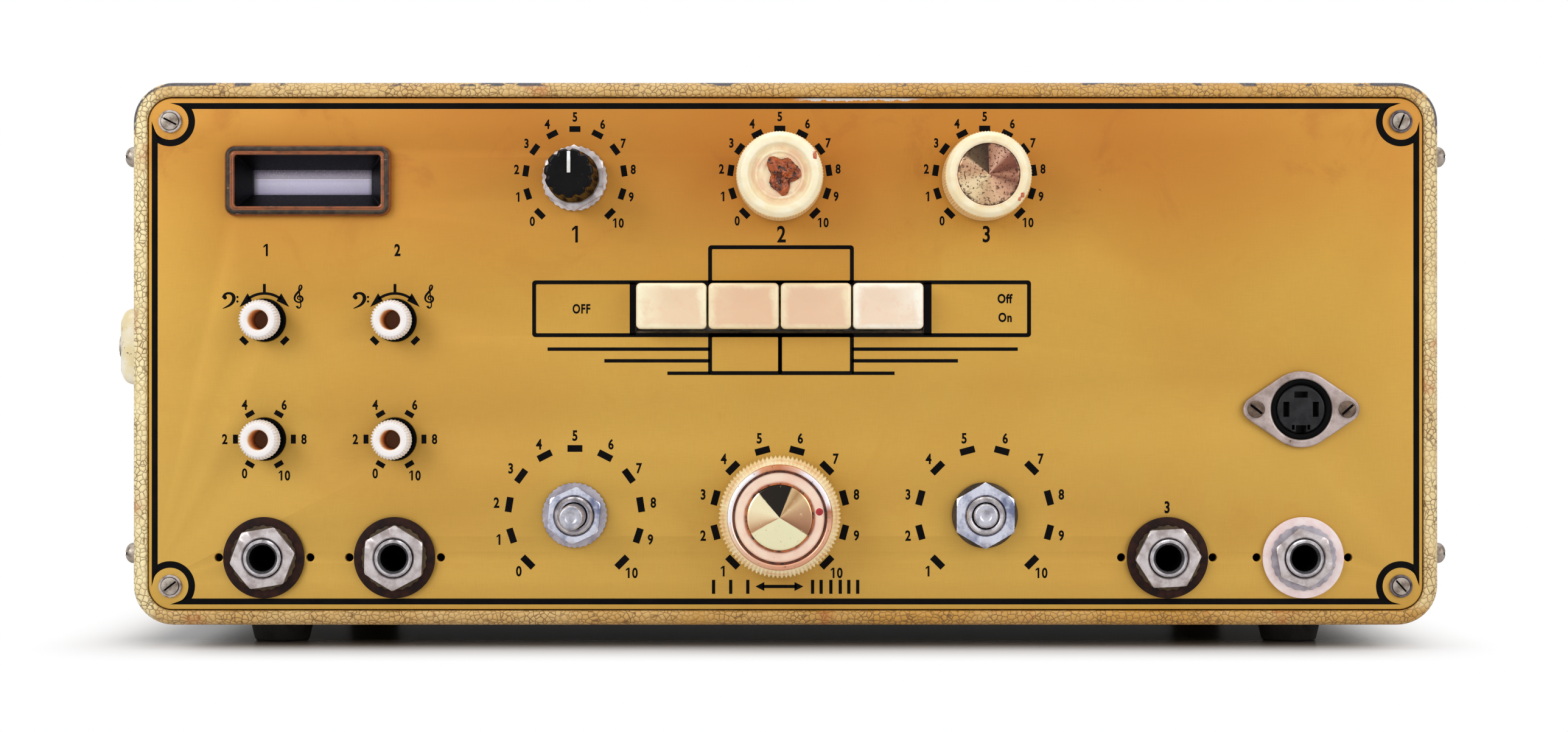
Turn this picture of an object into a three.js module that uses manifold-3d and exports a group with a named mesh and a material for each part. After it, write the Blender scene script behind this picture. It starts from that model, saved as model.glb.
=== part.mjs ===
// Tape echo unit: a steel case, a screwed-in front panel of controls, and a tape deck under a hinged lid.
// Millimetres, +Z up, the front faces -Y. Depths run back from the front edge of the case.
import * as THREE from 'three';
import { mergeVertices } from 'three/addons/utils/BufferGeometryUtils.js';
import Module from 'manifold-3d';

const wasm = await Module();
wasm.setup();

// Clearances that all pieces share
const fit = 0.3;
const overrun = 1;
const runningFit = 0.35;

// Case, its front rim and its feet
const caseWidth = 320;
const caseHeight = 133;
const caseDepth = 220;
const caseCorner = 12;
const caseWall = 1.5;
const rimWidth = 3.6;
const rimDepth = 8;
const rimRound = 2;
const lugSize = 11.5;
const footHeight = 6;
const footRadius = 8;
const footTaper = 1.2;
const footSideInset = 32;
const footEndInset = 28;

// Front panel and the places of its controls, from its edges and its centre
const panelRecess = 1;
const panelThickness = 2;
const screwInset = 5.75;
const screwHoleRadius = 1.9;
const inputEdgeInset = 28.4;
const inputPitch = 32;
const controlShift = 1.4;
const controlPitchShare = 0.1608;
const outputEdgeInset = 29.4;
const outputPitch = 33.2;
const dinEdgeInset = 29.9;
const eyeEdgeInset = 39.2;
const rowShares = {
  eye: 0.338,
  heads: 0.3435,
  keys: 0.0927,
  tone: 0.0655,
  volume: -0.167,
  din: -0.1086,
  times: -0.3155,
  jacks: -0.3986,
};

// Magic eye window
const bezelWidth = 40.7;
const bezelHeight = 17.4;
const bezelCorner = 3;
const bezelProud = 2.4;
const bezelLip = 2;
const bezelSleeveInset = 1.05;
const bezelDepth = 6;
const eyeWindowWidth = 29.4;
const eyeWindowHeight = 6;
const eyeTubeRadius = 9.5;
const eyeTubeLength = 60;
const eyeTubeTip = 2.5;

// Push keys and their bank
const keyCount = 4;
const keyPitch = 17.6;
const keyWidth = 17.1;
const keyHeight = 11.2;
const keyCorner = 1.1;
const keyProud = 6;
const keyBehind = 5;
const keyEdgeRound = 0.9;
const keyEdgeStart = 0.3;
const keyTravel = 4.5;
const keySlotMargin = 0.35;
const keyLedge = 1;
const stemWidth = 6;
const stemHeight = 4;
const bankWall = 3;
const bankGuideDepth = 6;
const stemTail = 4;

// Small input controls: volume and tone
const smallKnobRadius = 4.9;
const smallKnobProud = 9.3;
const smallKnobBehind = 5.5;
const smallKnobRound = 0.7;
const smallRecessRadius = 2.4;
const smallRecessDepth = 5;
const smallShaftRadius = 2;
const smallShaftGrip = 6;
const smallCanRadius = 8;
const smallCanDepth = 11;
const smallBracketMargin = 10;
const smallPostRadius = 3;

// Potentiometer bodies, bushings, washers and nuts
const bushingRadius = 4.65;
const spindleRadius = 3;
const spindleGrip = 9;
const potCanRadius = 12;
const potCanDepth = 15;
const potSpacer = 3;
const bigCanRadius = 14;
const washerRadius = 8.05;
const washerThickness = 1;
const potNutFlats = 14.1;
const reverbNutFlats = 12.4;
const potNutThickness = 2.5;
const bushingTip = 0.6;
const reverbNutTurn = 24.7;
const toneNutTurn = 30;
const headStrapHeight = 16;
const headStrapThickness = 1.5;
const headStrapEnd = 12;
const reverbSpindleProud = 14;
const toneSpindleProud = 5.2;
const spindleChamfer = 0.4;

// Echo head knobs
const collarKnobRadius = 5.95;
const collarKnobProud = 21;
const collarKnobFlute = 0.4;
const collarKnobFlutes = 11;
const collarFluteFacets = 4;
const headKnobRadius = 10.6;
const headKnobProud = 15;
const headKnobRim = 9.3;
const headKnobDish = 7.5;
const headKnobDishDepth = 1.6;
const headKnobCapDome = 0.5;
const headKnobLift = 0.5;
const knobHollowRadius = 9;

// Duration knob, its spindle and the pinion that drives the head carriage
const durationKnobRadius = 14.8;
const durationKnobProud = 13;
const durationRingRadius = 12.7;
const durationFaceRadius = 11.4;
const durationCapRadius = 8;
const durationFaceDrop = 1.1;
const durationHollowRadius = 11;
const durationHollowDepth = 4.5;
const gearModule = 1;
const pinionTeeth = 12;
const pressureAngle = 20;
const gearAddendumShare = 0.7;
const gearDedendumShare = 0.95;
const gearBacklash = 0.25;
const pinionWidth = 4;
const rackTeethMargin = 2;
const carriageTravelLeft = 22.62;
const carriageTravelRight = 5.66;

// Sockets on the panel
const jackBushingRadius = 4.6;
const jackBoreRadius = 3.25;
const jackBodyWidth = 18;
const jackBodyHeight = 21;
const jackBodyDepth = 26;
const jackBackWall = 2;
const jackFibreRadius = 9.95;
const jackFibreThickness = 0.9;
const jackWasherThickness = 0.6;
const jackNutFlats = 14;
const outputNutFlats = 12.9;
const jackNutThickness = 1.6;
const jackBushingTip = 0.4;
const jackPinHoleRadius = 1;
const jackPinHoleReach = 11.2;
const jackNutTurns = { input_1: 9, input_2: 28, input_3: 3, output: 40 };
const dinFlangeRadius = 9.35;
const dinEarRadius = 3.1;
const dinEarReach = 11.15;
const dinScrewRadius = 1.3;
const dinFlangeThickness = 1.2;
const dinShellRadius = 8.3;
const dinBoreRadius = 7.4;
const dinInsertRadius = 5.95;
const dinDepth = 12;
const dinBaseDepth = 3;
const dinInsertFront = 0.8;
const dinSlotWidth = 1.6;
const dinSlotLength = 3.8;
const dinSlotReach = 3.6;
const dinSlotDepth = 6;
const dinKeyWidth = 3;
const dinKeyDepth = 1.6;

// Chassis and deck
const sheet = 1.2;
const chassisSideInset = 12;
const chassisFrontInset = 48;
const chassisEndInset = 6;
const chassisLip = 12;
const deckDrop = 47;
const deckThickness = 2;
const deckFront = 44;
const deckRearInset = 50;
const deckSideInset = 34;
const deckPostRadius = 4;
const deckPostInset = 8;
const bearingTabWidth = 20;
const bearingTabRise = 9;
const bearingTabThickness = 1.5;
const bearingTabGap = 1;

// Tape, its guides, capstan, flywheel, motor and pinch roller
const tapeWidth = 6.3;
const tapeThickness = 0.4;
const tapeRise = 7;
const tapeSetback = 24;
const guideRearInset = 20;
const guideRadius = 4;
const guideStemRadius = 3;
const guideFlangeRadius = 6;
const guideFlangeThickness = 1;
const guideSideInset = 14;
const capstanRadius = 4;
const capstanInset = 46;
const capstanRise = 18;
const flywheelRadius = 31;
const flywheelThickness = 8;
const flywheelDrop = 6;
const flywheelDish = 3;
const flywheelRim = 5;
const motorRadius = 24;
const motorGap = 8;
const motorShaftRadius = 3;
const motorShaftGrip = 8;
const motorShoulder = 3;
const pinchRadius = 11;
const pinchHeight = 13;
const pinchPinRadius = 2;
const pinchArmReach = 25;
const pinchArmWidth = 10;
const pinchArmThickness = 3;
const pinchPivotRadius = 2.5;
const pinchPinOvershoot = 2;

// Heads and the sliding head carriage
const headWidth = 13;
const headDepth = 13.5;
const headHeight = 15;
const headNoseRise = 1.6;
const headBaseWidth = 17;
const headBaseThickness = 2;
const headPlaceShares = {
  erase_head: -0.667,
  record_head: -0.492,
  playback_head_1: -0.286,
  playback_head_2: -0.095,
};
const slidingHeadShare = 0.238;
const carriageWidth = 20;
const carriagePlate = 2;
const carriageGap = 3;
const carriageJaw = 3;
const carriageLowerReach = 10;
const rackBarHeight = 6;

// Mains transformer, valves and inlet
const transformerWidth = 54;
const transformerDepth = 46;
const transformerHeight = 46;
const transformerCoreDepth = 22;
const transformerCoilInset = 7;
const transformerSideInset = 39;
const transformerRearInset = 55;
const valveCount = 3;
const valvePitch = 34;
const valveRadius = 10;
const valveHeight = 46;
const valveTip = 4;
const valveSocketRadius = 9;
const valveSocketHeight = 6;
const valveShelfHeight = 20;
const valveShelfDepth = 26;
const valveSideInset = 37;
const valveRearGap = 6;
const inletSideInset = 48;
const inletRise = 32;
const inletWidth = 28;
const inletHeight = 20;
const inletDepth = 14;
const inletFlange = 3;
const inletFlangeThickness = 1.4;
const inletWall = 2.5;
const inletPinRadius = 2;
const inletPinReach = 7.5;
const inletPinBack = 2;
const rearInset = 2;
const ventWidth = 3;
const ventLength = 30;
const ventPitch = 9;
const rearVents = 14;
const lidVents = 16;

// Lid, its hinge and its lift tab
const lidOpeningFront = 44;
const lidOpeningRearInset = 48;
const lidSideInset = 30;
const lidOverlap = 4;
const lidThickness = 1.5;
const lidSkirtGap = 1;
const lidSkirtDepth = 4;
const lidSkirtThickness = 1.2;
const lidCorner = 4;
const hingeSetback = 6;
const hingePinRadius = 1.2;
const knuckleRadius = 2.4;
const knuckleLength = 18;
const knuckleInset = 50;
const lidTabWidth = 40;
const lidTabReach = 5;
const lidTabRise = 1.2;

// Carrying handle on the left side
const handleSpan = 160;
const handleFront = 30;
const handleRise = 68.5;
const capLength = 26;
const capWidth = 20;
const capProud = 10;
const capWall = 1.2;
const capRound = 2;
const capMouthDepth = 16;
const strapWidth = 17;
const strapThickness = 2.6;
const strapStandoff = 4.7;
const strapTuck = 7;

// Facets of round and rounded shapes
const cornerSteps = 5;
const rimSteps = 3;
const fineSteps = 2;
const holeFacets = 16;
const smallFacets = 12;
const knobFacets = 24;
const wheelFacets = 32;
const fullTurn = 2 * Math.PI;

// Levels and places that follow from the sizes above
const caseTop = footHeight + caseHeight;
const caseCentreZ = footHeight + caseHeight / 2;
const panelWidth = caseWidth - 2 * rimWidth - 2 * fit;
const panelHeight = caseHeight - 2 * rimWidth - 2 * fit;
const panelBack = panelThickness;
const behindPanel = panelBack + fit;
const onPanel = -fit;
const panelLeft = -panelWidth / 2;
const panelRight = panelWidth / 2;
const panelTop = panelHeight / 2;
const jackRow = rowShares.jacks * panelHeight;
const volumeRow = rowShares.volume * panelHeight;
const toneRow = rowShares.tone * panelHeight;
const toneAboveVolume = toneRow - volumeRow;
const headRow = rowShares.heads * panelHeight;
const timeRow = rowShares.times * panelHeight;
const keyRow = rowShares.keys * panelHeight;
const controlPitch = controlPitchShare * panelWidth;
const inputXs = [panelLeft + inputEdgeInset, panelLeft + inputEdgeInset + inputPitch];
const controlXs = [-1, 0, 1].map((side) => side * controlPitch - controlShift);
const outputX = panelRight - outputEdgeInset;
const jackXs = {
  input_1: inputXs[0],
  input_2: inputXs[1],
  input_3: outputX - outputPitch,
  output: outputX,
};
const dinX = panelRight - dinEdgeInset;
const dinRow = rowShares.din * panelHeight;
const eyeX = panelLeft + eyeEdgeInset;
const eyeRow = rowShares.eye * panelHeight;
const keyXs = Array.from({ length: keyCount }, (unused, index) => (
  (index - (keyCount - 1) / 2) * keyPitch - controlShift
));
const keySlotWidth = (keyCount - 1) * keyPitch + keyWidth + 2 * keySlotMargin;
const keySlotHeight = keyHeight + 2 * keySlotMargin;
const chassisFloor = footHeight + caseWall + fit;
const chassisTop = chassisFloor + sheet;
const deckTop = caseTop - deckDrop;
const deckUnderside = deckTop - deckThickness;
const deckRear = caseDepth - deckRearInset;
const deckHalfWidth = caseWidth / 2 - deckSideInset;
const tapeFront = deckFront + tapeSetback;
const guideX = deckHalfWidth - guideSideInset;
const guideFrontY = tapeFront + tapeThickness + fit + guideRadius;
const guideRearY = deckRear - guideRearInset;
const capstanX = deckHalfWidth - capstanInset;
const slidingHeadX = slidingHeadShare * deckHalfWidth;
const chassisHalfWidth = caseWidth / 2 - chassisSideInset;
const lidOpeningHalf = caseWidth / 2 - lidSideInset;
const knuckleReach = lidOpeningHalf + lidOverlap - knuckleInset;
const capstanY = tapeFront + tapeThickness + fit + capstanRadius;
const pinchY = tapeFront - fit - pinchRadius;
const hingeY = caseDepth - lidOpeningRearInset + hingeSetback;
const hingeZ = caseTop + knuckleRadius + fit;
const pinionRadius = (gearModule * pinionTeeth) / 2;

// Points along an arc, counter-clockwise.
function arc(radius, from, to, steps, x = 0, y = 0) {
  return Array.from({ length: steps + 1 }, (unused, step) => {
    const angle = from + ((to - from) * step) / steps;
    return new THREE.Vector2(x + radius * Math.cos(angle), y + radius * Math.sin(angle));
  });
}

function circle(radius, facets, x = 0, y = 0, startAngle = 0) {
  return arc(radius, startAngle, startAngle + fullTurn, facets, x, y).slice(0, facets);
}

function rectangle(width, height, x = 0, y = 0) {
  const halves = [[1, 1], [-1, 1], [-1, -1], [1, -1]];
  return halves.map(([sideX, sideY]) => (
    new THREE.Vector2(x + (sideX * width) / 2, y + (sideY * height) / 2)
  ));
}

function roundedRectangle(width, height, radius, steps = cornerSteps, x = 0, y = 0) {
  const quarter = Math.PI / 2;
  return rectangle(width - 2 * radius, height - 2 * radius, x, y).flatMap((corner, turn) => (
    arc(radius, turn * quarter, (turn + 1) * quarter, steps, corner.x, corner.y)
  ));
}

function hexagon(acrossFlats, turnDegrees) {
  return circle(acrossFlats / Math.sqrt(3), 6, 0, 0, THREE.MathUtils.degToRad(turnDegrees));
}

// A flat piece lying in XY between two heights.
function layer(outline, bottom, top, holes = []) {
  const shape = new THREE.Shape(outline);
  holes.forEach((hole) => shape.holes.push(new THREE.Path(hole)));
  const geometry = new THREE.ExtrudeGeometry(shape, { depth: top - bottom, bevelEnabled: false });
  return geometry.translate(0, 0, bottom);
}

// A piece drawn in XZ between two depths.
function upright(outline, front, back, holes = []) {
  return layer(outline, -back, -front, holes).rotateX(Math.PI / 2);
}

// A piece drawn in YZ between two places along X.
function crosswise(outline, left, right) {
  return layer(outline, left, right).rotateX(Math.PI / 2).rotateZ(Math.PI / 2);
}

function block(left, right, front, back, bottom, top) {
  const geometry = new THREE.BoxGeometry(right - left, back - front, top - bottom);
  return geometry.translate((left + right) / 2, (front + back) / 2, (bottom + top) / 2);
}

// A turned piece about the Y axis, from pairs of radius and depth.
function turned(profile, facets) {
  const points = profile.map(([radius, depth]) => new THREE.Vector2(radius, depth));
  return new THREE.LatheGeometry(points, facets);
}

// A turned piece about the Z axis, from pairs of radius and height.
function turnedUp(profile, facets) {
  return turned(profile, facets).rotateX(Math.PI / 2);
}

function rod(radius, from, to, facets) {
  return turned([[0, from], [radius, from], [radius, to], [0, to]], facets);
}

function post(radius, from, to, facets) {
  return rod(radius, from, to, facets).rotateX(Math.PI / 2);
}

// A skin over outlines that stand in XZ at growing depths, closed at both ends.
function loft(sections) {
  const count = sections[0].outline.length;
  const last = (sections.length - 1) * count;
  const points = sections.flatMap(({ depth, outline }) => (
    outline.flatMap((point) => [point.x, depth, point.y])
  ));
  const centres = [sections[0], sections[sections.length - 1]].map(({ depth, outline }) => {
    const middle = outline.reduce((sum, point) => sum.add(point), new THREE.Vector2());
    return [middle.x / count, depth, middle.y / count];
  });
  const faces = [];
  for (let corner = 0; corner < count; corner += 1) {
    const next = (corner + 1) % count;
    for (let ring = 0; ring < last; ring += count) {
      faces.push(ring + corner, ring + next, ring + count + next);
      faces.push(ring + corner, ring + count + next, ring + count + corner);
    }
    faces.push(next, corner, last + count);
    faces.push(last + corner, last + next, last + count + 1);
  }
  const geometry = new THREE.BufferGeometry();
  geometry.setAttribute('position', new THREE.Float32BufferAttribute([...points, ...centres.flat()], 3));
  geometry.setIndex(faces);
  return geometry;
}

// Welds a geometry to bare points and faces that point out.
function welded(geometry) {
  const bare = geometry.clone();
  ['normal', 'uv'].filter((name) => bare.hasAttribute(name)).forEach((name) => bare.deleteAttribute(name));
  const merged = mergeVertices(bare);
  const corners = merged.index.array;
  const place = (corner) => new THREE.Vector3().fromBufferAttribute(merged.attributes.position, corner);
  const faces = [];
  let volume = 0;
  for (let start = 0; start < corners.length; start += 3) {
    const [first, second, third] = corners.slice(start, start + 3);
    if (first !== second && second !== third && third !== first) {
      faces.push([first, second, third]);
      volume += place(first).dot(place(second).cross(place(third)));
    }
  }
  merged.setIndex(faces.flatMap(([first, second, third]) => (
    volume > 0 ? [first, second, third] : [first, third, second]
  )));
  return merged;
}

function solidOf(geometry) {
  const bare = welded(geometry);
  return new wasm.Manifold(new wasm.Mesh({
    numProp: 3,
    vertProperties: Float32Array.from(bare.attributes.position.array),
    triVerts: Uint32Array.from(bare.index.array),
  }));
}

function geometryOf(solid) {
  const mesh = solid.getMesh();
  const geometry = new THREE.BufferGeometry();
  geometry.setAttribute('position', new THREE.BufferAttribute(Float32Array.from(mesh.vertProperties), 3));
  geometry.setIndex(Array.from(mesh.triVerts));
  return geometry;
}

function joined(...geometries) {
  return geometryOf(geometries.map(solidOf).reduce((whole, solid) => whole.add(solid)));
}

function shared(geometry, other) {
  return geometryOf(solidOf(geometry).intersect(solidOf(other)));
}

function cutFrom(geometry, ...tools) {
  return geometryOf(tools.map(solidOf).reduce((rest, tool) => rest.subtract(tool), solidOf(geometry)));
}

// Finishes
const cream = { color: 0xe9dcc0, roughness: 0.5, metalness: 0 };
const enamel = { color: 0xd9c48c, roughness: 0.45, metalness: 0.1 };
const gold = { color: 0xd0a24a, roughness: 0.45, metalness: 0.4 };
const steel = { color: 0xb9b3b2, roughness: 0.35, metalness: 1 };
const zinc = { color: 0x9b9c9c, roughness: 0.5, metalness: 1 };
const bronze = { color: 0x4a3722, roughness: 0.5, metalness: 0.7 };
const blackPlastic = { color: 0x151517, roughness: 0.35, metalness: 0 };
const brownPlastic = { color: 0x3a2219, roughness: 0.5, metalness: 0 };
const whitePlastic = { color: 0xf1eff0, roughness: 0.4, metalness: 0 };
const rubber = { color: 0x1d1c1b, roughness: 0.8, metalness: 0 };
const glassLike = { color: 0xb9b4cc, roughness: 0.1, metalness: 0 };
const tapeBrown = { color: 0x3b2a22, roughness: 0.4, metalness: 0 };

function place(parent, name, geometry, finish, x = 0, y = 0, z = 0) {
  const mesh = new THREE.Mesh(welded(geometry), new THREE.MeshStandardMaterial(finish));
  mesh.name = name;
  mesh.position.set(x, y, z);
  parent.add(mesh);
}

const unit = new THREE.Group();
const panel = new THREE.Group();
panel.position.set(0, panelRecess, caseCentreZ);
const deck = new THREE.Group();
deck.position.set(0, 0, deckTop);
const handle = new THREE.Group();
handle.position.set(-caseWidth / 2, handleFront + handleSpan / 2, footHeight + handleRise);
unit.add(panel, deck, handle);

// Case: a rolled rim in front, a thin sleeve behind it, lugs for the panel and knuckles for the lid
function caseOutline(inset) {
  return roundedRectangle(caseWidth - 2 * inset, caseHeight - 2 * inset, caseCorner - inset);
}

function caseSkin() {
  const sections = Array.from({ length: rimSteps + 1 }, (unused, step) => {
    const angle = (step / rimSteps) * (Math.PI / 2);
    return {
      depth: rimRound * (1 - Math.cos(angle)),
      outline: caseOutline(rimRound * (1 - Math.sin(angle))),
    };
  });
  sections.push({ depth: caseDepth, outline: caseOutline(0) });
  return loft(sections).translate(0, 0, caseCentreZ);
}

function caseHollow() {
  const mouth = upright(caseOutline(rimWidth), -overrun, rimDepth + overrun);
  const sleeve = upright(caseOutline(caseWall), rimDepth, caseDepth + overrun);
  return joined(mouth, sleeve).translate(0, 0, caseCentreZ);
}

function cornerLugs() {
  const front = panelRecess + behindPanel;
  const disc = upright(caseOutline(rimWidth / 2), front, rimDepth);
  return [[1, 1], [-1, 1], [-1, -1], [1, -1]].map(([sideX, sideZ]) => {
    const centreX = sideX * (panelRight - screwInset);
    const centreZ = sideZ * (panelTop - screwInset);
    const hole = circle(screwHoleRadius, smallFacets, centreX, centreZ);
    const outline = rectangle(2 * lugSize, 2 * lugSize, sideX * panelRight, sideZ * panelTop);
    const lug = upright(outline, front, rimDepth, [hole]);
    return shared(lug, disc).translate(0, 0, caseCentreZ);
  });
}

function knuckle(centreX, footSide) {
  const barrel = rod(knuckleRadius, -knuckleLength / 2, knuckleLength / 2, holeFacets).rotateZ(Math.PI / 2);
  const front = footSide < 0 ? -knuckleRadius - fit - overrun : -hingePinRadius;
  const back = footSide < 0 ? -hingePinRadius : knuckleRadius;
  const bottom = footSide < 0 ? -knuckleRadius : -knuckleRadius - fit - caseWall / 2;
  const top = footSide < 0 ? -knuckleRadius + lidThickness : -hingePinRadius;
  const foot = block(-knuckleLength / 2, knuckleLength / 2, front, back, bottom, top);
  return joined(barrel, foot).translate(centreX, 0, 0);
}

function hingeBore() {
  const reach = knuckleReach + 2 * knuckleLength;
  return rod(hingePinRadius + fit, -reach, reach, smallFacets).rotateZ(Math.PI / 2);
}

const lidKnuckleXs = [-knuckleReach, knuckleReach];
const caseKnuckleXs = lidKnuckleXs.flatMap((x) => [-1, 1].map((side) => x + side * (knuckleLength + fit)));

function caseShell() {
  const openingRear = caseDepth - lidOpeningRearInset;
  const opening = block(
    -lidOpeningHalf,
    lidOpeningHalf,
    lidOpeningFront,
    openingRear,
    caseTop - caseWall - overrun,
    caseTop + overrun,
  );
  const hollow = cutFrom(caseSkin(), caseHollow(), opening);
  const knuckles = caseKnuckleXs.map((x) => knuckle(x, 1).translate(0, hingeY, hingeZ));
  return cutFrom(joined(hollow, ...cornerLugs(), ...knuckles), hingeBore().translate(0, hingeY, hingeZ));
}

place(unit, 'case_shell', caseShell(), enamel);

// Feet: tapered rubber, flat underneath
const footCorners = { front_left: [-1, 0], front_right: [1, 0], rear_left: [-1, 1], rear_right: [1, 1] };
Object.entries(footCorners).forEach(([name, [side, end]]) => {
  const profile = [
    [0, 0],
    [footRadius - footTaper, 0],
    [footRadius, footHeight - fit],
    [0, footHeight - fit],
  ];
  const x = side * (caseWidth / 2 - footSideInset);
  const y = end === 0 ? footEndInset : caseDepth - footEndInset;
  place(unit, `foot_${name}`, turnedUp(profile, holeFacets), rubber, x, y, 0);
});

// Front panel with its cut-outs
function panelHoles() {
  const corners = rectangle(panelWidth - 2 * screwInset, panelHeight - 2 * screwInset);
  const screws = corners.map((corner) => circle(screwHoleRadius, smallFacets, corner.x, corner.y));
  const knobs = inputXs.flatMap((x) => [toneRow, volumeRow].map((row) => (
    circle(smallKnobRadius + runningFit, holeFacets, x, row)
  )));
  const heads = controlXs.map((x) => circle(bushingRadius + fit, holeFacets, x, headRow));
  const timeRadii = [bushingRadius, spindleRadius, bushingRadius];
  const times = controlXs.map((x, index) => circle(timeRadii[index] + fit, holeFacets, x, timeRow));
  const jacks = Object.values(jackXs).map((x) => (
    circle(jackBushingRadius + fit, holeFacets, x, jackRow)
  ));
  const pinHoles = Object.values(jackXs).flatMap((x) => [-1, 1].map((side) => (
    circle(jackPinHoleRadius, smallFacets / 2, x + side * jackPinHoleReach, jackRow)
  )));
  const ears = [-1, 1].map((side) => (
    circle(dinScrewRadius, smallFacets, dinX + side * dinEarReach, dinRow)
  ));
  const din = circle(dinShellRadius + fit, holeFacets, dinX, dinRow);
  const eye = roundedRectangle(
    bezelWidth - 2 * bezelSleeveInset + 2 * fit,
    bezelHeight - 2 * bezelSleeveInset + 2 * fit,
    bezelCorner - bezelSleeveInset + fit,
    fineSteps,
    eyeX,
    eyeRow,
  );
  const keys = rectangle(keySlotWidth, keySlotHeight + keyLedge, -controlShift, keyRow - keyLedge / 2);
  return [...screws, ...knobs, ...heads, ...times, ...jacks, ...pinHoles, ...ears, din, eye, keys];
}

const panelOutline = roundedRectangle(panelWidth, panelHeight, caseCorner - rimWidth - fit);
place(panel, 'front_panel', upright(panelOutline, 0, panelBack, panelHoles()), gold);

// Magic eye: a bezel that funnels down to the strip, and the glass tube lying behind it
function eyeBezel() {
  const sleeveWidth = bezelWidth - 2 * bezelSleeveInset;
  const sleeveHeight = bezelHeight - 2 * bezelSleeveInset;
  const outline = (inset) => (
    roundedRectangle(bezelWidth - 2 * inset, bezelHeight - 2 * inset, bezelCorner, fineSteps)
  );
  const lip = loft([
    { depth: -bezelProud, outline: outline(bezelLip / 2) },
    { depth: -bezelProud + bezelLip / 2, outline: outline(0) },
    { depth: onPanel, outline: outline(0) },
  ]);
  const sleeve = upright(
    roundedRectangle(sleeveWidth, sleeveHeight, bezelCorner - bezelSleeveInset, fineSteps),
    onPanel - bezelProud / 2,
    bezelDepth,
  );
  const mouth = { width: bezelWidth - 2 * bezelLip, height: bezelHeight - 2 * bezelLip };
  const funnel = loft([
    { depth: -bezelProud - overrun, outline: rectangle(mouth.width, mouth.height) },
    { depth: onPanel, outline: rectangle(mouth.width, mouth.height) },
    { depth: bezelDepth - bezelLip / 2, outline: rectangle(eyeWindowWidth, eyeWindowHeight) },
    { depth: bezelDepth + overrun, outline: rectangle(eyeWindowWidth, eyeWindowHeight) },
  ]);
  return cutFrom(joined(lip, sleeve), funnel);
}

function eyeTube() {
  const half = eyeTubeLength / 2;
  const profile = [
    [0, -half],
    [eyeTubeRadius, -half],
    [eyeTubeRadius, half - eyeTubeRadius / 2],
    [eyeTubeRadius * Math.cos(Math.PI / 4), half - eyeTubeRadius / 4],
    [eyeTubeTip, half - eyeTubeTip],
    [0, half],
  ];
  return turned(profile, holeFacets).rotateZ(Math.PI / 2);
}

place(panel, 'eye_bezel', eyeBezel(), bronze, eyeX, 0, eyeRow);
place(panel, 'eye_tube', eyeTube(), glassLike, eyeX, bezelDepth + fit + eyeTubeRadius, eyeRow);

// Push keys in their guided bank
function pushKey() {
  const outline = (inset) => (
    roundedRectangle(keyWidth - 2 * inset, keyHeight - 2 * inset, keyCorner, fineSteps)
  );
  const cap = loft([
    { depth: -keyProud, outline: outline(keyEdgeRound) },
    { depth: -keyProud + keyEdgeStart, outline: outline(keyEdgeStart) },
    { depth: -keyProud + keyEdgeRound, outline: outline(0) },
    { depth: keyBehind, outline: outline(0) },
  ]);
  const tail = bankBack + stemTail;
  const stem = block(
    -stemWidth / 2, stemWidth / 2, keyBehind - overrun, tail, -stemHeight / 2, stemHeight / 2,
  );
  return joined(cap, stem);
}

const bankCavityBack = keyBehind + keyTravel + fit;
const bankBack = bankCavityBack + bankGuideDepth;

function keyBank() {
  const width = keySlotWidth + 2 * bankWall;
  const height = keySlotHeight + 2 * bankWall;
  const housing = block(-width / 2, width / 2, behindPanel, bankBack, -height / 2, height / 2);
  const cavity = block(
    -keySlotWidth / 2, keySlotWidth / 2, -overrun, bankCavityBack, -keySlotHeight / 2, keySlotHeight / 2,
  );
  const guides = keyXs.map((x) => block(
    x + controlShift - stemWidth / 2 - fit,
    x + controlShift + stemWidth / 2 + fit,
    bankCavityBack - overrun,
    bankBack + overrun,
    -stemHeight / 2 - fit,
    stemHeight / 2 + fit,
  ));
  return cutFrom(housing, cavity, ...guides);
}

place(panel, 'key_bank', keyBank(), zinc, -controlShift, 0, keyRow);
keyXs.forEach((x, index) => place(panel, `key_${index + 1}`, pushKey(), cream, x, 0, keyRow));

// Tone and volume: small hollow knobs that pass through the panel onto pots on one bracket
function smallKnob() {
  const profile = [
    [0, -smallKnobProud + smallRecessDepth],
    [smallRecessRadius, -smallKnobProud + smallRecessDepth],
    [smallRecessRadius, -smallKnobProud],
    [smallKnobRadius - smallKnobRound, -smallKnobProud],
    [smallKnobRadius, -smallKnobProud + smallKnobRound],
    [smallKnobRadius, smallKnobBehind],
    [smallShaftRadius, smallKnobBehind],
    [smallShaftRadius, smallBracketFront + smallShaftGrip],
    [0, smallBracketFront + smallShaftGrip],
  ];
  return turned(profile, holeFacets);
}

const smallBracketFront = smallKnobBehind + 2 * fit;
const smallCanFront = smallBracketFront + sheet;

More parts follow.
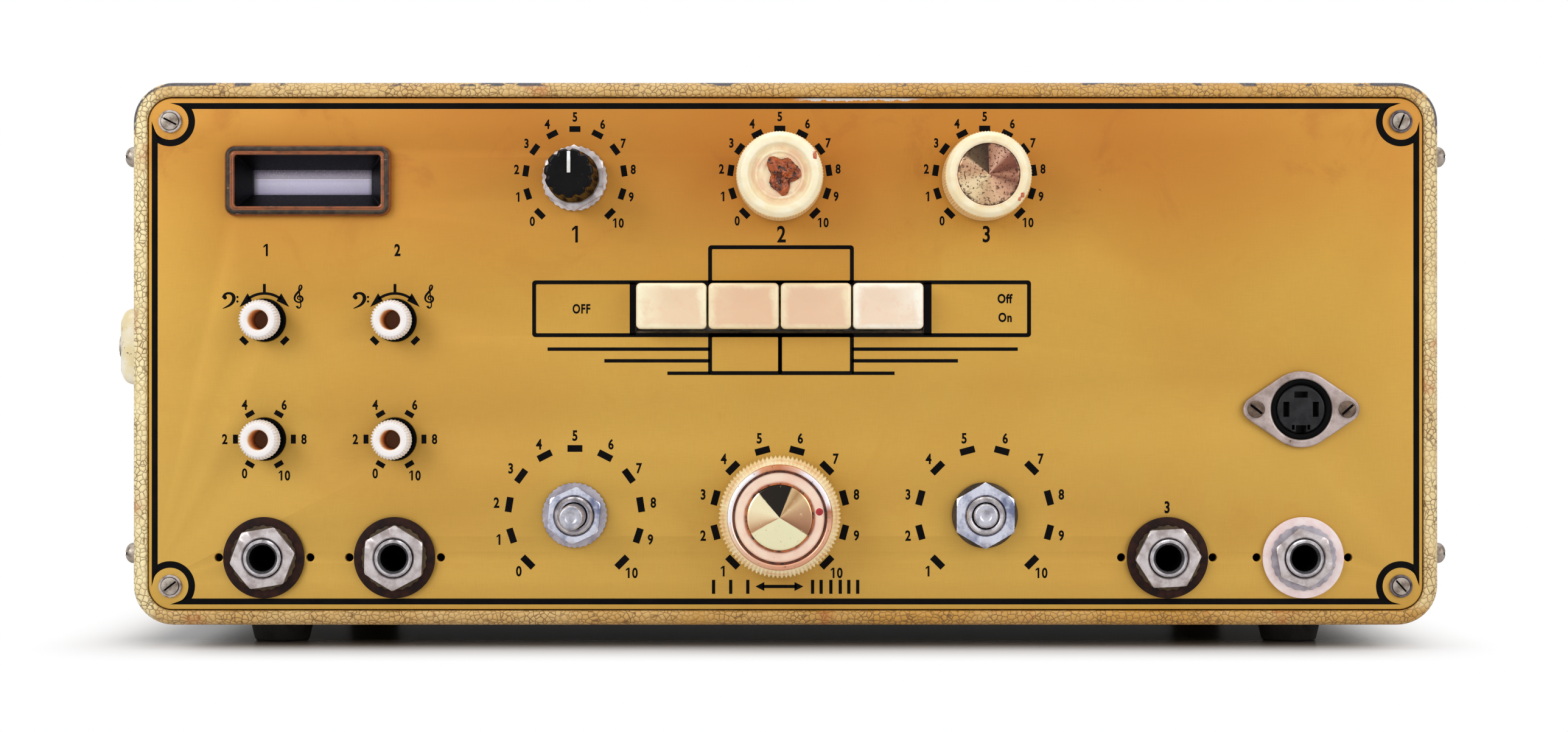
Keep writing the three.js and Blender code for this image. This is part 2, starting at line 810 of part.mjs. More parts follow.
function inputPots() {
  const middleX = inputPitch / 2;
  const middleZ = -toneAboveVolume / 2;
  const halfWidth = inputPitch / 2 + smallBracketMargin;
  const halfHeight = toneAboveVolume / 2 + smallBracketMargin;
  const plate = block(
    middleX - halfWidth,
    middleX + halfWidth,
    smallBracketFront,
    smallCanFront,
    middleZ - halfHeight,
    middleZ + halfHeight,
  );
  const places = [0, inputPitch].flatMap((x) => [0, -toneAboveVolume].map((z) => [x, z]));
  const canBack = smallCanFront + smallCanDepth;
  const cans = places.map(([x, z]) => (
    rod(smallCanRadius, smallCanFront - sheet / 2, canBack, holeFacets).translate(x, 0, z)
  ));
  const bores = places.map(([x, z]) => (
    rod(smallShaftRadius + fit, 0, smallBracketFront + smallShaftGrip + fit, smallFacets).translate(x, 0, z)
  ));
  const standoffs = [-halfHeight, halfHeight].map((z) => (
    rod(smallPostRadius, behindPanel, smallCanFront, smallFacets)
      .translate(middleX, 0, middleZ + Math.sign(z) * (halfHeight - smallPostRadius))
  ));
  return cutFrom(joined(plate, ...cans, ...standoffs), ...bores);
}

place(panel, 'input_pots', inputPots(), zinc, inputXs[0], 0, toneRow);
inputXs.forEach((x, index) => {
  place(panel, `tone_knob_${index + 1}`, smallKnob(), whitePlastic, x, 0, toneRow);
  place(panel, `volume_knob_${index + 1}`, smallKnob(), whitePlastic, x, 0, volumeRow);
});

// Large pots: a bushing through the panel with its washer and nut, and a can behind
const potNutFront = onPanel - washerThickness - potNutThickness;
const potBushingFront = potNutFront - bushingTip;
const potCanFront = behindPanel + potSpacer;
const spindleEnd = potCanFront + spindleGrip;

function potBody(canRadius, nutFlats, nutTurn) {
  const washer = rod(washerRadius, onPanel - washerThickness, onPanel, holeFacets);
  const nut = upright(hexagon(nutFlats, nutTurn), potNutFront, onPanel - washerThickness / 2);
  const bushing = rod(bushingRadius, potBushingFront, potCanFront + sheet, holeFacets);
  const can = rod(canRadius, potCanFront, potCanFront + potCanDepth, holeFacets);
  return joined(washer, nut, bushing, can);
}

function potBore() {
  return rod(spindleRadius + fit, potBushingFront - overrun, spindleEnd + fit, smallFacets);
}

function spindle(front) {
  return turned([
    [0, front],
    [spindleRadius - spindleChamfer, front],
    [spindleRadius, front + spindleChamfer],
    [spindleRadius, spindleEnd],
    [0, spindleEnd],
  ], smallFacets);
}

function headPots() {
  const half = controlPitch + headStrapEnd;
  const strap = block(
    -half, half, behindPanel, behindPanel + headStrapThickness, -headStrapHeight / 2, headStrapHeight / 2,
  );
  const places = [-controlPitch, 0, controlPitch];
  const pots = places.map((x) => potBody(potCanRadius, potNutFlats, toneNutTurn).translate(x, 0, 0));
  return cutFrom(joined(strap, ...pots), ...places.map((x) => potBore().translate(x, 0, 0)));
}

const [leftX, middleX, rightX] = controlXs;
place(panel, 'head_pots', headPots(), steel, middleX, 0, headRow);
const reverbPot = cutFrom(potBody(bigCanRadius, reverbNutFlats, reverbNutTurn), potBore());
const tonePot = cutFrom(potBody(bigCanRadius, potNutFlats, toneNutTurn), potBore());
place(panel, 'reverb_pot', reverbPot, steel, leftX, 0, timeRow);
place(panel, 'tone_pot', tonePot, steel, rightX, 0, timeRow);
place(panel, 'reverb_spindle', spindle(-reverbSpindleProud), steel, leftX, 0, timeRow);
place(panel, 'tone_spindle', spindle(-toneSpindleProud), steel, rightX, 0, timeRow);

// Echo head knobs: one fluted collet knob, and two dished knobs of which the last keeps its cap
function collarKnob() {
  const steps = collarFluteFacets * collarKnobFlutes;
  const outline = (shrink) => Array.from({ length: steps }, (unused, step) => {
    const angle = (step / steps) * fullTurn;
    const flute = (collarKnobFlute * (1 + Math.cos(angle * collarKnobFlutes))) / 2;
    const radius = collarKnobRadius - shrink - flute;
    return new THREE.Vector2(radius * Math.sin(angle), radius * Math.cos(angle));
  });
  const back = potBushingFront - fit;
  const body = loft([
    { depth: -collarKnobProud, outline: outline(collarKnobFlute) },
    { depth: -collarKnobProud + collarKnobFlute, outline: outline(0) },
    { depth: back, outline: outline(0) },
  ]);
  return joined(body, rod(spindleRadius, back - overrun, spindleEnd, smallFacets));
}

function dishedKnob(withCap) {
  const front = -headKnobProud;
  const hollowFloor = potBushingFront - fit;
  const dish = withCap
    ? [[0, front - headKnobCapDome], [headKnobDish, front + headKnobCapDome]]
    : [[0, front + headKnobDishDepth], [headKnobDish, front + headKnobDishDepth], [headKnobDish, front]];
  return turned([
    ...dish,
    [headKnobRim, front],
    [headKnobRadius, front + headKnobRadius - headKnobRim],
    [headKnobRadius, -headKnobLift],
    [knobHollowRadius, -headKnobLift],
    [knobHollowRadius, hollowFloor],
    [spindleRadius, hollowFloor],
    [spindleRadius, spindleEnd],
    [0, spindleEnd],
  ], knobFacets);
}

place(panel, 'head_knob_1', collarKnob(), blackPlastic, leftX, 0, headRow);
place(panel, 'head_knob_2', dishedKnob(false), cream, middleX, 0, headRow);
place(panel, 'head_knob_3', dishedKnob(true), cream, rightX, 0, headRow);

// Gear teeth: a short-addendum rack over a twelve-tooth pinion, both with play
const addendum = gearModule * gearAddendumShare;
const dedendum = gearModule * gearDedendumShare;
const toothSlope = Math.tan(THREE.MathUtils.degToRad(pressureAngle));
const rackPitch = Math.PI * gearModule;
const carriagePlateFront = deckFront - carriageGap - carriagePlate;
const pinionBack = carriagePlateFront - bearingTabGap / 2 - panelRecess;
const pinionFront = pinionBack - pinionWidth;
const bearingTabFront = carriagePlateFront + carriagePlate + bearingTabGap;

function pinionOutline() {
  const baseRadius = pinionRadius * Math.cos(THREE.MathUtils.degToRad(pressureAngle));
  const involute = (radius) => {
    const angle = Math.acos(Math.min(1, baseRadius / radius));
    return Math.tan(angle) - angle;
  };
  const halfTooth = (radius) => (
    Math.PI / (2 * pinionTeeth) - gearBacklash / pinionRadius + involute(pinionRadius) - involute(radius)
  );
  const radii = [pinionRadius - dedendum - gearBacklash, baseRadius, pinionRadius, pinionRadius + addendum];
  const flanks = [
    ...radii.map((radius) => [radius, -1]),
    ...radii.toReversed().map((radius) => [radius, 1]),
  ];
  return Array.from({ length: pinionTeeth }, (unused, tooth) => (tooth / pinionTeeth) * fullTurn)
    .flatMap((centre) => flanks.map(([radius, side]) => {
      const angle = centre + side * halfTooth(radius);
      return new THREE.Vector2(radius * Math.sin(angle), radius * Math.cos(angle));
    }));
}

// Duration knob: knurled skirt, ring, pale face and cap on a long spindle that ends in the rear bearing
function durationKnob() {
  const front = -durationKnobProud;
  const shoulder = front + durationKnobRadius - durationRingRadius;
  const rearEnd = bearingTabFront + bearingTabThickness - panelRecess + fit;
  const knob = turned([
    [0, front - headKnobCapDome],
    [durationCapRadius, front + headKnobCapDome],
    [durationCapRadius, front + durationFaceDrop],
    [durationFaceRadius, front + durationFaceDrop],
    [durationFaceRadius, front + headKnobCapDome],
    [durationRingRadius, front + headKnobCapDome],
    [durationKnobRadius, shoulder],
    [durationKnobRadius, -headKnobLift],
    [durationHollowRadius, -headKnobLift],
    [durationHollowRadius, -headKnobLift - durationHollowDepth],
    [spindleRadius, -headKnobLift - durationHollowDepth],
    [spindleRadius, rearEnd],
    [0, rearEnd],
  ], knobFacets);
  return joined(knob, upright(pinionOutline(), pinionFront, pinionBack));
}

place(panel, 'duration_knob', durationKnob(), cream, middleX, 0, timeRow);

// Head carriage: a plate that hooks over the deck's front edge, with the rack at its foot
const slidingHeadBack = tapeFront - fit;
const slidingHeadBase = deckTop + fit + carriageJaw + fit;

function headCarriage() {
  const pitchLine = caseCentreZ + timeRow + pinionRadius;
  const left = slidingHeadX - carriageWidth / 2;
  const right = slidingHeadX + carriageWidth / 2;
  const plateBack = carriagePlateFront + carriagePlate;
  const footBottom = pitchLine + dedendum;
  const jawTop = deckTop + fit + carriageJaw;
  const hook = [
    [carriagePlateFront, footBottom],
    [plateBack, footBottom],
    [plateBack, deckUnderside - fit - carriageJaw],
    [deckFront + carriageLowerReach, deckUnderside - fit - carriageJaw],
    [deckFront + carriageLowerReach, deckUnderside - fit],
    [deckFront - fit, deckUnderside - fit],
    [deckFront - fit, deckTop + fit],
    [slidingHeadBack - fit, deckTop + fit],
    [slidingHeadBack - fit, jawTop],
    [carriagePlateFront, jawTop],
  ].map(([y, z]) => new THREE.Vector2(y, z));
  const teethLeft = Math.ceil((carriageTravelRight + rackTeethMargin * rackPitch) / rackPitch);
  const teethRight = Math.ceil((carriageTravelLeft + rackTeethMargin * rackPitch) / rackPitch);
  const rackLeft = middleX - teethLeft * rackPitch;
  const rackRight = middleX + teethRight * rackPitch;
  const tipHalf = rackPitch / 4 - addendum * toothSlope;
  const rootHalf = rackPitch / 4 + dedendum * toothSlope;
  const teeth = Array.from({ length: teethLeft + teethRight }, (unused, tooth) => {
    const centre = rackLeft + (tooth + 0.5) * rackPitch;
    return [
      [centre - rootHalf, pitchLine + dedendum],
      [centre - tipHalf, pitchLine - addendum],
      [centre + tipHalf, pitchLine - addendum],
      [centre + rootHalf, pitchLine + dedendum],
    ];
  }).flat();
  const barTop = pitchLine + dedendum + rackBarHeight;
  const rack = [[rackLeft, pitchLine + dedendum], ...teeth, [rackRight, pitchLine + dedendum],
    [rackRight, barTop], [rackLeft, barTop]].map(([x, z]) => new THREE.Vector2(x, z));
  return joined(
    crosswise(hook, left, right),
    upright(rack, panelRecess + pinionFront, carriagePlateFront + carriagePlate / 2),
    block(rackLeft, right, carriagePlateFront, plateBack, footBottom, barTop),
  );
}

place(unit, 'head_carriage', headCarriage(), zinc);

// Sockets
const jackNutBack = onPanel - jackFibreThickness - jackWasherThickness;
const jackNutFront = jackNutBack - jackNutThickness;
const jackBodyBack = behindPanel + jackBodyDepth;

function jackSocket() {
  const tip = jackNutFront - jackBushingTip;
  const bushing = rod(jackBushingRadius, tip, behindPanel + overrun, holeFacets);
  const body = block(
    -jackBodyWidth / 2, jackBodyWidth / 2, behindPanel, jackBodyBack, -jackBodyHeight / 2, jackBodyHeight / 2,
  );
  const bore = rod(jackBoreRadius, tip - overrun, jackBodyBack - jackBackWall, holeFacets);
  return cutFrom(joined(bushing, body), bore);
}

function jackNut(flats, turn) {
  const fibre = rod(jackFibreRadius, onPanel - jackFibreThickness, onPanel, knobFacets);
  const washer = rod(washerRadius, jackNutBack, onPanel - jackFibreThickness / 2, holeFacets);
  const nut = upright(hexagon(flats, turn), jackNutFront, jackNutBack + jackWasherThickness / 2);
  const bore = rod(jackBushingRadius + fit, jackNutFront - overrun, overrun, holeFacets);
  return cutFrom(joined(fibre, washer, nut), bore);
}

Object.entries(jackXs).forEach(([name, x]) => {
  const flats = name === 'output' ? outputNutFlats : jackNutFlats;
  place(panel, `jack_socket_${name}`, jackSocket(), blackPlastic, x, 0, jackRow);
  place(panel, `jack_nut_${name}`, jackNut(flats, jackNutTurns[name]), steel, x, 0, jackRow);
});

// Round multi-pin socket: flange and shell, and the insulating insert that stands free inside it
function dinOutline() {
  const tangent = Math.acos((dinFlangeRadius - dinEarRadius) / dinEarReach);
  return [
    ...arc(dinEarRadius, -tangent, tangent, cornerSteps, dinEarReach, 0),
    ...arc(dinFlangeRadius, tangent, Math.PI - tangent, cornerSteps),
    ...arc(dinEarRadius, Math.PI - tangent, Math.PI + tangent, cornerSteps, -dinEarReach, 0),
    ...arc(dinFlangeRadius, Math.PI + tangent, fullTurn - tangent, cornerSteps),
  ];
}

function dinFlange() {
  const ears = [-1, 1].map((side) => circle(dinScrewRadius, smallFacets, side * dinEarReach, 0));
  const flange = upright(dinOutline(), onPanel - dinFlangeThickness, onPanel, ears);
  const shell = rod(dinShellRadius, onPanel - dinFlangeThickness / 2, dinDepth, holeFacets);
  const bore = rod(dinBoreRadius, onPanel - dinFlangeThickness - overrun, dinDepth + overrun, holeFacets);
  return cutFrom(joined(flange, shell), bore);
}

function dinInsert() {
  const core = turned([
    [0, -dinInsertFront],
    [dinInsertRadius, -dinInsertFront],
    [dinInsertRadius, dinDepth - dinBaseDepth],
    [dinBoreRadius - fit, dinDepth - dinBaseDepth],
    [dinBoreRadius - fit, dinDepth],
    [0, dinDepth],
  ], holeFacets);
  const slots = [[-dinSlotReach, 0], [dinSlotReach, 0], [0, dinSlotReach]].map(([x, z]) => {
    const wide = z === 0 ? dinSlotWidth : dinSlotLength;
    const tall = z === 0 ? dinSlotLength : dinSlotWidth;
    return upright(rectangle(wide, tall, x, z), -dinInsertFront - overrun, dinSlotDepth);
  });
  const notch = upright(
    rectangle(dinKeyWidth, 2 * dinKeyDepth, 0, -dinInsertRadius), -dinInsertFront - overrun, dinSlotDepth,
  );
  return cutFrom(core, ...slots, notch);
}

place(panel, 'din_flange', dinFlange(), steel, dinX, 0, dinRow);
place(panel, 'din_insert', dinInsert(), blackPlastic, dinX, 0, dinRow);

// Chassis: tray, deck posts and the rear bearing of the duration spindle
const deckPostXs = [-1, 1].map((side) => side * (deckHalfWidth - deckPostInset));
const deckPostYs = [deckFront + deckPostInset, deckRear - deckPostInset];

function chassis() {
  const halfWidth = chassisHalfWidth;
  const back = caseDepth - chassisEndInset - rearInset;
  const floor = block(-halfWidth, halfWidth, chassisFrontInset, back, chassisFloor, chassisTop);
  const lips = [-1, 1].map((side) => {
    const outer = side * halfWidth;
    const inner = side * (halfWidth - sheet);
    return block(
      Math.min(outer, inner),
      Math.max(outer, inner),
      chassisFrontInset,
      back,
      chassisFloor,
      chassisFloor + chassisLip,
    );
  });
  const posts = deckPostXs.flatMap((x) => deckPostYs.map((y) => (
    post(deckPostRadius, chassisFloor + sheet / 2, deckUnderside - fit, smallFacets).translate(x, y, 0)
  )));
  const bearingZ = caseCentreZ + timeRow;
  const tab = block(
    middleX - bearingTabWidth / 2,
    middleX + bearingTabWidth / 2,
    bearingTabFront,
    bearingTabFront + bearingTabThickness,
    chassisFloor,
    bearingZ + bearingTabRise,
  );
  const tongue = block(
    middleX - bearingTabWidth / 2,
    middleX + bearingTabWidth / 2,
    bearingTabFront,
    chassisFrontInset + overrun,
    chassisFloor,
    chassisTop,
  );
  const bearing = rod(spindleRadius + fit, bearingTabFront - overrun, chassisFrontInset, smallFacets)
    .translate(middleX, 0, bearingZ);
  return cutFrom(joined(floor, ...lips, ...posts, tab, tongue), bearing);
}

place(unit, 'chassis', chassis(), zinc);

// Deck plate with pressed-in tape guides and the pinch arm's pivot
const pinchPivotX = capstanX + pinchArmReach;

function tapeGuide() {
  const bottom = tapeRise - fit;
  const top = tapeRise + tapeWidth + fit;
  return turnedUp([
    [0, -deckThickness / 2],
    [guideStemRadius, -deckThickness / 2],
    [guideStemRadius, bottom - guideFlangeThickness],
    [guideFlangeRadius, bottom - guideFlangeThickness],
    [guideFlangeRadius, bottom],
    [guideRadius, bottom],
    [guideRadius, top],
    [guideFlangeRadius, top],
    [guideFlangeRadius, top + guideFlangeThickness],
    [0, top + guideFlangeThickness],
  ], smallFacets);
}

function deckPlate() {
  const outline = rectangle(2 * deckHalfWidth, deckRear - deckFront, 0, (deckFront + deckRear) / 2);
  const bearing = circle(capstanRadius + runningFit, holeFacets, capstanX, capstanY);
  const plate = layer(outline, -deckThickness, 0, [bearing]);
  const guides = [-guideX, guideX].flatMap((x) => [guideFrontY, guideRearY].map((y) => (
    tapeGuide().translate(x, y, 0)
  )));
  const pivotTop = fit + pinchArmThickness + pinchPinOvershoot;
  const pivot = post(pinchPivotRadius, -deckThickness / 2, pivotTop, smallFacets);
  return joined(plate, ...guides, pivot.translate(pinchPivotX, pinchY, 0));
}

place(deck, 'deck_plate', deckPlate(), zinc);

// Tape: a closed loop round the four guides
function tapeLoop() {
  const innerRadius = guideRadius + fit;
  const width = 2 * guideX;
  const depth = guideRearY - guideFrontY;
  const middle = (guideFrontY + guideRearY) / 2;
  const loop = (radius) => (
    roundedRectangle(width + 2 * radius, depth + 2 * radius, radius, cornerSteps, 0, middle)
  );
  return layer(loop(innerRadius + tapeThickness), tapeRise, tapeRise + tapeWidth, [loop(innerRadius)]);
}

place(deck, 'tape_loop', tapeLoop(), tapeBrown);

// Heads: a metal can with a rounded nose towards the tape, on a foot
function tapeHead(footTop, withBase) {
  const back = -headDepth;
  const nose = Array.from({ length: cornerSteps + 1 }, (unused, step) => {
    const share = 1 - (2 * step) / cornerSteps;
    return new THREE.Vector2((share * headWidth) / 2, -headNoseRise * share * share);
  });
  const outline = [
    new THREE.Vector2(-headWidth / 2, back),
    new THREE.Vector2(headWidth / 2, back),
    ...nose,
  ];
  const can = layer(outline, footTop, tapeRise + tapeWidth / 2 + headHeight / 2);
  if (!withBase) {
    return can;
  }
  const base = block(
    -headBaseWidth / 2, headBaseWidth / 2, back, -headNoseRise - fit, fit, fit + headBaseThickness,
  );
  return joined(can, base);
}

Object.entries(headPlaceShares).forEach(([name, share]) => {
  const head = tapeHead(fit + headBaseThickness / 2, true);
  place(deck, name, head, steel, share * deckHalfWidth, tapeFront - fit, 0);
});
const slidingHead = tapeHead(slidingHeadBase - deckTop, false);
place(deck, 'playback_head_3', slidingHead, steel, slidingHeadX, slidingHeadBack, 0);

// Drive: capstan on its flywheel, motor below, pinch roller on its arm
const flywheelTop = -deckThickness - flywheelDrop;
const flywheelBottom = flywheelTop - flywheelThickness;
const motorTop = flywheelBottom - motorGap;

function flywheel() {
  return turnedUp([
    [0, motorTop - motorShaftGrip],
    [motorShaftRadius, motorTop - motorShaftGrip],
    [motorShaftRadius, flywheelBottom],
    [flywheelRadius, flywheelBottom],
    [flywheelRadius, flywheelTop],
    [flywheelRadius - flywheelRim, flywheelTop],
    [flywheelRadius - flywheelRim, flywheelTop - flywheelDish],
    [capstanRadius + flywheelRim, flywheelTop - flywheelDish],
    [capstanRadius + flywheelRim, flywheelTop],
    [capstanRadius, flywheelTop],
    [capstanRadius, capstanRise],
    [0, capstanRise],
  ], wheelFacets);
}

function motor() {
  const bottom = chassisTop + fit - deckTop;
  const boreRadius = motorShaftRadius + fit;
  const boreFloor = motorTop - motorShaftGrip - fit;
  return turnedUp([
    [0, bottom],
    [motorRadius, bottom],
    [motorRadius, motorTop - motorShoulder],
    [motorRadius - motorShoulder, motorTop],
    [boreRadius, motorTop],
    [boreRadius, boreFloor],
    [0, boreFloor],
  ], holeFacets);
}

place(deck, 'flywheel', flywheel(), steel, capstanX, capstanY, 0);
place(deck, 'motor', motor(), zinc, capstanX, capstanY, 0);

const pinchBottom = fit + pinchArmThickness + fit;

function pinchArm() {
  const half = pinchArmWidth / 2;
  const quarter = Math.PI / 2;
  const outline = [
    ...arc(half, -quarter, quarter, cornerSteps, 0, 0),
    ...arc(half, quarter, 3 * quarter, cornerSteps, -pinchArmReach, 0),
  ];
  const pivotHole = circle(pinchPivotRadius + fit, smallFacets);
  const arm = layer(outline, fit, fit + pinchArmThickness, [pivotHole]);
  const pinTop = pinchBottom + pinchHeight + pinchPinOvershoot;
  const pin = post(pinchPinRadius, fit + pinchArmThickness / 2, pinTop, smallFacets);
  return joined(arm, pin.translate(-pinchArmReach, 0, 0));
}

function pinchRoller() {
  const ring = circle(pinchRadius, knobFacets);
  return layer(ring, pinchBottom, pinchBottom + pinchHeight, [circle(pinchPinRadius + fit, smallFacets)]);
}

place(deck, 'pinch_arm', pinchArm(), zinc, pinchPivotX, pinchY, 0);
place(deck, 'pinch_roller', pinchRoller(), rubber, capstanX, pinchY, 0);

// Mains transformer, valves on their shelf, and the rear panel with its inlet
function mainsTransformer() {
  const bottom = chassisTop + fit;
  const halfWidth = transformerWidth / 2;
  const coilHalf = halfWidth - transformerCoilInset;
  const core = block(
    -halfWidth,
    halfWidth,
    -transformerCoreDepth / 2,
    transformerCoreDepth / 2,
    bottom,
    bottom + transformerHeight,
  );
  const coil = block(
    -coilHalf,
    coilHalf,
    -transformerDepth / 2,
    transformerDepth / 2,
    bottom + transformerCoilInset,
    bottom + transformerHeight - transformerCoilInset,
  );
  return joined(core, coil);
}

const transformerX = transformerSideInset + transformerWidth / 2 - chassisHalfWidth;
const transformerY = deckRear - transformerRearInset;
place(unit, 'mains_transformer', mainsTransformer(), zinc, transformerX, transformerY, 0);

function valveRow() {
  const bottom = chassisTop + fit;
  const shelfTop = bottom + valveShelfHeight;
  const half = (valveCount * valvePitch) / 2;
  const depth = valveShelfDepth / 2;
  const channel = [
    [-depth, bottom],
    [-depth + sheet, bottom],
    [-depth + sheet, shelfTop - sheet],
    [depth - sheet, shelfTop - sheet],
    [depth - sheet, bottom],
    [depth, bottom],
    [depth, shelfTop],
    [-depth, shelfTop],
  ].map(([y, z]) => new THREE.Vector2(y, z));
  const valves = Array.from({ length: valveCount }, (unused, index) => {
    const socketTop = shelfTop + valveSocketHeight;
    const top = socketTop + valveHeight;
    return turnedUp([
      [0, shelfTop - sheet / 2],
      [valveSocketRadius, shelfTop - sheet / 2],
      [valveSocketRadius, socketTop],
      [valveRadius, socketTop],
      [valveRadius, top - valveTip],
      [valveRadius - valveTip, top - valveTip / 4],
      [0, top],
    ], holeFacets).translate((index + 0.5) * valvePitch - half, 0, 0);
  });
  return joined(crosswise(channel, -half, half), ...valves);
}

const rearPanelFront = caseDepth - rearInset - caseWall;
const valveRowX = chassisHalfWidth - valveSideInset - (valveCount * valvePitch) / 2;
const valveRowY = rearPanelFront - valveRearGap - valveShelfDepth / 2;
place(unit, 'valve_row', valveRow(), glassLike, valveRowX, valveRowY, 0);

const inletX = inletSideInset - caseWidth / 2;

function ventRow(count, y) {
  return Array.from({ length: count }, (unused, index) => {
    const x = (index - (count - 1) / 2) * ventPitch;
    return roundedRectangle(ventWidth, ventLength, ventWidth / 2, fineSteps, x, y);
  });
}

function rearPanel() {
  const outline = roundedRectangle(
    caseWidth - 2 * caseWall - 2 * fit, caseHeight - 2 * caseWall - 2 * fit, caseCorner - caseWall - fit,
  );
  const inletLevel = footHeight + inletRise - caseCentreZ;
  const inletHole = rectangle(inletWidth + 2 * fit, inletHeight + 2 * fit, inletX, inletLevel);
  return upright(outline, 0, caseWall, [inletHole, ...ventRow(rearVents, ventLength / 2)]);
}

place(unit, 'rear_panel', rearPanel(), enamel, 0, rearPanelFront, caseCentreZ);

function mainsInlet() {
  const flangeFront = caseWall + fit;
  const back = flangeFront + inletFlangeThickness;
  const outline = (margin) => rectangle(inletWidth + 2 * margin, inletHeight + 2 * margin);
  const flange = upright(outline(inletFlange), flangeFront, back);
  const body = upright(outline(0), back - inletDepth, flangeFront + inletFlangeThickness / 2);
  const well = upright(outline(-inletWall), back - inletDepth + inletWall, back + overrun);
  const pins = [-1, 1].map((side) => (
    rod(inletPinRadius, back - inletDepth + inletWall / 2, back - inletPinBack, smallFacets)
      .translate(side * inletPinReach, 0, 0)
  ));
  return joined(cutFrom(joined(flange, body), well), ...pins);
}

place(unit, 'mains_inlet', mainsInlet(), brownPlastic, inletX, rearPanelFront, footHeight + inletRise);

// Lid: a plate with a locating skirt, knuckles and a raised lift tab, drawn about its hinge axis
function lid() {
  const plateBottom = -knuckleRadius;
  const plateTop = plateBottom + lidThickness;
  const front = lidOpeningFront - lidOverlap - hingeY;
  const back = -knuckleRadius - fit;
  const width = 2 * (lidOpeningHalf + lidOverlap);
  const vents = ventRow(lidVents, -hingeSetback - lidSkirtGap - lidSkirtThickness - ventLength);
  const outline = roundedRectangle(width, back - front, lidCorner, fineSteps, 0, (front + back) / 2);
  const plate = layer(outline, plateBottom, plateTop, vents);
  const skirtWidth = 2 * (lidOpeningHalf - lidSkirtGap);
  const skirtFront = lidOpeningFront + lidSkirtGap - hingeY;
  const skirtBack = -hingeSetback - lidSkirtGap;
  const ring = (inset) => rectangle(
    skirtWidth - 2 * inset, skirtBack - skirtFront - 2 * inset, 0, (skirtFront + skirtBack) / 2,
  );
  const skirt = layer(
    ring(0), plateBottom - fit - lidSkirtDepth, plateBottom + lidThickness / 2, [ring(lidSkirtThickness)],
  );
  const tab = block(
    -lidTabWidth / 2,
    lidTabWidth / 2,
    front - lidTabReach,
    front + lidTabReach,
    plateBottom + lidTabRise,
    plateTop + lidTabRise,
  );
  const knuckles = lidKnuckleXs.map((x) => knuckle(x, -1));
  return cutFrom(joined(plate, skirt, tab, ...knuckles), hingeBore());
}

place(unit, 'lid', lid(), enamel, 0, hingeY, hingeZ);

function hingePin() {
  const reach = knuckleReach + knuckleLength / 2 + fit + knuckleLength;
  return rod(hingePinRadius, -reach, reach, smallFacets).rotateZ(Math.PI / 2);
}

place(unit, 'lid_hinge_pin', hingePin(), steel, 0, hingeY, hingeZ);

// Carrying handle: two caps on the side, and a strap in two halves that bows between them
function handleCap(end) {
  const outline = (inset) => roundedRectangle(capLength - inset, capWidth - inset, capRound, fineSteps);
  const body = loft([
    { depth: 0, outline: outline(0) },
    { depth: capProud - capRound, outline: outline(0) },
    { depth: capProud, outline: outline(capRound) },
  ]).rotateZ(Math.PI / 2);
  const inside = block(
    -capProud + capWall,
    overrun,
    capLength / 2 - capMouthDepth,
    capLength / 2 + overrun,
    -capWidth / 2 + capWall,
    capWidth / 2 - capWall,
  );
  return cutFrom(body, inside).rotateZ(end === 'front' ? 0 : Math.PI).scale(end === 'front' ? 1 : -1, 1, 1);
}

const capCentre = handleSpan / 2 - capLength / 2;
const strapHalf = handleSpan / 2 - capLength;
place(handle, 'handle_cap_front', handleCap('front'), cream, -fit, -capCentre, 0);
place(handle, 'handle_cap_rear', handleCap('rear'), cream, -fit, capCentre, 0);

function strap(from, to) {
  return block(-strapThickness, 0, from, to, -strapWidth / 2, strapWidth / 2);
}

const strapFront = strap(-strapTuck, strapHalf - fit / 2);
const strapRear = strap(fit / 2, strapHalf + strapTuck);
place(handle, 'handle_strap_front', strapFront, cream, -strapStandoff, -strapHalf, 0);
place(handle, 'handle_strap_rear', strapRear, cream, -strapStandoff, 0, 0);

// The origin goes to the middle of the underside of the whole unit.
const whole = new THREE.Box3().setFromObject(unit);
const middle = whole.getCenter(new THREE.Vector3());
unit.position.set(-middle.x, -middle.y, -whole.min.z);

export default unit;
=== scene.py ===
# Tape echo unit: everything that dresses the CAD frame.
# Lengths are in millimetres until a mesh is made. Places inside finishes are in metres.
import math

import bmesh
import bpy
from mathutils import Matrix, Vector, noise


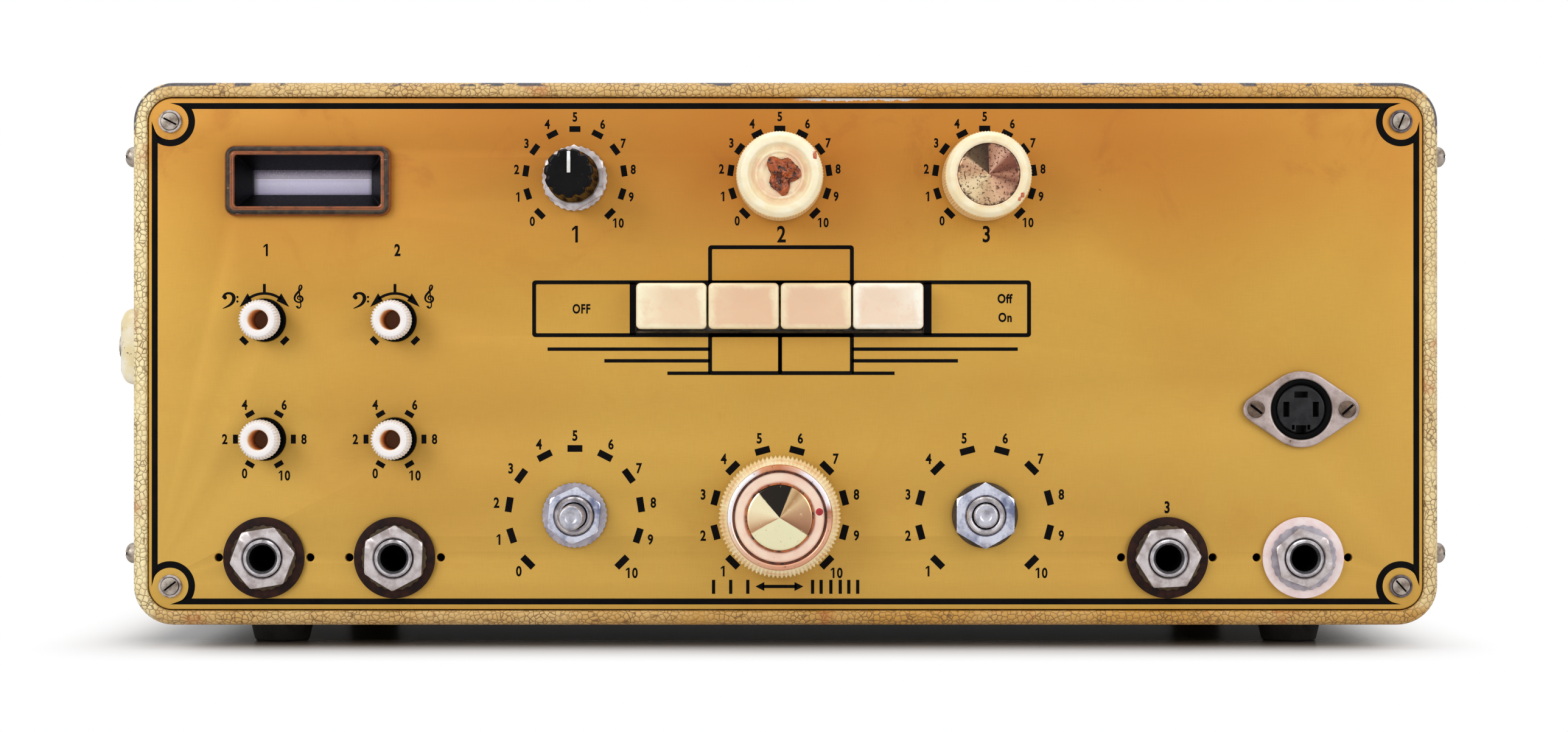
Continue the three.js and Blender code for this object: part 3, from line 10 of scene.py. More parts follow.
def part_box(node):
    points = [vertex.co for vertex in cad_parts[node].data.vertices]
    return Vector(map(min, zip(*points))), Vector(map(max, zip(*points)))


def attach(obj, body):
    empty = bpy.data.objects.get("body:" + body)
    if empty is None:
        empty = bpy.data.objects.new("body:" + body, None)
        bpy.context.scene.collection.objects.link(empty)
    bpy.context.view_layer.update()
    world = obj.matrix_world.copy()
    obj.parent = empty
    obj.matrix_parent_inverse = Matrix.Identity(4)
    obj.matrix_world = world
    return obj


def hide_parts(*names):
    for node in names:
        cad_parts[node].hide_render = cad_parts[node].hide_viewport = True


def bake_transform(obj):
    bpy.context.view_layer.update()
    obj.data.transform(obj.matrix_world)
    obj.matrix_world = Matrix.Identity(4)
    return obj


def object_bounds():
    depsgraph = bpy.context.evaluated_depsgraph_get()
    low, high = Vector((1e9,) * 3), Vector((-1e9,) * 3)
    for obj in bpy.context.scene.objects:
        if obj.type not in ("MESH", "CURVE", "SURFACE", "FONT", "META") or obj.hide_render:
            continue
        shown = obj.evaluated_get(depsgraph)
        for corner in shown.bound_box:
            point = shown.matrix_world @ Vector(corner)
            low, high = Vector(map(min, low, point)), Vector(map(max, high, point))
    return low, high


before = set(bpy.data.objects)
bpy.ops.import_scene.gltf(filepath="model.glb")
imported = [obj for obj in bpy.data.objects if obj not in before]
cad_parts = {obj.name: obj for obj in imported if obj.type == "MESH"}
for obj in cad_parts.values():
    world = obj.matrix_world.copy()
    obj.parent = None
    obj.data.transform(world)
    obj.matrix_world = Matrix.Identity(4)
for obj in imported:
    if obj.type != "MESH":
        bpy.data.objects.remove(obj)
cadLow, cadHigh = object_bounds()
scene = bpy.context.scene
mm = 0.001


# Shared helpers: places
def boxOf(node):
    low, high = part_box(node)
    return low / mm, high / mm


def middleOf(node):
    low, high = boxOf(node)
    return (low + high) / 2


panelLow, panelHigh = boxOf("front_panel")
panelMiddle = (panelLow + panelHigh) / 2
panelFace = panelLow.y


def onPanel(u, v):
    # A place on the panel's face, from its middle.
    return Vector((panelMiddle.x + u, panelFace, panelMiddle.z + v))


def centreOn(node):
    # The axis of a round node, at the panel's face.
    centre = middleOf(node)
    return Vector((centre.x, panelFace, centre.z))


# Shared helpers: outlines in the XZ plane
def circleLine(radius, count=48, x=0.0, z=0.0):
    turns = [2 * math.pi * step / count for step in range(count)]
    return [(x + radius * math.cos(turn), z + radius * math.sin(turn)) for turn in turns]


def arcLine(radius, first, last, count, x=0.0, z=0.0):
    turns = [math.radians(first + (last - first) * step / count) for step in range(count + 1)]
    return [(x + radius * math.cos(turn), z + radius * math.sin(turn)) for turn in turns]


def roundedLine(width, height, radius, steps=8, x=0.0, z=0.0):
    corners = [(1, 1, 0), (-1, 1, 90), (-1, -1, 180), (1, -1, 270)]
    line = []
    for sideX, sideZ, first in corners:
        centreX = x + sideX * (width / 2 - radius)
        centreZ = z + sideZ * (height / 2 - radius)
        line += arcLine(radius, first, first + 90, steps, centreX, centreZ)
    return line


def nutLine(flats, turn, limit, count=96):
    # A hexagon whose corners are cut back to a circle of the limit's radius.
    line = []
    for step in range(count):
        angle = 360 * step / count
        fromFlat = math.radians((angle - turn) % 60 - 30)
        radius = min(flats / 2 / math.cos(fromFlat), limit)
        line.append((radius * math.cos(math.radians(angle)), radius * math.sin(math.radians(angle))))
    return line


def softened(profile, radius, steps=3):
    # Rounds the corners of an open line.
    soft = [profile[0]]
    for before, corner, after in zip(profile, profile[1:], profile[2:]):
        here = Vector(corner)
        sides = [Vector(before) - here, Vector(after) - here]
        reach = [min(radius, side.length * 0.45) for side in sides]
        ends = [here + side.normalized() * far if side.length else here for side, far in zip(sides, reach)]
        for step in range(steps + 1):
            share = step / steps
            point = ends[0] * (1 - share) ** 2 + here * (2 * share * (1 - share)) + ends[1] * share ** 2
            soft.append(tuple(point))
    soft.append(profile[-1])
    return soft


def ringProfile(inner, outer, front, back, edge=0.15):
    # A washer's section, closed.
    start = (inner, (front + back) / 2)
    return softened([start, (inner, front), (outer, front), (outer, back), (inner, back), start], edge)


# Shared helpers: meshes
def meshFrom(name, points, faces):
    mesh = bpy.data.meshes.new(name)
    mesh.from_pydata([tuple(Vector(point) * mm) for point in points], [], faces)
    clean = bmesh.new()
    clean.from_mesh(mesh)
    bmesh.ops.remove_doubles(clean, verts=clean.verts, dist=0.002 * mm)
    bmesh.ops.dissolve_degenerate(clean, edges=clean.edges, dist=0.001 * mm)
    bmesh.ops.recalc_face_normals(clean, faces=clean.faces)
    clean.to_mesh(mesh)
    clean.free()
    return mesh


def loftMesh(name, sections, loop=False):
    # Joins outlines of equal count, each with its depth. A loop runs back to the first.
    count = len(sections[0][1])
    points = [(x, depth, z) for depth, line in sections for x, z in line]
    faces = []
    last = len(sections) if loop else len(sections) - 1
    for ring in range(last):
        here = ring * count
        there = ((ring + 1) % len(sections)) * count
        for step in range(count):
            after = (step + 1) % count
            faces.append((here + step, here + after, there + after, there + step))
    if not loop:
        faces.append(tuple(range(count)))
        faces.append(tuple(range(last * count, last * count + count)))
    return meshFrom(name, points, faces)


def turnedMesh(name, profile, segments=64, ribs=0, ribDepth=0.0, ribbed=None):
    # A turned piece about the Y axis. Points that ribbed() accepts are cut in by the ribs.
    points = []
    for step in range(segments):
        angle = 2 * math.pi * step / segments
        cut = ribDepth * (0.5 - 0.5 * math.cos(angle * ribs)) if ribs else 0.0
        for radius, depth in profile:
            own = radius - (cut if ribs and ribbed(radius, depth) else 0.0)
            points.append((own * math.sin(angle), depth, own * math.cos(angle)))
    rows = len(profile)
    faces = []
    for step in range(segments):
        here = step * rows
        there = ((step + 1) % segments) * rows
        faces += [(here + row, here + row + 1, there + row + 1, there + row) for row in range(rows - 1)]
    return meshFrom(name, points, faces)


def fromBase(profile, base):
    # A profile whose depths were counted from a base.
    return [(radius, base + depth) for radius, depth in profile]


def plateMesh(name, outline, holes, front, back, edge=0.1, steps=2):
    # A flat plate with holes, drawn in XZ, with softened edges.
    curve = bpy.data.curves.new(name, "CURVE")
    curve.dimensions = "2D"
    curve.fill_mode = "BOTH"
    for line in [outline, *holes]:
        spline = curve.splines.new("POLY")
        spline.points.add(len(line) - 1)
        for point, (x, z) in zip(spline.points, line):
            point.co = (x * mm, z * mm, 0, 1)
        spline.use_cyclic_u = True
    curve.extrude = ((back - front) / 2 - edge) * mm
    curve.bevel_depth = edge * mm
    curve.bevel_resolution = steps
    curve.offset = -edge * mm
    mesh = meshOfCurve(name, curve)
    turn = Matrix.Rotation(math.pi / 2, 4, "X")
    mesh.transform(Matrix.Translation((0, (front + back) / 2 * mm, 0)) @ turn)
    return mesh


def meshOfCurve(name, curve):
    drawn = bpy.data.objects.new(name, curve)
    scene.collection.objects.link(drawn)
    shape = drawn.evaluated_get(bpy.context.evaluated_depsgraph_get())
    mesh = bpy.data.meshes.new_from_object(shape)
    bpy.data.objects.remove(drawn)
    bpy.data.curves.remove(curve)
    clean = bmesh.new()
    clean.from_mesh(mesh)
    bmesh.ops.remove_doubles(clean, verts=clean.verts, dist=0.0005 * mm)
    bmesh.ops.dissolve_degenerate(clean, edges=clean.edges, dist=0.0005 * mm)
    clean.to_mesh(mesh)
    clean.free()
    mesh.name = name
    return mesh


def blockMesh(name, low, high, edge=0.4, steps=2):
    # A block with rounded edges.
    low, high = Vector(low), Vector(high)
    shape = bmesh.new()
    bmesh.ops.create_cube(shape, size=1)
    bmesh.ops.scale(shape, vec=(high - low) * mm, verts=shape.verts)
    bmesh.ops.translate(shape, vec=(high + low) / 2 * mm, verts=shape.verts)
    if edge:
        bmesh.ops.bevel(
            shape, geom=shape.edges[:], offset=edge * mm, segments=steps, profile=0.5, affect="EDGES",
        )
    mesh = bpy.data.meshes.new(name)
    shape.to_mesh(mesh)
    shape.free()
    return mesh


def joinedMesh(name, meshes):
    # Several meshes in one. Their places in the list become their material numbers.
    whole = bmesh.new()
    for number, mesh in enumerate(meshes):
        start = len(whole.faces)
        whole.from_mesh(mesh)
        whole.faces.ensure_lookup_table()
        for face in whole.faces[start:]:
            face.material_index = number
        bpy.data.meshes.remove(mesh)
    mesh = bpy.data.meshes.new(name)
    whole.to_mesh(mesh)
    whole.free()
    return mesh


def sameFinish(name, meshes):
    # Several meshes in one finish.
    whole = joinedMesh(name, meshes)
    for face in whole.polygons:
        face.material_index = 0
    return whole


def moved(mesh, x=0.0, y=0.0, z=0.0, turn=0.0, axis="Y"):
    mesh.transform(Matrix.Translation(Vector((x, y, z)) * mm) @ Matrix.Rotation(math.radians(turn), 4, axis))
    return mesh


def flatMesh(name, outline, holes, top, thick, edge=0.3, steps=2):
    # A level plate: its outline is drawn in X and Y.
    return moved(plateMesh(name, outline, holes, 0, thick, edge, steps), 0, 0, top, -90, "X")


def standingMesh(name, profile, soft=0.0, count=64, x=0.0, y=0.0, z=0.0, steps=3):
    # A turned piece that stands upright: its profile is radius and height.
    line = softened(profile, soft, steps) if soft else profile
    return moved(turnedMesh(name, [(radius, -height) for radius, height in line], count), x, y, z, -90, "X")


def cutMesh(mesh, *tools):
    # Cuts tools out of a mesh.
    body = bpy.data.objects.new(mesh.name, mesh)
    scene.collection.objects.link(body)
    cutters = []
    for tool in tools:
        cutter = bpy.data.objects.new("cutter", tool)
        scene.collection.objects.link(cutter)
        cutters.append(cutter)
        step = body.modifiers.new("cut", "BOOLEAN")
        step.operation = "DIFFERENCE"
        step.solver = "EXACT"
        step.object = cutter
    shape = body.evaluated_get(bpy.context.evaluated_depsgraph_get())
    result = bpy.data.meshes.new_from_object(shape)
    result.name = mesh.name
    for drawn in [body, *cutters]:
        bpy.data.objects.remove(drawn)
    return result


def addPiece(name, mesh, finish, slot, body="unit", at=(0, 0, 0), replaces=(), smooth=32):
    finishes = finish if isinstance(finish, list) else [finish]
    if not mesh.materials:
        for each in finishes:
            mesh.materials.append(each)
        mesh.shade_smooth()
        mesh.set_sharp_from_angle(angle=math.radians(smooth))
    piece = bpy.data.objects.new(name, mesh)
    scene.collection.objects.link(piece)
    piece.location = Vector(at) * mm
    if body:
        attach(piece, body)
    if replaces:
        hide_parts(*replaces)
    return piece


def addTurned(name, profile, finish, slot, soft=0.0, count=64, steps=3, **settings):
    # A turned piece, from its profile of radius and depth.
    line = softened(profile, soft, steps) if soft else profile
    return addPiece(name, turnedMesh(name, line, count), finish, slot, **settings)


# Shared helpers: materials
def linear(red, green, blue):
    # An 8-bit colour as Blender's scene-linear colour.
    shares = [value / 255 for value in (red, green, blue)]
    return (*[s / 12.92 if s <= 0.04045 else ((s + 0.055) / 1.055) ** 2.4 for s in shares], 1.0)


def colourOf(value):
    # A colour given as three 8-bit numbers is turned to linear. Anything else stays.
    return linear(*value) if isinstance(value, tuple) and len(value) == 3 else value


drawing = {"tree": None}  # The node tree that new nodes go to.


class Flow:
    # A node's output. Sums and products of flows add Math nodes.
    def __init__(self, socket):
        self.socket = socket

    def __add__(self, other):
        return mathOn("ADD", self, other)

    def __sub__(self, other):
        return mathOn("SUBTRACT", self, other)

    def __rsub__(self, other):
        return mathOn("SUBTRACT", other, self)

    def __mul__(self, other):
        return mathOn("MULTIPLY", self, other)

    def __truediv__(self, other):
        return mathOn("DIVIDE", self, other)

    def __abs__(self):
        return mathOn("ABSOLUTE", self)


def nodeIn(kind, inputs=None, **settings):
    # inputs holds flows, which are linked, and plain values.
    node = drawing["tree"].nodes.new("ShaderNode" + kind)
    for key, value in settings.items():
        setattr(node, key, value)
    for key, value in (inputs or {}).items():
        if isinstance(value, Flow):
            drawing["tree"].links.new(value.socket, node.inputs[key])
        else:
            node.inputs[key].default_value = value
    return node


def flowIn(kind, inputs=None, output=0, **settings):
    return Flow(nodeIn(kind, inputs, **settings).outputs[output])


def partsOf(place):
    return [Flow(part) for part in nodeIn("SeparateXYZ", {0: place}).outputs]


def newFinish(name, **values):
    finish = bpy.data.materials.new(name)
    finish.use_nodes = True
    drawing["tree"] = finish.node_tree
    shader = finish.node_tree.nodes["Principled BSDF"]
    for key, value in values.items():
        shader.inputs[key.replace("_", " ")].default_value = value
    return finish, shader, flowIn("TexCoord", output="Object")


def stretched(place, scale=(1, 1, 1), turn=(0, 0, 0)):
    angles = tuple(math.radians(angle) for angle in turn)
    return flowIn("Mapping", {"Vector": place, "Scale": scale, "Rotation": angles})


def noiseOn(place, size, detail=4.0, rough=0.55, warp=0.0):
    # size is the blotches' width in mm.
    inputs = {"Vector": place, "Scale": 1 / (size * mm), "Detail": detail, "Roughness": rough}
    return flowIn("TexNoise", {**inputs, "Distortion": warp}, output="Fac")


def turnedPlace(place):
    # The depth of a place in a turned piece, and its distance from the axis.
    parts = partsOf(place)
    flat = flowIn("CombineXYZ", {0: parts[0], 1: 0.0, 2: parts[2]})
    return parts[1], flowIn("VectorMath", {0: flat}, operation="LENGTH", output="Value")


def outlineReach(place, width, height, corner):
    # The corner's radius on a rounded outline, and less inside it by the distance to the outline.
    parts = partsOf(place)
    past = []
    for part, size in ((parts[0], width), (parts[2], height)):
        beyond = abs(part) - (size / 2 - corner) * mm
        past.append(mathOn("MAXIMUM", beyond, 0.0))
    flat = flowIn("CombineXYZ", {0: past[0], 1: 0.0, 2: past[1]})
    return flowIn("VectorMath", {0: flat}, operation="LENGTH", output="Value")


def stepOn(value, low, high, first=0.0, last=1.0):
    values = {"Value": value, "From Min": low, "From Max": high, "To Min": first, "To Max": last}
    return flowIn("MapRange", values, interpolation_type="SMOOTHSTEP")


def mathOn(operation, first, second=0.0):
    return flowIn("Math", {0: first, 1: second}, operation=operation)


def mixOn(factor, first, second):
    inputs = {0: factor, 6: colourOf(first), 7: colourOf(second)}
    return flowIn("Mix", inputs, data_type="RGBA", output=2)


def rampOn(value, stops):
    # Each stop is its place and its 8-bit colour.
    node = nodeIn("ValToRGB", {"Fac": value})
    while len(node.color_ramp.elements) < len(stops):
        node.color_ramp.elements.new(0.5)
    for element, (place, colour) in zip(node.color_ramp.elements, stops):
        element.position = place
        element.color = colourOf(colour)
    return Flow(node.outputs["Color"])


def plug(shader, **flows):
    for key, flow in flows.items():
        drawing["tree"].links.new(flow.socket, shader.inputs[key.replace("_", " ")])


def bumpOn(shader, height, depth, strength=1.0):
    # depth is in mm.
    plug(shader, Normal=flowIn("Bump", {"Height": height, "Distance": depth * mm, "Strength": strength}))


print("helpers ready")


# Camera, lights and floor
view = {
    "spot": (4.78, -800, 69.5),
    "lens": 65.68,
    "worldStrength": 0.5,
    "lampWatts": {"left": 3.4, "right": 2.4, "top": 2.2},
}


def addCamera():
    camera = bpy.data.objects.new("camera", bpy.data.cameras.new("camera"))
    scene.collection.objects.link(camera)
    camera.location = Vector(view["spot"]) * mm
    camera.rotation_euler = (math.radians(90), 0, 0)
    camera.data.sensor_width = 36
    camera.data.lens = view["lens"]
    camera.data.clip_start = 0.01
    scene.camera = camera


def whiteForView():
    # 1 for rays from the camera, and for those that metal and glass send on.
    rays = nodeIn("LightPath").outputs
    seen = mathOn("MAXIMUM", Flow(rays["Is Camera Ray"]), Flow(rays["Is Glossy Ray"]))
    return mathOn("MAXIMUM", seen, Flow(rays["Is Transmission Ray"]))


def addLight(name, place, target, size, watts):
    lamp = bpy.data.objects.new(name, bpy.data.lights.new(name, "AREA"))
    lamp.data.shape = "RECTANGLE"
    lamp.data.size, lamp.data.size_y = (side * mm for side in size)
    lamp.data.energy = watts
    lamp.location = Vector(place) * mm
    aim = Vector(target) * mm - lamp.location
    lamp.rotation_euler = aim.to_track_quat("-Z", "Y").to_euler()
    scene.collection.objects.link(lamp)


def addStudio():
    world = bpy.data.worlds.new("studio")
    world.use_nodes = True
    scene.world = world
    drawing["tree"] = world.node_tree
    background = world.node_tree.nodes["Background"]
    background.inputs["Color"].default_value = (1, 1, 1, 1)
    plug(background, Strength=stepOn(whiteForView(), 0, 1, view["worldStrength"], 1.0))
    front = (5, -90, 70)
    watts = view["lampWatts"]
    addLight("softbox_left", (-650, -750, 450), front, (500, 500), watts["left"])
    addLight("softbox_right", (700, -650, 350), front, (500, 500), watts["right"])
    addLight("softbox_top", (0, -100, 800), (0, 0, 60), (700, 500), watts["top"])
    scene.view_settings.view_transform = "Standard"


# Each reach is a rectangle's half width, front and back, and how softly it ends aside, ahead and behind.
ground = {
    "paper": (-4000, 4000, -900, 5000),
    "white": (0.8, 0.8, 0.82, 1),
    "shade": (0.012, 0.011, 0.014, 1),
    "shadeReach": (146, -66, 96, 30, 30, 30),
    "clearReach": (150, -84, 125, 35, 46, 120),
}


def reachFrom(parts, halfX, front, back, softX, softFront, softBack):
    # 0 inside a rectangle of the floor, growing outside it.
    middleX = (cadLow[0] + cadHigh[0]) / 2
    aside = abs(parts[0] - middleX) - halfX * mm
    aside = mathOn("MAXIMUM", aside / (softX * mm), 0.0)
    ahead = (front * mm - parts[1]) / (softFront * mm)
    behind = (parts[1] - back * mm) / (softBack * mm)
    along = mathOn("MAXIMUM", mathOn("MAXIMUM", ahead, behind), 0.0)
    square = aside * aside + along * along
    return stepOn(mathOn("SQRT", square), 0.0, 1.0)


def addFloor():
    # White paper: a painted shadow under the case, and plain white to the camera a little way off.
    finish, shader, place = newFinish("white_floor", Roughness=0.25, Specular_IOR_Level=0.12)
    parts = partsOf(place)
    lit, clear = (reachFrom(parts, *ground[key]) for key in ("shadeReach", "clearReach"))
    plug(shader, Base_Color=mixOn(lit, ground["shade"], ground["white"]))
    seen = clear * flowIn("LightPath", output="Is Camera Ray")
    white = flowIn("Emission", {"Color": (1, 1, 1, 1), "Strength": 1.0})
    mixed = flowIn("MixShader", {0: seen, 1: Flow(shader.outputs[0]), 2: white})
    plug(finish.node_tree.nodes["Material Output"], Surface=mixed)
    left, right, front, back = ground["paper"]
    corners = [(left, front, 0), (right, front, 0), (right, back, 0), (left, back, 0)]
    mesh = meshFrom("floor", corners, [(0, 1, 2, 3)])
    mesh.materials.append(finish)
    floor = bpy.data.objects.new("floor", mesh)
    scene.collection.objects.link(floor)


addCamera()
addStudio()
addFloor()
print("studio set")


# Finishes
scatterReach = (0.003, 0.0018, 0.001)  # How far red, green and blue light spread inside cream plastic.


def speckled(place, base, other, size, low=0.35, high=0.65):
    # A colour that drifts slowly to another.
    return mixOn(stepOn(noiseOn(place, size), low, high), base, other)


def metalFinish(
    name, light, dark, rough=0.35, metallic=0.9, rust=None, rustShare=0.0, grain=(1, 1, 1), size=1.5,
):
    finish, shader, place = newFinish(name, Metallic=metallic)
    fine = noiseOn(stretched(place, grain), size * 0.25, 6, 0.7)
    colour = speckled(place, light, dark, size * 2, 0.38, 0.68)
    colour = mixOn(stepOn(fine, 0.5, 0.8, 0.0, 0.5), colour, dark)
    if rust:
        spots = stepOn(noiseOn(place, size, 8, 0.7), 0.72 - rustShare, 0.78 - rustShare)
        colour = mixOn(spots, colour, rust)
        plug(shader, Metallic=spots * (-metallic * 0.8) + metallic)
    plug(shader, Base_Color=colour, Roughness=stepOn(fine, 0.3, 0.7, rough - 0.08, rough + 0.12))
    bumpOn(shader, fine, 0.03, 0.35)
    return finish


def plasticFinish(name, base, other, rough=0.35, size=4.0, grime=None, grimeShare=0.0, bump=0.02, gloss=0.5):
    finish, shader, place = newFinish(name, Specular_IOR_Level=gloss)
    colour = speckled(place, base, other, size)
    if grime:
        spots = stepOn(noiseOn(place, size * 0.5, 8, 0.7), 0.7 - grimeShare, 0.82 - grimeShare)
        colour = mixOn(spots, colour, grime)
    fine = noiseOn(place, 0.5, 6, 0.65)
    plug(shader, Base_Color=colour, Roughness=stepOn(fine, 0.3, 0.7, rough - 0.06, rough + 0.08))
    bumpOn(shader, fine, bump, 0.5)
    return finish


enamel = {
    "cellSize": 1.3,
    "cream": (250, 235, 182),
    "ochre": (198, 147, 62),
    "hollow": (112, 76, 30),
    "primer": (56, 51, 58),
    "rust": (182, 100, 38),
    "middleTone": 0.42,
    "rimTone": {"top": (0.2, 0.46), "bottom": (0.3, 0.56), "left": -0.5, "right": -0.12},
    "wornCorner": (0.15, 0.0, 0.058),
}


def rimTone(parts):
    # The rolled rim's tone: ochre along the top and more along the bottom, growing towards the right,
    # and pale at the sides, most at the left. The pale left and the darkening to the right are painted light
    # from the left.
    tones = enamel["rimTone"]
    along = stepOn(parts[0], -0.13, 0.06)
    top = stepOn(parts[2], 0.0605, 0.0635) * stepOn(along, 0, 1, *tones["top"])
    low = stepOn(parts[2], -0.0635, -0.0605, 1.0, 0.0) * stepOn(along, 0, 1, *tones["bottom"])
    left = stepOn(parts[0], -0.1565, -0.1535, tones["left"], 0.0)
    right = stepOn(parts[0], 0.1535, 0.1565, 0.0, tones["right"])
    whole = top + low + (left + right)
    return whole * stepOn(parts[1], 0.006, 0.03, 1.0, 0.0)


def scuffsOn(place):
    # Where the rim's outer edge has been knocked down to the primer, along the top and round its corners.
    parts = partsOf(place)
    corner = case["corner"] * mm
    reach = outlineReach(place, caseHigh.x - caseLow.x, case["height"], case["corner"])
    edge = stepOn(reach, corner - 0.0013, corner - 0.0007)
    front = stepOn(parts[1], 0.0035, 0.0065, 1.0, 0.0)
    high = stepOn(parts[2], 0.047, 0.056)
    near = stepOn(abs(parts[0]), 0.125, 0.15, 0.0, 0.14)
    patch = stepOn(noiseOn(place, 7, 4, 0.6) + near, 0.56, 0.6)
    return edge * front * (high * patch)


def enamelFinish(name, rim=False):
    # Hammertone: pale cells with brown hollows between them, and chips down to dark primer.
    finish, shader, place = newFinish(name, Roughness=0.4)
    warp = flowIn("TexNoise", {"Vector": place, "Scale": 1 / (4 * mm), "Detail": 3.0}, output="Color")
    bent = flowIn("MixRGB", {"Fac": 0.0009, 1: place, 2: warp}, blend_type="ADD")
    scale = 1 / (enamel["cellSize"] * mm)
    cells = flowIn("TexVoronoi", {"Vector": bent, "Scale": scale}, feature="DISTANCE_TO_EDGE")
    middle = enamel["middleTone"]
    tone = stepOn(noiseOn(place, 26, 4, 0.6), 0.2, 0.8, middle - 0.16, middle + 0.16)
    chipping = noiseOn(place, 5.5, 9, 0.72)
    if rim:
        # On the rim, its tone with painted light from the left.
        tone = tone + rimTone(partsOf(place))
        away = flowIn("VectorMath", {0: place, 1: enamel["wornCorner"]}, operation="DISTANCE", output="Value")
        chipping = chipping + stepOn(away, 0.008, 0.028, 0.1, 0.0)
    colour = rampOn(tone, [(0.0, enamel["cream"]), (1.0, enamel["ochre"])])
    blotch = stepOn(noiseOn(place, 3, 5, 0.6), 0.3, 0.75)
    colour = mixOn(blotch * 0.3, colour, enamel["ochre"])
    hollow = stepOn(cells, 0.0, 0.13, 1.0, 0.0)
    deep = stepOn(noiseOn(place, 9, 4, 0.6), 0.25, 0.62, 0.25, 0.95)
    colour = mixOn(hollow * deep, colour, enamel["hollow"])
    rust = stepOn(noiseOn(place, 14, 6, 0.65), 0.57, 0.7, 0.0, 0.65)
    colour = mixOn(rust, colour, enamel["rust"])
    chips = stepOn(chipping, 0.69, 0.71)
    if rim:
        chips = mathOn("MAXIMUM", chips, scuffsOn(place))
    colour = mixOn(chips, colour, enamel["primer"])
    plug(shader, Base_Color=colour)
    dome = stepOn(cells, 0.0, 0.3)
    bumpOn(shader, dome - chips, 0.16, 0.8)
    return finish


gold = {
    "plain": (205, 156, 58),
    "top": (188, 118, 30),
    "low": (201, 159, 68),
    "scrape": (206, 198, 190),
    "stain": (172, 104, 32),
    "fleck": (110, 70, 28),
}


def goldFinish():
    # Anodised and brushed sheet, warmer towards the top middle, with stains, flecks and fine scratches.
    finish, shader, place = newFinish("panel_gold", Metallic=0.35)
    parts = partsOf(place)
    level = stepOn(parts[2], 0.02, 0.13)
    middle = stepOn(abs(parts[0] - 0.012), 0.03, 0.13, 1.0, 0.6)
    warm = stepOn(parts[2], 0.08, 0.127) * middle
    drift = stepOn(noiseOn(place, 60, 3, 0.5), 0.3, 0.7, -0.18, 0.18)
    colour = mixOn(level, gold["low"], gold["plain"])
    colour = mixOn(warm + drift, colour, gold["top"])
    cloud = noiseOn(place, 22, 7, 0.68, 0.6)
    stain = stepOn(cloud, 0.54, 0.66, 0.0, 0.42) * stepOn(warm, 0.0, 0.8, 0.12, 1.0)
    colour = mixOn(stain, colour, gold["stain"])
    flecks = stepOn(noiseOn(place, 2.6, 5, 0.6), 0.745, 0.765, 0.0, 0.75)
    colour = mixOn(flecks, colour, gold["fleck"])
    brushed = noiseOn(stretched(place, (1, 1, 0.06)), 0.22, 3, 0.6)
    brushed = brushed + noiseOn(stretched(place, (0.05, 1, 1)), 0.2, 3, 0.6)
    colour = mixOn(stepOn(brushed, 0.8, 1.2, 0.0, 0.09), colour, (150, 108, 44))
    along = stepOn(parts[0], 0.006, 0.012) * stepOn(parts[0], 0.034, 0.04, 1.0, 0.0)
    ragged = noiseOn(place, 1.2, 6, 0.75) * 0.0024 + (panelHigh.z - 1.75) * mm
    scraped = mathOn("GREATER_THAN", parts[2], ragged) * along
    colour = mixOn(scraped, colour, gold["scrape"])
    rough = stepOn(cloud, 0.35, 0.7, 0.42, 0.56)
    plug(shader, Base_Color=colour, Roughness=rough)
    bumpOn(shader, brushed - scraped, 0.012, 0.35)
    return finish


panelFinish = goldFinish()
inkFinish = plasticFinish("panel_ink", (9, 8, 9), (15, 13, 13), 0.5, 8, gloss=0.04)

# Case and feet
case = {
    "height": 133,
    "corner": 9.8,
    "wall": 1.5,
    "rim": 3.6,
    "rimDepth": 8,
    "innerRound": 0.9,
    "outerRound": 2.6,
    "cornerSteps": 12,
    "openingSide": 30,
    "openingFront": 44,
    "openingRear": 48,
    "knuckleRadius": 2.4,
    "knuckleLength": 18,
    "knucklePlace": 84,
    "knucklePitch": 18.3,
    "knuckleBore": 1.3,
    "knuckleFoot": ((-1, -3.1), (2.2, -1.0)),
    "lugX": 148.5,
    "lugZ": 55,
    "lugHalf": 5.5,
    "lugDepths": (3.4, 7.8),
}
caseLow, caseHigh = boxOf("case_shell")
caseTop = caseLow.z + case["height"]
caseMiddle = Vector(((caseLow.x + caseHigh.x) / 2, caseLow.y, (caseLow.z + caseTop) / 2))  # Of its front.
hinge = middleOf("lid_hinge_pin")
caseFinish = enamelFinish("case_enamel", rim=True)
lidFinish = enamelFinish("lid_enamel")
print("case and panel finishes ready")


def caseRing(inset, depth):
    width = caseHigh.x - caseLow.x - 2 * inset
    return depth, roundedLine(width, case["height"] - 2 * inset, case["corner"] - inset, case["cornerSteps"])


def rimRound(radius, first, last, inset):
    # Part of the rolled rim, as insets and depths.
    steps = [math.radians(first + (last - first) * step / 5) for step in range(6)]
    return [caseRing(inset - radius * math.cos(step), radius - radius * math.sin(step)) for step in steps]


def knuckleMesh(name, footLow, footHigh):
    # A barrel along X with a foot below or beside it, given as its low and high Y and Z.
    bore, radius, half = case["knuckleBore"], case["knuckleRadius"], case["knuckleLength"] / 2
    profile = softened([(bore, -half), (radius, -half), (radius, half), (bore, half), (bore, -half)], 0.35)
    barrel = moved(turnedMesh(name, profile, 40), turn=90, axis="Z")
    return joinedMesh(name, [barrel, blockMesh("foot", (-half, *footLow), (half, *footHigh), 0.2)])


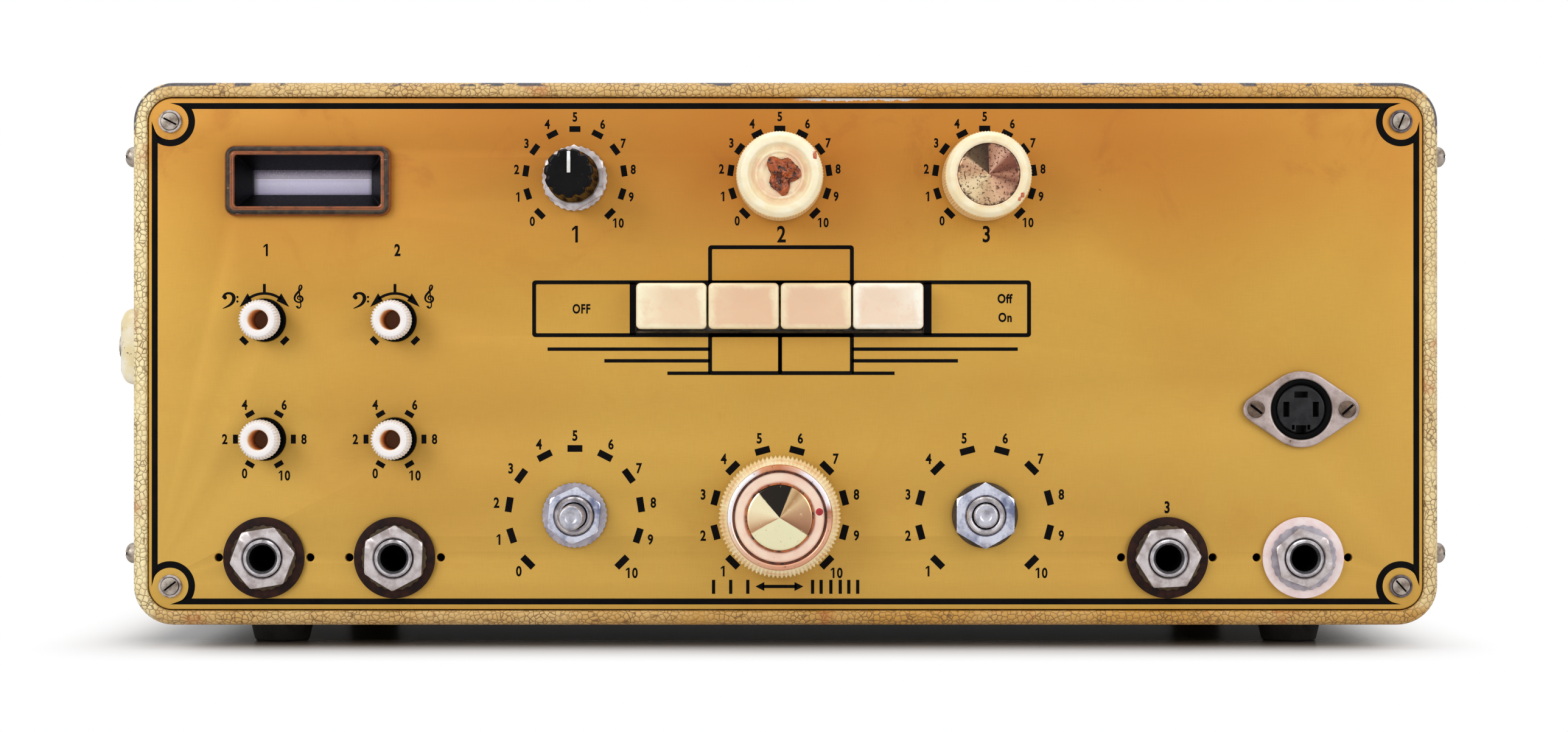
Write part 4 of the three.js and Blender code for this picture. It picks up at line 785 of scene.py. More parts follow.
def addCase():
    depth = caseHigh.y - caseLow.y
    rings = [caseRing(case["rim"], case["rimDepth"])]
    rings += rimRound(case["innerRound"], 180, 90, case["rim"] - case["innerRound"])
    rings += rimRound(case["outerRound"], 90, 0, case["outerRound"])
    rings += [caseRing(0, depth - 0.3), caseRing(0.3, depth), caseRing(case["wall"], depth)]
    rings.append(caseRing(case["wall"], case["rimDepth"]))
    shell = loftMesh("case_body", rings, loop=True)
    reach = (caseHigh.x - caseLow.x) / 2 - case["openingSide"]
    low = (-reach, case["openingFront"], case["height"] / 2 - case["wall"] - 2)
    high = (reach, depth - case["openingRear"], case["height"] / 2 + 2)
    shell = cutMesh(shell, blockMesh("opening", low, high, 0))
    knuckles = []
    level = hinge.z - caseMiddle.z
    setback = hinge.y - caseMiddle.y
    for place in (-case["knucklePlace"], case["knucklePlace"]):
        for side in (-1, 1):
            knuckle = knuckleMesh("knuckle", *case["knuckleFoot"])
            knuckles.append(moved(knuckle, place + side * case["knucklePitch"], setback, level))
    lugs = []
    half = case["lugHalf"]
    front, back = case["lugDepths"]
    for x in (-case["lugX"], case["lugX"]):
        for z in (-case["lugZ"], case["lugZ"]):
            lugs.append(blockMesh("lug", (x - half, front, z - half), (x + half, back, z + half), 0.5))
    mesh = sameFinish("case_body", [shell, *knuckles, *lugs])
    addPiece("case_body", mesh, caseFinish, "case_enamel", at=caseMiddle, replaces=["case_shell"], smooth=25)


addCase()

foot = {"radius": 8, "base": 6.8, "height": 5.7, "hole": 2.6, "holeDeep": 2.4}
rubberFinish = plasticFinish("foot_rubber", (30, 29, 29), (44, 42, 40), 0.7, 3, (92, 84, 72), 0.02, 0.05)
screwSteel = metalFinish(
    "screw_steel", (176, 166, 156), (112, 98, 86), 0.42, 0.7, (96, 62, 40), 0.1, size=1.2,
)
for corner in ("front_left", "front_right", "rear_left", "rear_right"):
    low, high = boxOf(f"foot_{corner}")
    profile = [
        (0, foot["holeDeep"]), (foot["hole"], foot["holeDeep"]), (foot["hole"] + 0.4, 0), (foot["base"], 0),
        (foot["radius"] - 0.2, foot["height"] - 1.4), (foot["radius"], foot["height"]), (0, foot["height"]),
    ]
    rubber = moved(turnedMesh(f"foot_{corner}", softened(profile, 0.7), 48), turn=90, axis="X")
    spot = Vector(((low.x + high.x) / 2, (low.y + high.y) / 2, low.z))
    addPiece(f"rubber_{corner}", rubber, rubberFinish, "foot_rubber", at=spot, replaces=[f"foot_{corner}"])

print("case and feet made")


# Screws
def slottedParts(name, radius, thick, slot=0.9, deep=0.8, dome=0.0):
    # A slotted head, and a black floor in its slot as painted shade. It looks along -Y, and its back lies at
    # depth 0.
    turns = [math.radians(turn) for turn in range(0, 90, 12)]
    profile = [(radius * math.sin(turn), -thick - dome * math.cos(turn)) for turn in turns]
    head = turnedMesh(name, profile + [(radius, -thick + 0.2), (radius, 0), (0, 0)], 48)
    top = -thick - dome - 1
    floor = -thick - dome + deep
    head = cutMesh(head, blockMesh("slot", (-radius - 1, top, -slot / 2), (radius + 1, floor, slot / 2), 0))
    reach, half = radius - 0.35, slot / 2 - 0.01
    return [head, blockMesh("slot_shade_floor", (-reach, floor - 0.06, -half), (reach, floor + 0.1, half), 0)]


def slottedMesh(name, *sizes):
    # Its head takes the first finish and the floor of its slot, a painted shade, the second.
    return joinedMesh(name, slottedParts(name, *sizes))


collarSteel = metalFinish(
    "collar_steel", (190, 180, 176), (120, 106, 100), 0.5, 0.5, (88, 66, 52), 0.12, size=0.8,
)
# A darker copy of the collar steel for the right-hand screws: painted shade, with the light falling from the
# left.
collarShaded = metalFinish(
    "collar_shaded", (112, 102, 106), (60, 50, 54), 0.45, 0.5, (50, 34, 28), 0.12, size=0.8,
)
# Black for black parts and marks, and as painted shade: the floors of screw slots, the seats under the panel
# screws, the liners of the jack bores and the rings in the gaps round the small knobs' necks.
blackAndShade = plasticFinish("black_and_painted_shade", (5, 5, 6), (10, 9, 9), 0.6, 4, gloss=0.05)
panelScrews = {
    "collar": 2.85,
    "radius": 2.1,
    "reachX": 150.75,
    "reachZ": 56.9,
    "turns": {"top_left": 27, "top_right": -68, "bottom_left": -38, "bottom_right": 48},
}
for name, turn in panelScrews["turns"].items():
    u = panelScrews["reachX"] * (-1 if "left" in name else 1)
    v = panelScrews["reachZ"] * (-1 if "bottom" in name else 1)
    radius, collar = panelScrews["radius"], panelScrews["collar"]
    parts = slottedParts("panel_screw", radius, 0.85, 0.45, 0.5, 0.1)
    ring = ringProfile(radius + 0.1, collar, -0.62, 0, 0.2)
    parts.append(turnedMesh("collar", ring, 160, 40, 0.08, lambda own, depth: own > radius + 0.3))
    # A black seat ring between the head and its collar: painted shade.
    parts.append(turnedMesh("seat", ringProfile(radius - 0.3, radius + 0.3, -0.25, 0, 0.05), 48))
    finishes = [screwSteel, blackAndShade, collarSteel if "left" in name else collarShaded, blackAndShade]
    screw = moved(joinedMesh("panel_screw", parts), turn=turn)
    addPiece(f"panel_screw_{name}", screw, finishes, "nickel", at=onPanel(u, v))


# Front panel
panelCuts = {
    "smallKnob": 5.25,
    "bushing": 4.95,
    "spindle": 3.3,
    "pinHole": 1.0,
    "pinReach": 11.2,
    "din": 8.6,
    "edge": 0.25,
    "corner": 5.9,
    "eye": (39.2, 15.9, 2.2),
    "keyGap": (0.7, 1.7),
    "keyDrop": 0.5,
}
knobPlaces = ["tone_knob_1", "tone_knob_2", "volume_knob_1", "volume_knob_2"]
jackNames = ["input_1", "input_2", "input_3", "output"]
dinCentre = centreOn("din_flange")
keyLow, keyHigh = boxOf("key_1")[0], boxOf("key_4")[1]


def local(place):
    return place.x - panelMiddle.x, place.z - panelMiddle.z


def addPanel():
    width, height = panelHigh.x - panelLow.x, panelHigh.z - panelLow.z
    holes = []
    rounds = [(name, panelCuts["smallKnob"]) for name in knobPlaces]
    rounds += [(f"head_knob_{number}", panelCuts["bushing"]) for number in (1, 2, 3)]
    rounds += [("reverb_pot", panelCuts["bushing"]), ("tone_pot", panelCuts["bushing"])]
    rounds += [("duration_knob", panelCuts["spindle"]), ("din_flange", panelCuts["din"])]
    rounds += [(f"jack_socket_{name}", panelCuts["bushing"]) for name in jackNames]
    for node, radius in rounds:
        holes.append(circleLine(radius, 40, *local(centreOn(node))))
    for name in jackNames:
        u, v = local(centreOn(f"jack_socket_{name}"))
        places = [u + side * panelCuts["pinReach"] for side in (-1, 1)]
        holes += [circleLine(panelCuts["pinHole"], 20, place, v) for place in places]
    holes.append(roundedLine(*panelCuts["eye"], 6, *local(middleOf("eye_bezel"))))
    u, v = local((keyLow + keyHigh) / 2)
    gapX, gapZ = panelCuts["keyGap"]
    keyHole = (keyHigh.x - keyLow.x + gapX, keyHigh.z - keyLow.z + gapZ)
    holes.append(roundedLine(*keyHole, 0.4, 4, u, v - panelCuts["keyDrop"]))
    outline = roundedLine(width, height, panelCuts["corner"], 14)
    mesh = plateMesh("panel_sheet", outline, holes, 0, panelHigh.y - panelLow.y, panelCuts["edge"], 3)
    mesh.transform(Matrix.Translation(onPanel(0, 0) * mm))
    addPiece("panel_sheet", mesh, panelFinish, "panel_gold", replaces=["front_panel"], smooth=40)


addPanel()
print("panel made")


# Printed lines, dials and numbers on the panel
ink = {"under": 0.08, "proud": 0.035}
printed = bmesh.new()


def inkShape(line):
    # A flat printed shape, from its outline on the panel.
    rings = []
    for depth in (-ink["proud"], ink["under"]):
        rings.append([printed.verts.new((u * mm, depth * mm, v * mm)) for u, v in line])
    count = len(line)
    for step in range(count):
        after = (step + 1) % count
        printed.faces.new((rings[0][step], rings[0][after], rings[1][after], rings[1][step]))
    printed.faces.new(rings[0])
    printed.faces.new(rings[1])


def inkBox(left, right, low, high):
    inkShape([(left, low), (right, low), (right, high), (left, high)])


def inkBand(outer, inner):
    # A printed band between two outlines of equal count.
    count = len(outer)
    rings = []
    for depth in (-ink["proud"], ink["under"]):
        for line in (outer, inner):
            rings.append([printed.verts.new((u * mm, depth * mm, v * mm)) for u, v in line])
    for step in range(count):
        after = (step + 1) % count
        for first, second in ((0, 1), (1, 3), (3, 2), (2, 0)):
            near, far = rings[first], rings[second]
            printed.faces.new((near[step], near[after], far[after], far[step]))


def inkTick(centre, reach, angle, radial, tangential):
    # A printed mark on a dial. The angle runs clockwise from the top.
    turn = math.radians(angle)
    out, along = Vector((math.sin(turn), math.cos(turn))), Vector((math.cos(turn), -math.sin(turn)))
    middle = Vector(centre) + out * reach
    corners = [(-1, -1), (1, -1), (1, 1), (-1, 1)]
    inkShape([middle + out * (a * radial / 2) + along * (b * tangential / 2) for a, b in corners])


def inkMesh(mesh, u, v):
    mesh.transform(Matrix.Translation(Vector((u, 0, v)) * mm))
    printed.from_mesh(mesh)
    bpy.data.meshes.remove(mesh)


def inkText(words, height, u, v, narrow=0.8, weight=0.32):
    # Words as a thin plate, centred on a place and scaled to a height.
    curve = bpy.data.curves.new("words", "FONT")
    curve.body = words
    curve.size = 10 * mm
    curve.extrude = 0.5 * mm
    curve.offset = weight * mm
    curve.resolution_u = 4
    curve.space_character = 1.12
    mesh = meshOfCurve("words", curve)
    places = [vertex.co for vertex in mesh.vertices]
    low = Vector([min(place[axis] for place in places) for axis in range(3)])
    high = Vector([max(place[axis] for place in places) for axis in range(3)])
    scale = height * mm / (high.y - low.y)
    middle = (low + high) / 2
    for vertex in mesh.vertices:
        offset = vertex.co - middle
        depth = -ink["proud"] if offset.z > 0 else ink["under"]
        vertex.co = (offset.x * scale * narrow, depth * mm, offset.y * scale)
    inkMesh(mesh, u, v)
    if words[0] == "1":
        left, top = u - (high.x - low.x) / 2 * scale * narrow / mm + 0.03, v + height / 2
        flag = ((0, 0), (0, -0.17), (-0.2, -0.32), (-0.2, -0.17))  # The font's 1 has none.
        inkShape([(left + x * height, top + z * height) for x, z in flag])


def inkStroke(points, widths, u, v):
    # A printed stroke of changing width along a smooth path.
    curve = bpy.data.curves.new("stroke", "CURVE")
    curve.dimensions = "3D"
    curve.bevel_depth = mm
    curve.bevel_resolution = 3
    curve.use_fill_caps = True
    spline = curve.splines.new("NURBS")
    spline.points.add(len(points) - 1)
    for point, (x, z), width in zip(spline.points, points, widths):
        point.co = (x * mm, 0, z * mm, 1)
        point.radius = width * 0.8
    spline.use_endpoint_u = True
    spline.order_u = 3
    mesh = meshOfCurve("stroke", curve)
    for vertex in mesh.vertices:
        vertex.co.y *= 0.12
    inkMesh(mesh, u, v)


border = {
    "reachU": 155.3,
    "width": 1.45,
    "ringU": 150.8,
    "ringV": 56.9,
    "ringInner": 4.5,
    "ringOuter": 6.1,
    "steps": 28,
}


def addBorder():
    outer, inner = [], []
    reach, ring = border["reachU"] - border["ringU"], border["ringOuter"]
    lead = math.degrees(math.acos((reach - border["width"]) / ring))
    for sideU, sideV in ((1, 1), (-1, 1), (-1, -1), (1, -1)):
        # Seen from the ring's middle, with both axes towards the panel's middle.
        far = arcLine(border["ringInner"], 180, -90, border["steps"])
        near = arcLine(ring, 180 - lead, -90 + lead, border["steps"])
        pair = []
        for line in (far, near):
            line = [(sideU * (border["ringU"] - a), sideV * (border["ringV"] - b)) for a, b in line]
            pair.append(line if sideU * sideV > 0 else line[::-1])
        outer += pair[0]
        inner += pair[1]
    inkBand(outer, inner)


addBorder()

keyFrame = {
    "line": 0.96,
    "left": -62.07,
    "right": 60.15,
    "low": 4.07,
    "high": 17.97,
    "bars": [-37.7, 35.3],
    "upper": (-18.96, 16.75, 26.57),
    "lower": (-18.96, -1.34, 16.75, -5.22),
    "speed": {1.13: (-58.3, 56.91), -1.73: (-44.4, 42.25), -4.78: (-28.94, 26.73)},
    "speedLine": 0.85,
}


def inkFrame(left, right, low, high, line, radius=0.8):
    width, height = right - left, high - low
    u, v = (left + right) / 2, (low + high) / 2
    outer = roundedLine(width, height, radius, 5, u, v)
    inner = roundedLine(width - 2 * line, height - 2 * line, max(radius - line, 0.25), 5, u, v)
    inkBand(outer, inner)


line = keyFrame["line"]
inkFrame(keyFrame["left"], keyFrame["right"], keyFrame["low"], keyFrame["high"], line)
for bar, edge in zip(keyFrame["bars"], (local(keyLow)[0] - 0.35, local(keyHigh)[0] + 0.35)):
    # Each bar reaches to the opening that the keys stand in.
    near, far = sorted((bar - line / 2 if bar < 0 else bar + line / 2, edge))
    inkBox(near, far, keyFrame["low"] + line / 2, keyFrame["high"] - line / 2)
left, right, top = keyFrame["upper"]
inkFrame(left, right, keyFrame["high"] - line, top, line)
left, middle, right, bottom = keyFrame["lower"]
inkFrame(left, middle + line / 2, bottom, keyFrame["low"] + line, line)
inkFrame(middle - line / 2, right, bottom, keyFrame["low"] + line, line)
half = keyFrame["speedLine"] / 2
for v, (far, near) in keyFrame["speed"].items():
    inkBox(far, left + line / 2, v - half, v + half)
    inkBox(right - line / 2, near, v - half, v + half)
inkText("OFF", 2.4, -50.0, 11.0, 0.74)
inkText("Off", 2.35, 53.8, 13.5, 0.8, 0.36)
inkText("On", 2.35, 53.8, 8.9, 0.8, 0.36)

echoSign = {
    "bars": [-17.63, -13.43, -9.24, 6.64, 8.73, 11.12, 13.42, 15.51, 17.69],
    "low": -58.8,
    "high": -55.37,
    "level": -57.0,
    "shaft": (-5.6, 2.7, 0.4),
    "tips": [(-7.39, -5.2, 1.1), (4.4, 2.2, -1.1)],
}
for bar in echoSign["bars"]:
    inkBox(bar - 0.4, bar + 0.4, echoSign["low"], echoSign["high"])
left, right, half = echoSign["shaft"]
inkBox(left, right, echoSign["level"] - half, echoSign["level"] + half)
for point, root, half in echoSign["tips"]:
    inkShape([(point, echoSign["level"]), (root, echoSign["level"] + half), (root, echoSign["level"] - half)])


def addDial(centre, marks, first, step, tick, reach, height, numberReach, squeeze=0.0):
    # marks are the numbers in turn, clockwise from the first angle.
    for index, mark in enumerate(marks):
        angle = first + step * index
        inkTick(centre, reach, angle, *tick)
        turn = math.radians(angle)
        out = numberReach - squeeze * math.sin(turn) ** 2 + (0.6 if len(mark) > 1 else 0)
        inkText(mark, height, centre[0] + out * math.sin(turn), centre[1] + out * math.cos(turn), 0.8, 0.3)


numbers = [str(number) for number in range(11)]
headCentres = [local(centreOn(f"head_knob_{number}")) for number in (1, 2, 3)]
for number, centre in enumerate(headCentres):
    addDial(centre, numbers, -135, 27, (1.42, 2.7), 12.15, 2.35, 15.1, 0.65)
    inkText(numbers[number + 1], 4.1, centre[0] + 0.4, 29.3, 0.8, 0.2)
timeCentres = [local(centreOn(node)) for node in ("reverb_pot", "duration_knob", "tone_pot")]
addDial(timeCentres[0], numbers, -135, 27, (1.65, 3.65), 16.3, 2.6, 19.45)
for centre in timeCentres[1:]:
    addDial(centre, numbers[1:], -135, 30, (1.65, 3.65), 16.3, 2.6, 19.45)
for number, node in enumerate(["volume_knob_1", "volume_knob_2"]):
    addDial(local(centreOn(node)), numbers[0::2], -150, 60, (1.2, 2.2), 7.1, 2.5, 9.7)


toneDial = {"radius": 6.9, "thick": 0.65, "ends": (128, 52)}
bassClef = {
    "at": (-8.5, 4.8),
    "scale": 1.2,
    "path": [
        (-1.3, 0.55), (-1.1, 1.25), (-0.3, 1.6), (0.6, 1.35),
        (0.95, 0.5), (0.55, -0.5), (-0.4, -1.2), (-1.4, -1.6),
    ],
    "widths": [0.5, 0.45, 0.35, 0.5, 0.62, 0.5, 0.3, 0.12],
    "dots": [(0.48, 14, -1.15, 0.75), (0.28, 12, 1.9, 0.9), (0.28, 12, 1.9, -0.2)],
}
trebleClef = {
    "at": (8.6, 5.8),
    "scale": 1.17,
    "path": [
        (0.15, -0.75), (-0.45, -0.55), (-0.35, 0.1), (0.3, 0.15), (0.75, -0.45), (0.45, -1.1), (-0.3, -1.25),
        (-1.0, -0.8), (-1.05, 0.0), (-0.35, 0.9), (0.4, 1.6), (0.5, 2.25), (0.15, 2.5), (-0.15, 1.9),
        (0.0, 0.6), (0.2, -0.9), (0.32, -2.0), (0.0, -2.45), (-0.45, -2.3), (-0.5, -1.95),
    ],
    "widths": [
        0.14, 0.2, 0.26, 0.3, 0.34, 0.3, 0.26, 0.28, 0.34, 0.36,
        0.3, 0.28, 0.16, 0.28, 0.22, 0.2, 0.2, 0.22, 0.3, 0.45,
    ],
    "dots": [],
}


def addToneDial(centre):
    radius, thick, ends = toneDial["radius"], toneDial["thick"], toneDial["ends"]
    for angle in (-135, 135):
        inkTick(centre, radius + 0.16, angle, 1.3, 2.1)
    outer, inner = arcLine(radius, *ends, 20, *centre), arcLine(radius - thick, *ends, 20, *centre)
    inkShape(outer + inner[::-1])
    inkTick(centre, radius + 1, 0, 2.0, 0.7)
    for side in (-1, 1):
        # An arrow head at each end of the arc.
        tip, root = math.radians(62), math.radians(32)
        point = Vector((side * math.sin(tip), math.cos(tip))) * radius
        base = Vector((side * math.sin(root), math.cos(root)))
        inkShape([Vector(centre) + place for place in (point, base * 7.8, base * 5.6)][::side])
    for clef in (bassClef, trebleClef):
        u, v = centre[0] + clef["at"][0], centre[1] + clef["at"][1]
        inkStroke([(x * clef["scale"], z * clef["scale"]) for x, z in clef["path"]], clef["widths"], u, v)
        for dotRadius, count, x, z in clef["dots"]:
            inkShape(circleLine(dotRadius, count, u + x, v + z))


for number in (1, 2):
    centre = local(centreOn(f"tone_knob_{number}"))
    addToneDial(centre)
    inkText(str(number), 3.0, centre[0] + 0.6, centre[1] + 17.2, 0.75)
inkText("3", 3.0, local(centreOn("jack_socket_input_3"))[0], -37.6, 0.75)

bmesh.ops.recalc_face_normals(printed, faces=printed.faces)
printMesh = bpy.data.meshes.new("panel_print")
printed.to_mesh(printMesh)
printed.free()
addPiece("panel_print", printMesh, inkFinish, "knob_black", at=onPanel(0, 0), smooth=20)
print("print made")


# Magic eye
eye = {
    "width": 40.6,
    "height": 17.3,
    "mouth": (35.8, 12.6),
    "window": (29.4, 6.2),
    "corner": 2.6,
    "deep": 6,
    "opening": (38.4, 15.2, 1.9),
    "crown": [
        (0.05, -1.4), (0.35, -2.0), (0.75, -2.3), (1.0, -2.38), (1.3, -2.3),
        (1.55, -2.05), (1.75, -2.05), (2.0, -2.25), (2.3, -2.1),
    ],
    "strip": ((-14.8, -6.6, -3.7), (14.8, -5.9, 3.7)),
    "paintedLight": 0.42,
}


def bezelFinish():
    # Dark lacquer, rubbed to copper along the raised ridge and the corners.
    finish, shader, place = newFinish("bezel_bronze", Metallic=0.35)
    reach = outlineReach(place, eye["width"], eye["height"], eye["corner"])
    grime = noiseOn(stretched(place, (0.5, 1, 1)), 1.6, 8, 0.7)
    lips = stepOn(reach, 0.001, 0.0013, 1.0, 0.0) + stepOn(reach, 0.0021, 0.0024)
    rubbed = lips * stepOn(grime, 0.3, 0.55, 0.35, 1.0)
    colour = speckled(place, (66, 52, 36), (34, 27, 20), 2.2)
    colour = mixOn(rubbed * 0.85, colour, (160, 92, 54))
    streak = stepOn(noiseOn(stretched(place, (0.2, 1, 1)), 0.9, 6, 0.7), 0.62, 0.7, 0.0, 0.6)
    colour = mixOn(streak, colour, (206, 170, 140))
    plug(shader, Base_Color=colour, Roughness=stepOn(grime, 0.3, 0.7, 0.3, 0.6))
    bumpOn(shader, grime, 0.08, 0.6)
    return finish


def addEye():
    centre = centreOn("eye_bezel")
    width, height, corner = eye["width"], eye["height"], eye["corner"]
    mouth, window = eye["mouth"], eye["window"]
    rings = [(-0.02, roundedLine(width, height, corner))]
    for inset, depth in eye["crown"]:
        rings.append((depth, roundedLine(width - 2 * inset, height - 2 * inset, max(corner - inset, 0.9))))
    rings.append((-1.4, roundedLine(mouth[0], mouth[1], 0.8)))
    rings.append((-0.02, roundedLine(mouth[0] + 0.1, mouth[1] + 0.1, 0.8)))
    frameMesh = loftMesh("eye_frame", rings, loop=True)
    addPiece("eye_frame", frameMesh, bezelFinish(), "bezel_bronze", at=centre, replaces=["eye_bezel"])
    black = plasticFinish("funnel_black", (6, 6, 7), (10, 10, 12), 0.4, 6, (34, 35, 40), 0.03, 0.02, 0.07)
    rings = [
        (-0.9, roundedLine(mouth[0] - 0.1, mouth[1] - 0.1, 0.7)),
        (0.2, roundedLine(mouth[0] - 0.5, mouth[1] - 0.5, 0.5)),
        (eye["deep"] - 0.6, roundedLine(window[0], window[1], 0.25)),
        (eye["deep"], roundedLine(window[0], window[1], 0.25)),
        (eye["deep"], roundedLine(*eye["opening"])),
        (-0.02, roundedLine(*eye["opening"])),
    ]
    addPiece("eye_funnel", loftMesh("eye_funnel", rings, loop=True), black, "socket_black", at=centre)


def stripFinish():
    # The strip behind the glass: dull lilac above, a bright line, pale lavender below, dark at both ends.
    # Its faint emission is painted light, standing in for the lamp light that the glass in front holds back.
    finish, shader, place = newFinish("eye_strip", Roughness=0.25, Emission_Strength=eye["paintedLight"])
    parts = partsOf(place)
    level = stepOn(parts[2], -0.0036, 0.0036)
    stops = [
        (0.0, (96, 90, 120)), (0.1, (176, 168, 196)), (0.5, (206, 200, 222)), (0.63, (198, 190, 216)),
        (0.66, (232, 226, 238)), (0.69, (158, 148, 166)), (0.88, (132, 122, 138)), (1.0, (70, 64, 78)),
    ]
    colour = rampOn(level, stops)
    fine = noiseOn(place, 0.35, 4, 0.7)
    colour = mixOn(stepOn(fine, 0.5, 0.75, 0.0, 0.3), colour, (240, 236, 246))
    ends = stepOn(abs(parts[0]), 0.0132, 0.0147, 0.0, 0.8)
    colour = mixOn(ends, colour, (60, 54, 70))
    plug(shader, Base_Color=colour, Emission_Color=colour)
    bumpOn(shader, fine, 0.02, 0.4)
    return finish


def glassFinish(name, tint, rough=0.04):
    finish, shader, place = newFinish(name, Transmission_Weight=0.95, IOR=1.45)
    smear = noiseOn(place, 6, 4, 0.6)
    colour = mixOn(stepOn(smear, 0.4, 0.7, 0.0, 0.3), tint, (226, 222, 214))
    plug(shader, Base_Color=colour, Roughness=stepOn(smear, 0.4, 0.7, rough, rough + 0.08))
    return finish


def addEyeTube():
    low, high = boxOf("eye_tube")
    centre = (low + high) / 2
    radius, half = (high.z - low.z) / 2, (high.x - low.x) / 2
    bulb = [
        (0, -half + 6), (radius, -half + 6), (radius, half - 8), (radius * 0.6, half - 3),
        (1.6, half - 2.6), (0, half),
    ]
    tube = moved(turnedMesh("eye_glass", softened(bulb, 3.5, 5), 48), turn=-90, axis="Z")
    clear = glassFinish("tube_glass", (246, 246, 250))
    addPiece("eye_glass", tube, clear, "eye_glass", at=centre, replaces=["eye_tube"])
    addPiece("eye_strip", blockMesh("eye_strip", *eye["strip"], 0.2), stripFinish(), "eye_glass", at=centre)
    cup = [(0, -half), (radius - 0.6, -half), (radius - 0.3, -half + 7), (0, -half + 7)]
    base = moved(turnedMesh("eye_base", softened(cup, 0.8), 48), turn=-90, axis="Z")
    black = plasticFinish("base_black", (26, 25, 26), (38, 36, 36), 0.4)
    addPiece("eye_base", base, black, "socket_black", at=centre)


addEye()
addEyeTube()
print("eye made")


# Push keys
keys = {
    "half": (8.5, 5.6),
    "corner": 1.1,
    "crown": [
        (6.0, 0.34), (4.0, 0.24), (2.2, 0.12), (1.0, 0.02), (0.55, 0.1),
        (0.22, 0.34), (0.05, 0.7), (0.0, 1.1), (0.0, 10.6), (0.3, 10.9),
    ],
    "tints": {1: (236, 208, 172), 2: (231, 192, 156), 3: (231, 194, 160), 4: (238, 214, 188)},
    "paintedLight": {1: (250, 241, 206), 2: (244, 228, 188), 3: (244, 228, 188), 4: (252, 248, 232)},
}


def keyFinish(number):
    # Pearly plastic, pinkish and cloudy in the middle. Its paler, yellower edges are a painted highlight.
    inside = {"Subsurface_Weight": 0.12, "Subsurface_Radius": scatterReach, "Coat_Weight": 0.35}
    finish, shader, place = newFinish(f"key_ivory_{number}", Roughness=0.22, **inside)
    parts = partsOf(place)
    across, down = (abs(part) * (1 / (half * mm)) for part, half in zip(parts[0::2], keys["half"]))
    cloud = noiseOn(place, 5.5, 5, 0.6, 0.5)
    edge = mathOn("MAXIMUM", across, down) + cloud * 0.5
    colour = mixOn(stepOn(edge, 0.95, 1.22, 0.0, 0.9), keys["tints"][number], keys["paintedLight"][number])
    side = -1 if number < 3 else 1  # The outer keys are brightest towards the bank's ends.
    bright = stepOn(parts[0] * side, -0.001, 0.009, 0.0, 0.75 if number in (1, 4) else 0.25)
    colour = mixOn(bright * stepOn(cloud, 0.3, 0.55), colour, keys["paintedLight"][number])
    haze = stepOn(noiseOn(place, 2.2, 6, 0.7), 0.5, 0.75, 0.0, 0.35)
    colour = mixOn(haze, colour, (238, 184, 150))
    plug(shader, Base_Color=colour)
    bumpOn(shader, noiseOn(place, 1.2, 5, 0.6), 0.02, 0.4)
    return finish


def addKeys():
    for number in (1, 2, 3, 4):
        low, high = boxOf(f"key_{number}")
        width, height = high.x - low.x, high.z - low.z
        centre = Vector(((low.x + high.x) / 2, panelFace, (low.z + high.z) / 2))
        proud = panelFace - low.y
        rings = []
        for inset, depth in keys["crown"]:
            across, tall = width - min(2 * inset, width - 4), height - min(2 * inset, height - 1.6)
            corner = max(0.3, keys["corner"] - inset * 0.4)
            rings.append((depth - proud, roundedLine(across, tall, corner, 5)))
        cap = loftMesh("key_cap", rings)
        stem = blockMesh("key_stem", (-3, 4.6, -2), (3, high.y - panelFace, 2), 0.3)
        name, node = f"key_cap_{number}", f"key_{number}"
        mesh = sameFinish(name, [cap, stem])
        addPiece(name, mesh, keyFinish(number), "key_ivory", node, centre, [node], 30)


addKeys()
zincFinish = metalFinish(
    "plated_zinc", (168, 168, 164), (128, 126, 120), 0.45, 0.85, (120, 96, 66), 0.02, size=5,
)
# Zinc darkened as painted shade under nuts and keys: the jacks' lock washers, the tone pot's washer and the
# ledge below the keys.
shadedZinc = metalFinish("zinc_painted_shade", (82, 66, 44), (46, 36, 26), 0.55, 0.5, (120, 84, 40), 0.1, size=2)
# A dark block in the opening below the keys: painted shade.
ledgeLow = (keyLow.x - 0.2, panelFace + 0.5, keyLow.z - 1.2)
ledgeHigh = (keyHigh.x + 0.2, panelFace + 1.9, keyLow.z - 0.4)
ledge = blockMesh("key_shade_ledge", ledgeLow, ledgeHigh, 0.15)
addPiece("key_shade_ledge", ledge, shadedZinc, "plated_zinc", smooth=30)
print("keys made")


# Small white knobs
smallKnob = {
    "radius": 4.9,
    "proud": 9.3,
    "behind": 5.5,
    "ribs": 38,
    "ribDepth": 0.4,
    "head": 4.65,
    "neck": 4.3,
    "throat": 2.4,
    "hollowDeep": 9.0,
    "hollowTones": [
        (0.0, (252, 204, 140)), (0.12, (255, 190, 100)), (0.6, (255, 174, 76)),
        (0.96, (206, 126, 56)), (1.0, (126, 90, 46)),
    ],
}


def whiteKnobFinish():
    # White plastic with an orange hollow that grows darker towards its floor.
    finish, shader, place = newFinish("knob_white", Roughness=0.35, Specular_IOR_Level=0.25)
    depth, reach = turnedPlace(place)
    cloud = noiseOn(place, 1.4, 5, 0.6)
    edge = reach + cloud * 0.0003
    hollow = stepOn(edge, 0.00245, 0.0028, 1.0, 0.0)
    deep = stepOn(depth, -smallKnob["proud"] * mm, (smallKnob["hollowDeep"] - smallKnob["proud"]) * mm)
    inside = rampOn(deep, smallKnob["hollowTones"])
    colour = mixOn(stepOn(cloud, 0.45, 0.75, 0.0, 0.3), (240, 236, 234), (232, 214, 200))
    colour = mixOn(hollow, colour, inside)
    plug(shader, Base_Color=colour)
    bumpOn(shader, noiseOn(place, 0.4, 4, 0.6), 0.01, 0.4)
    return finish


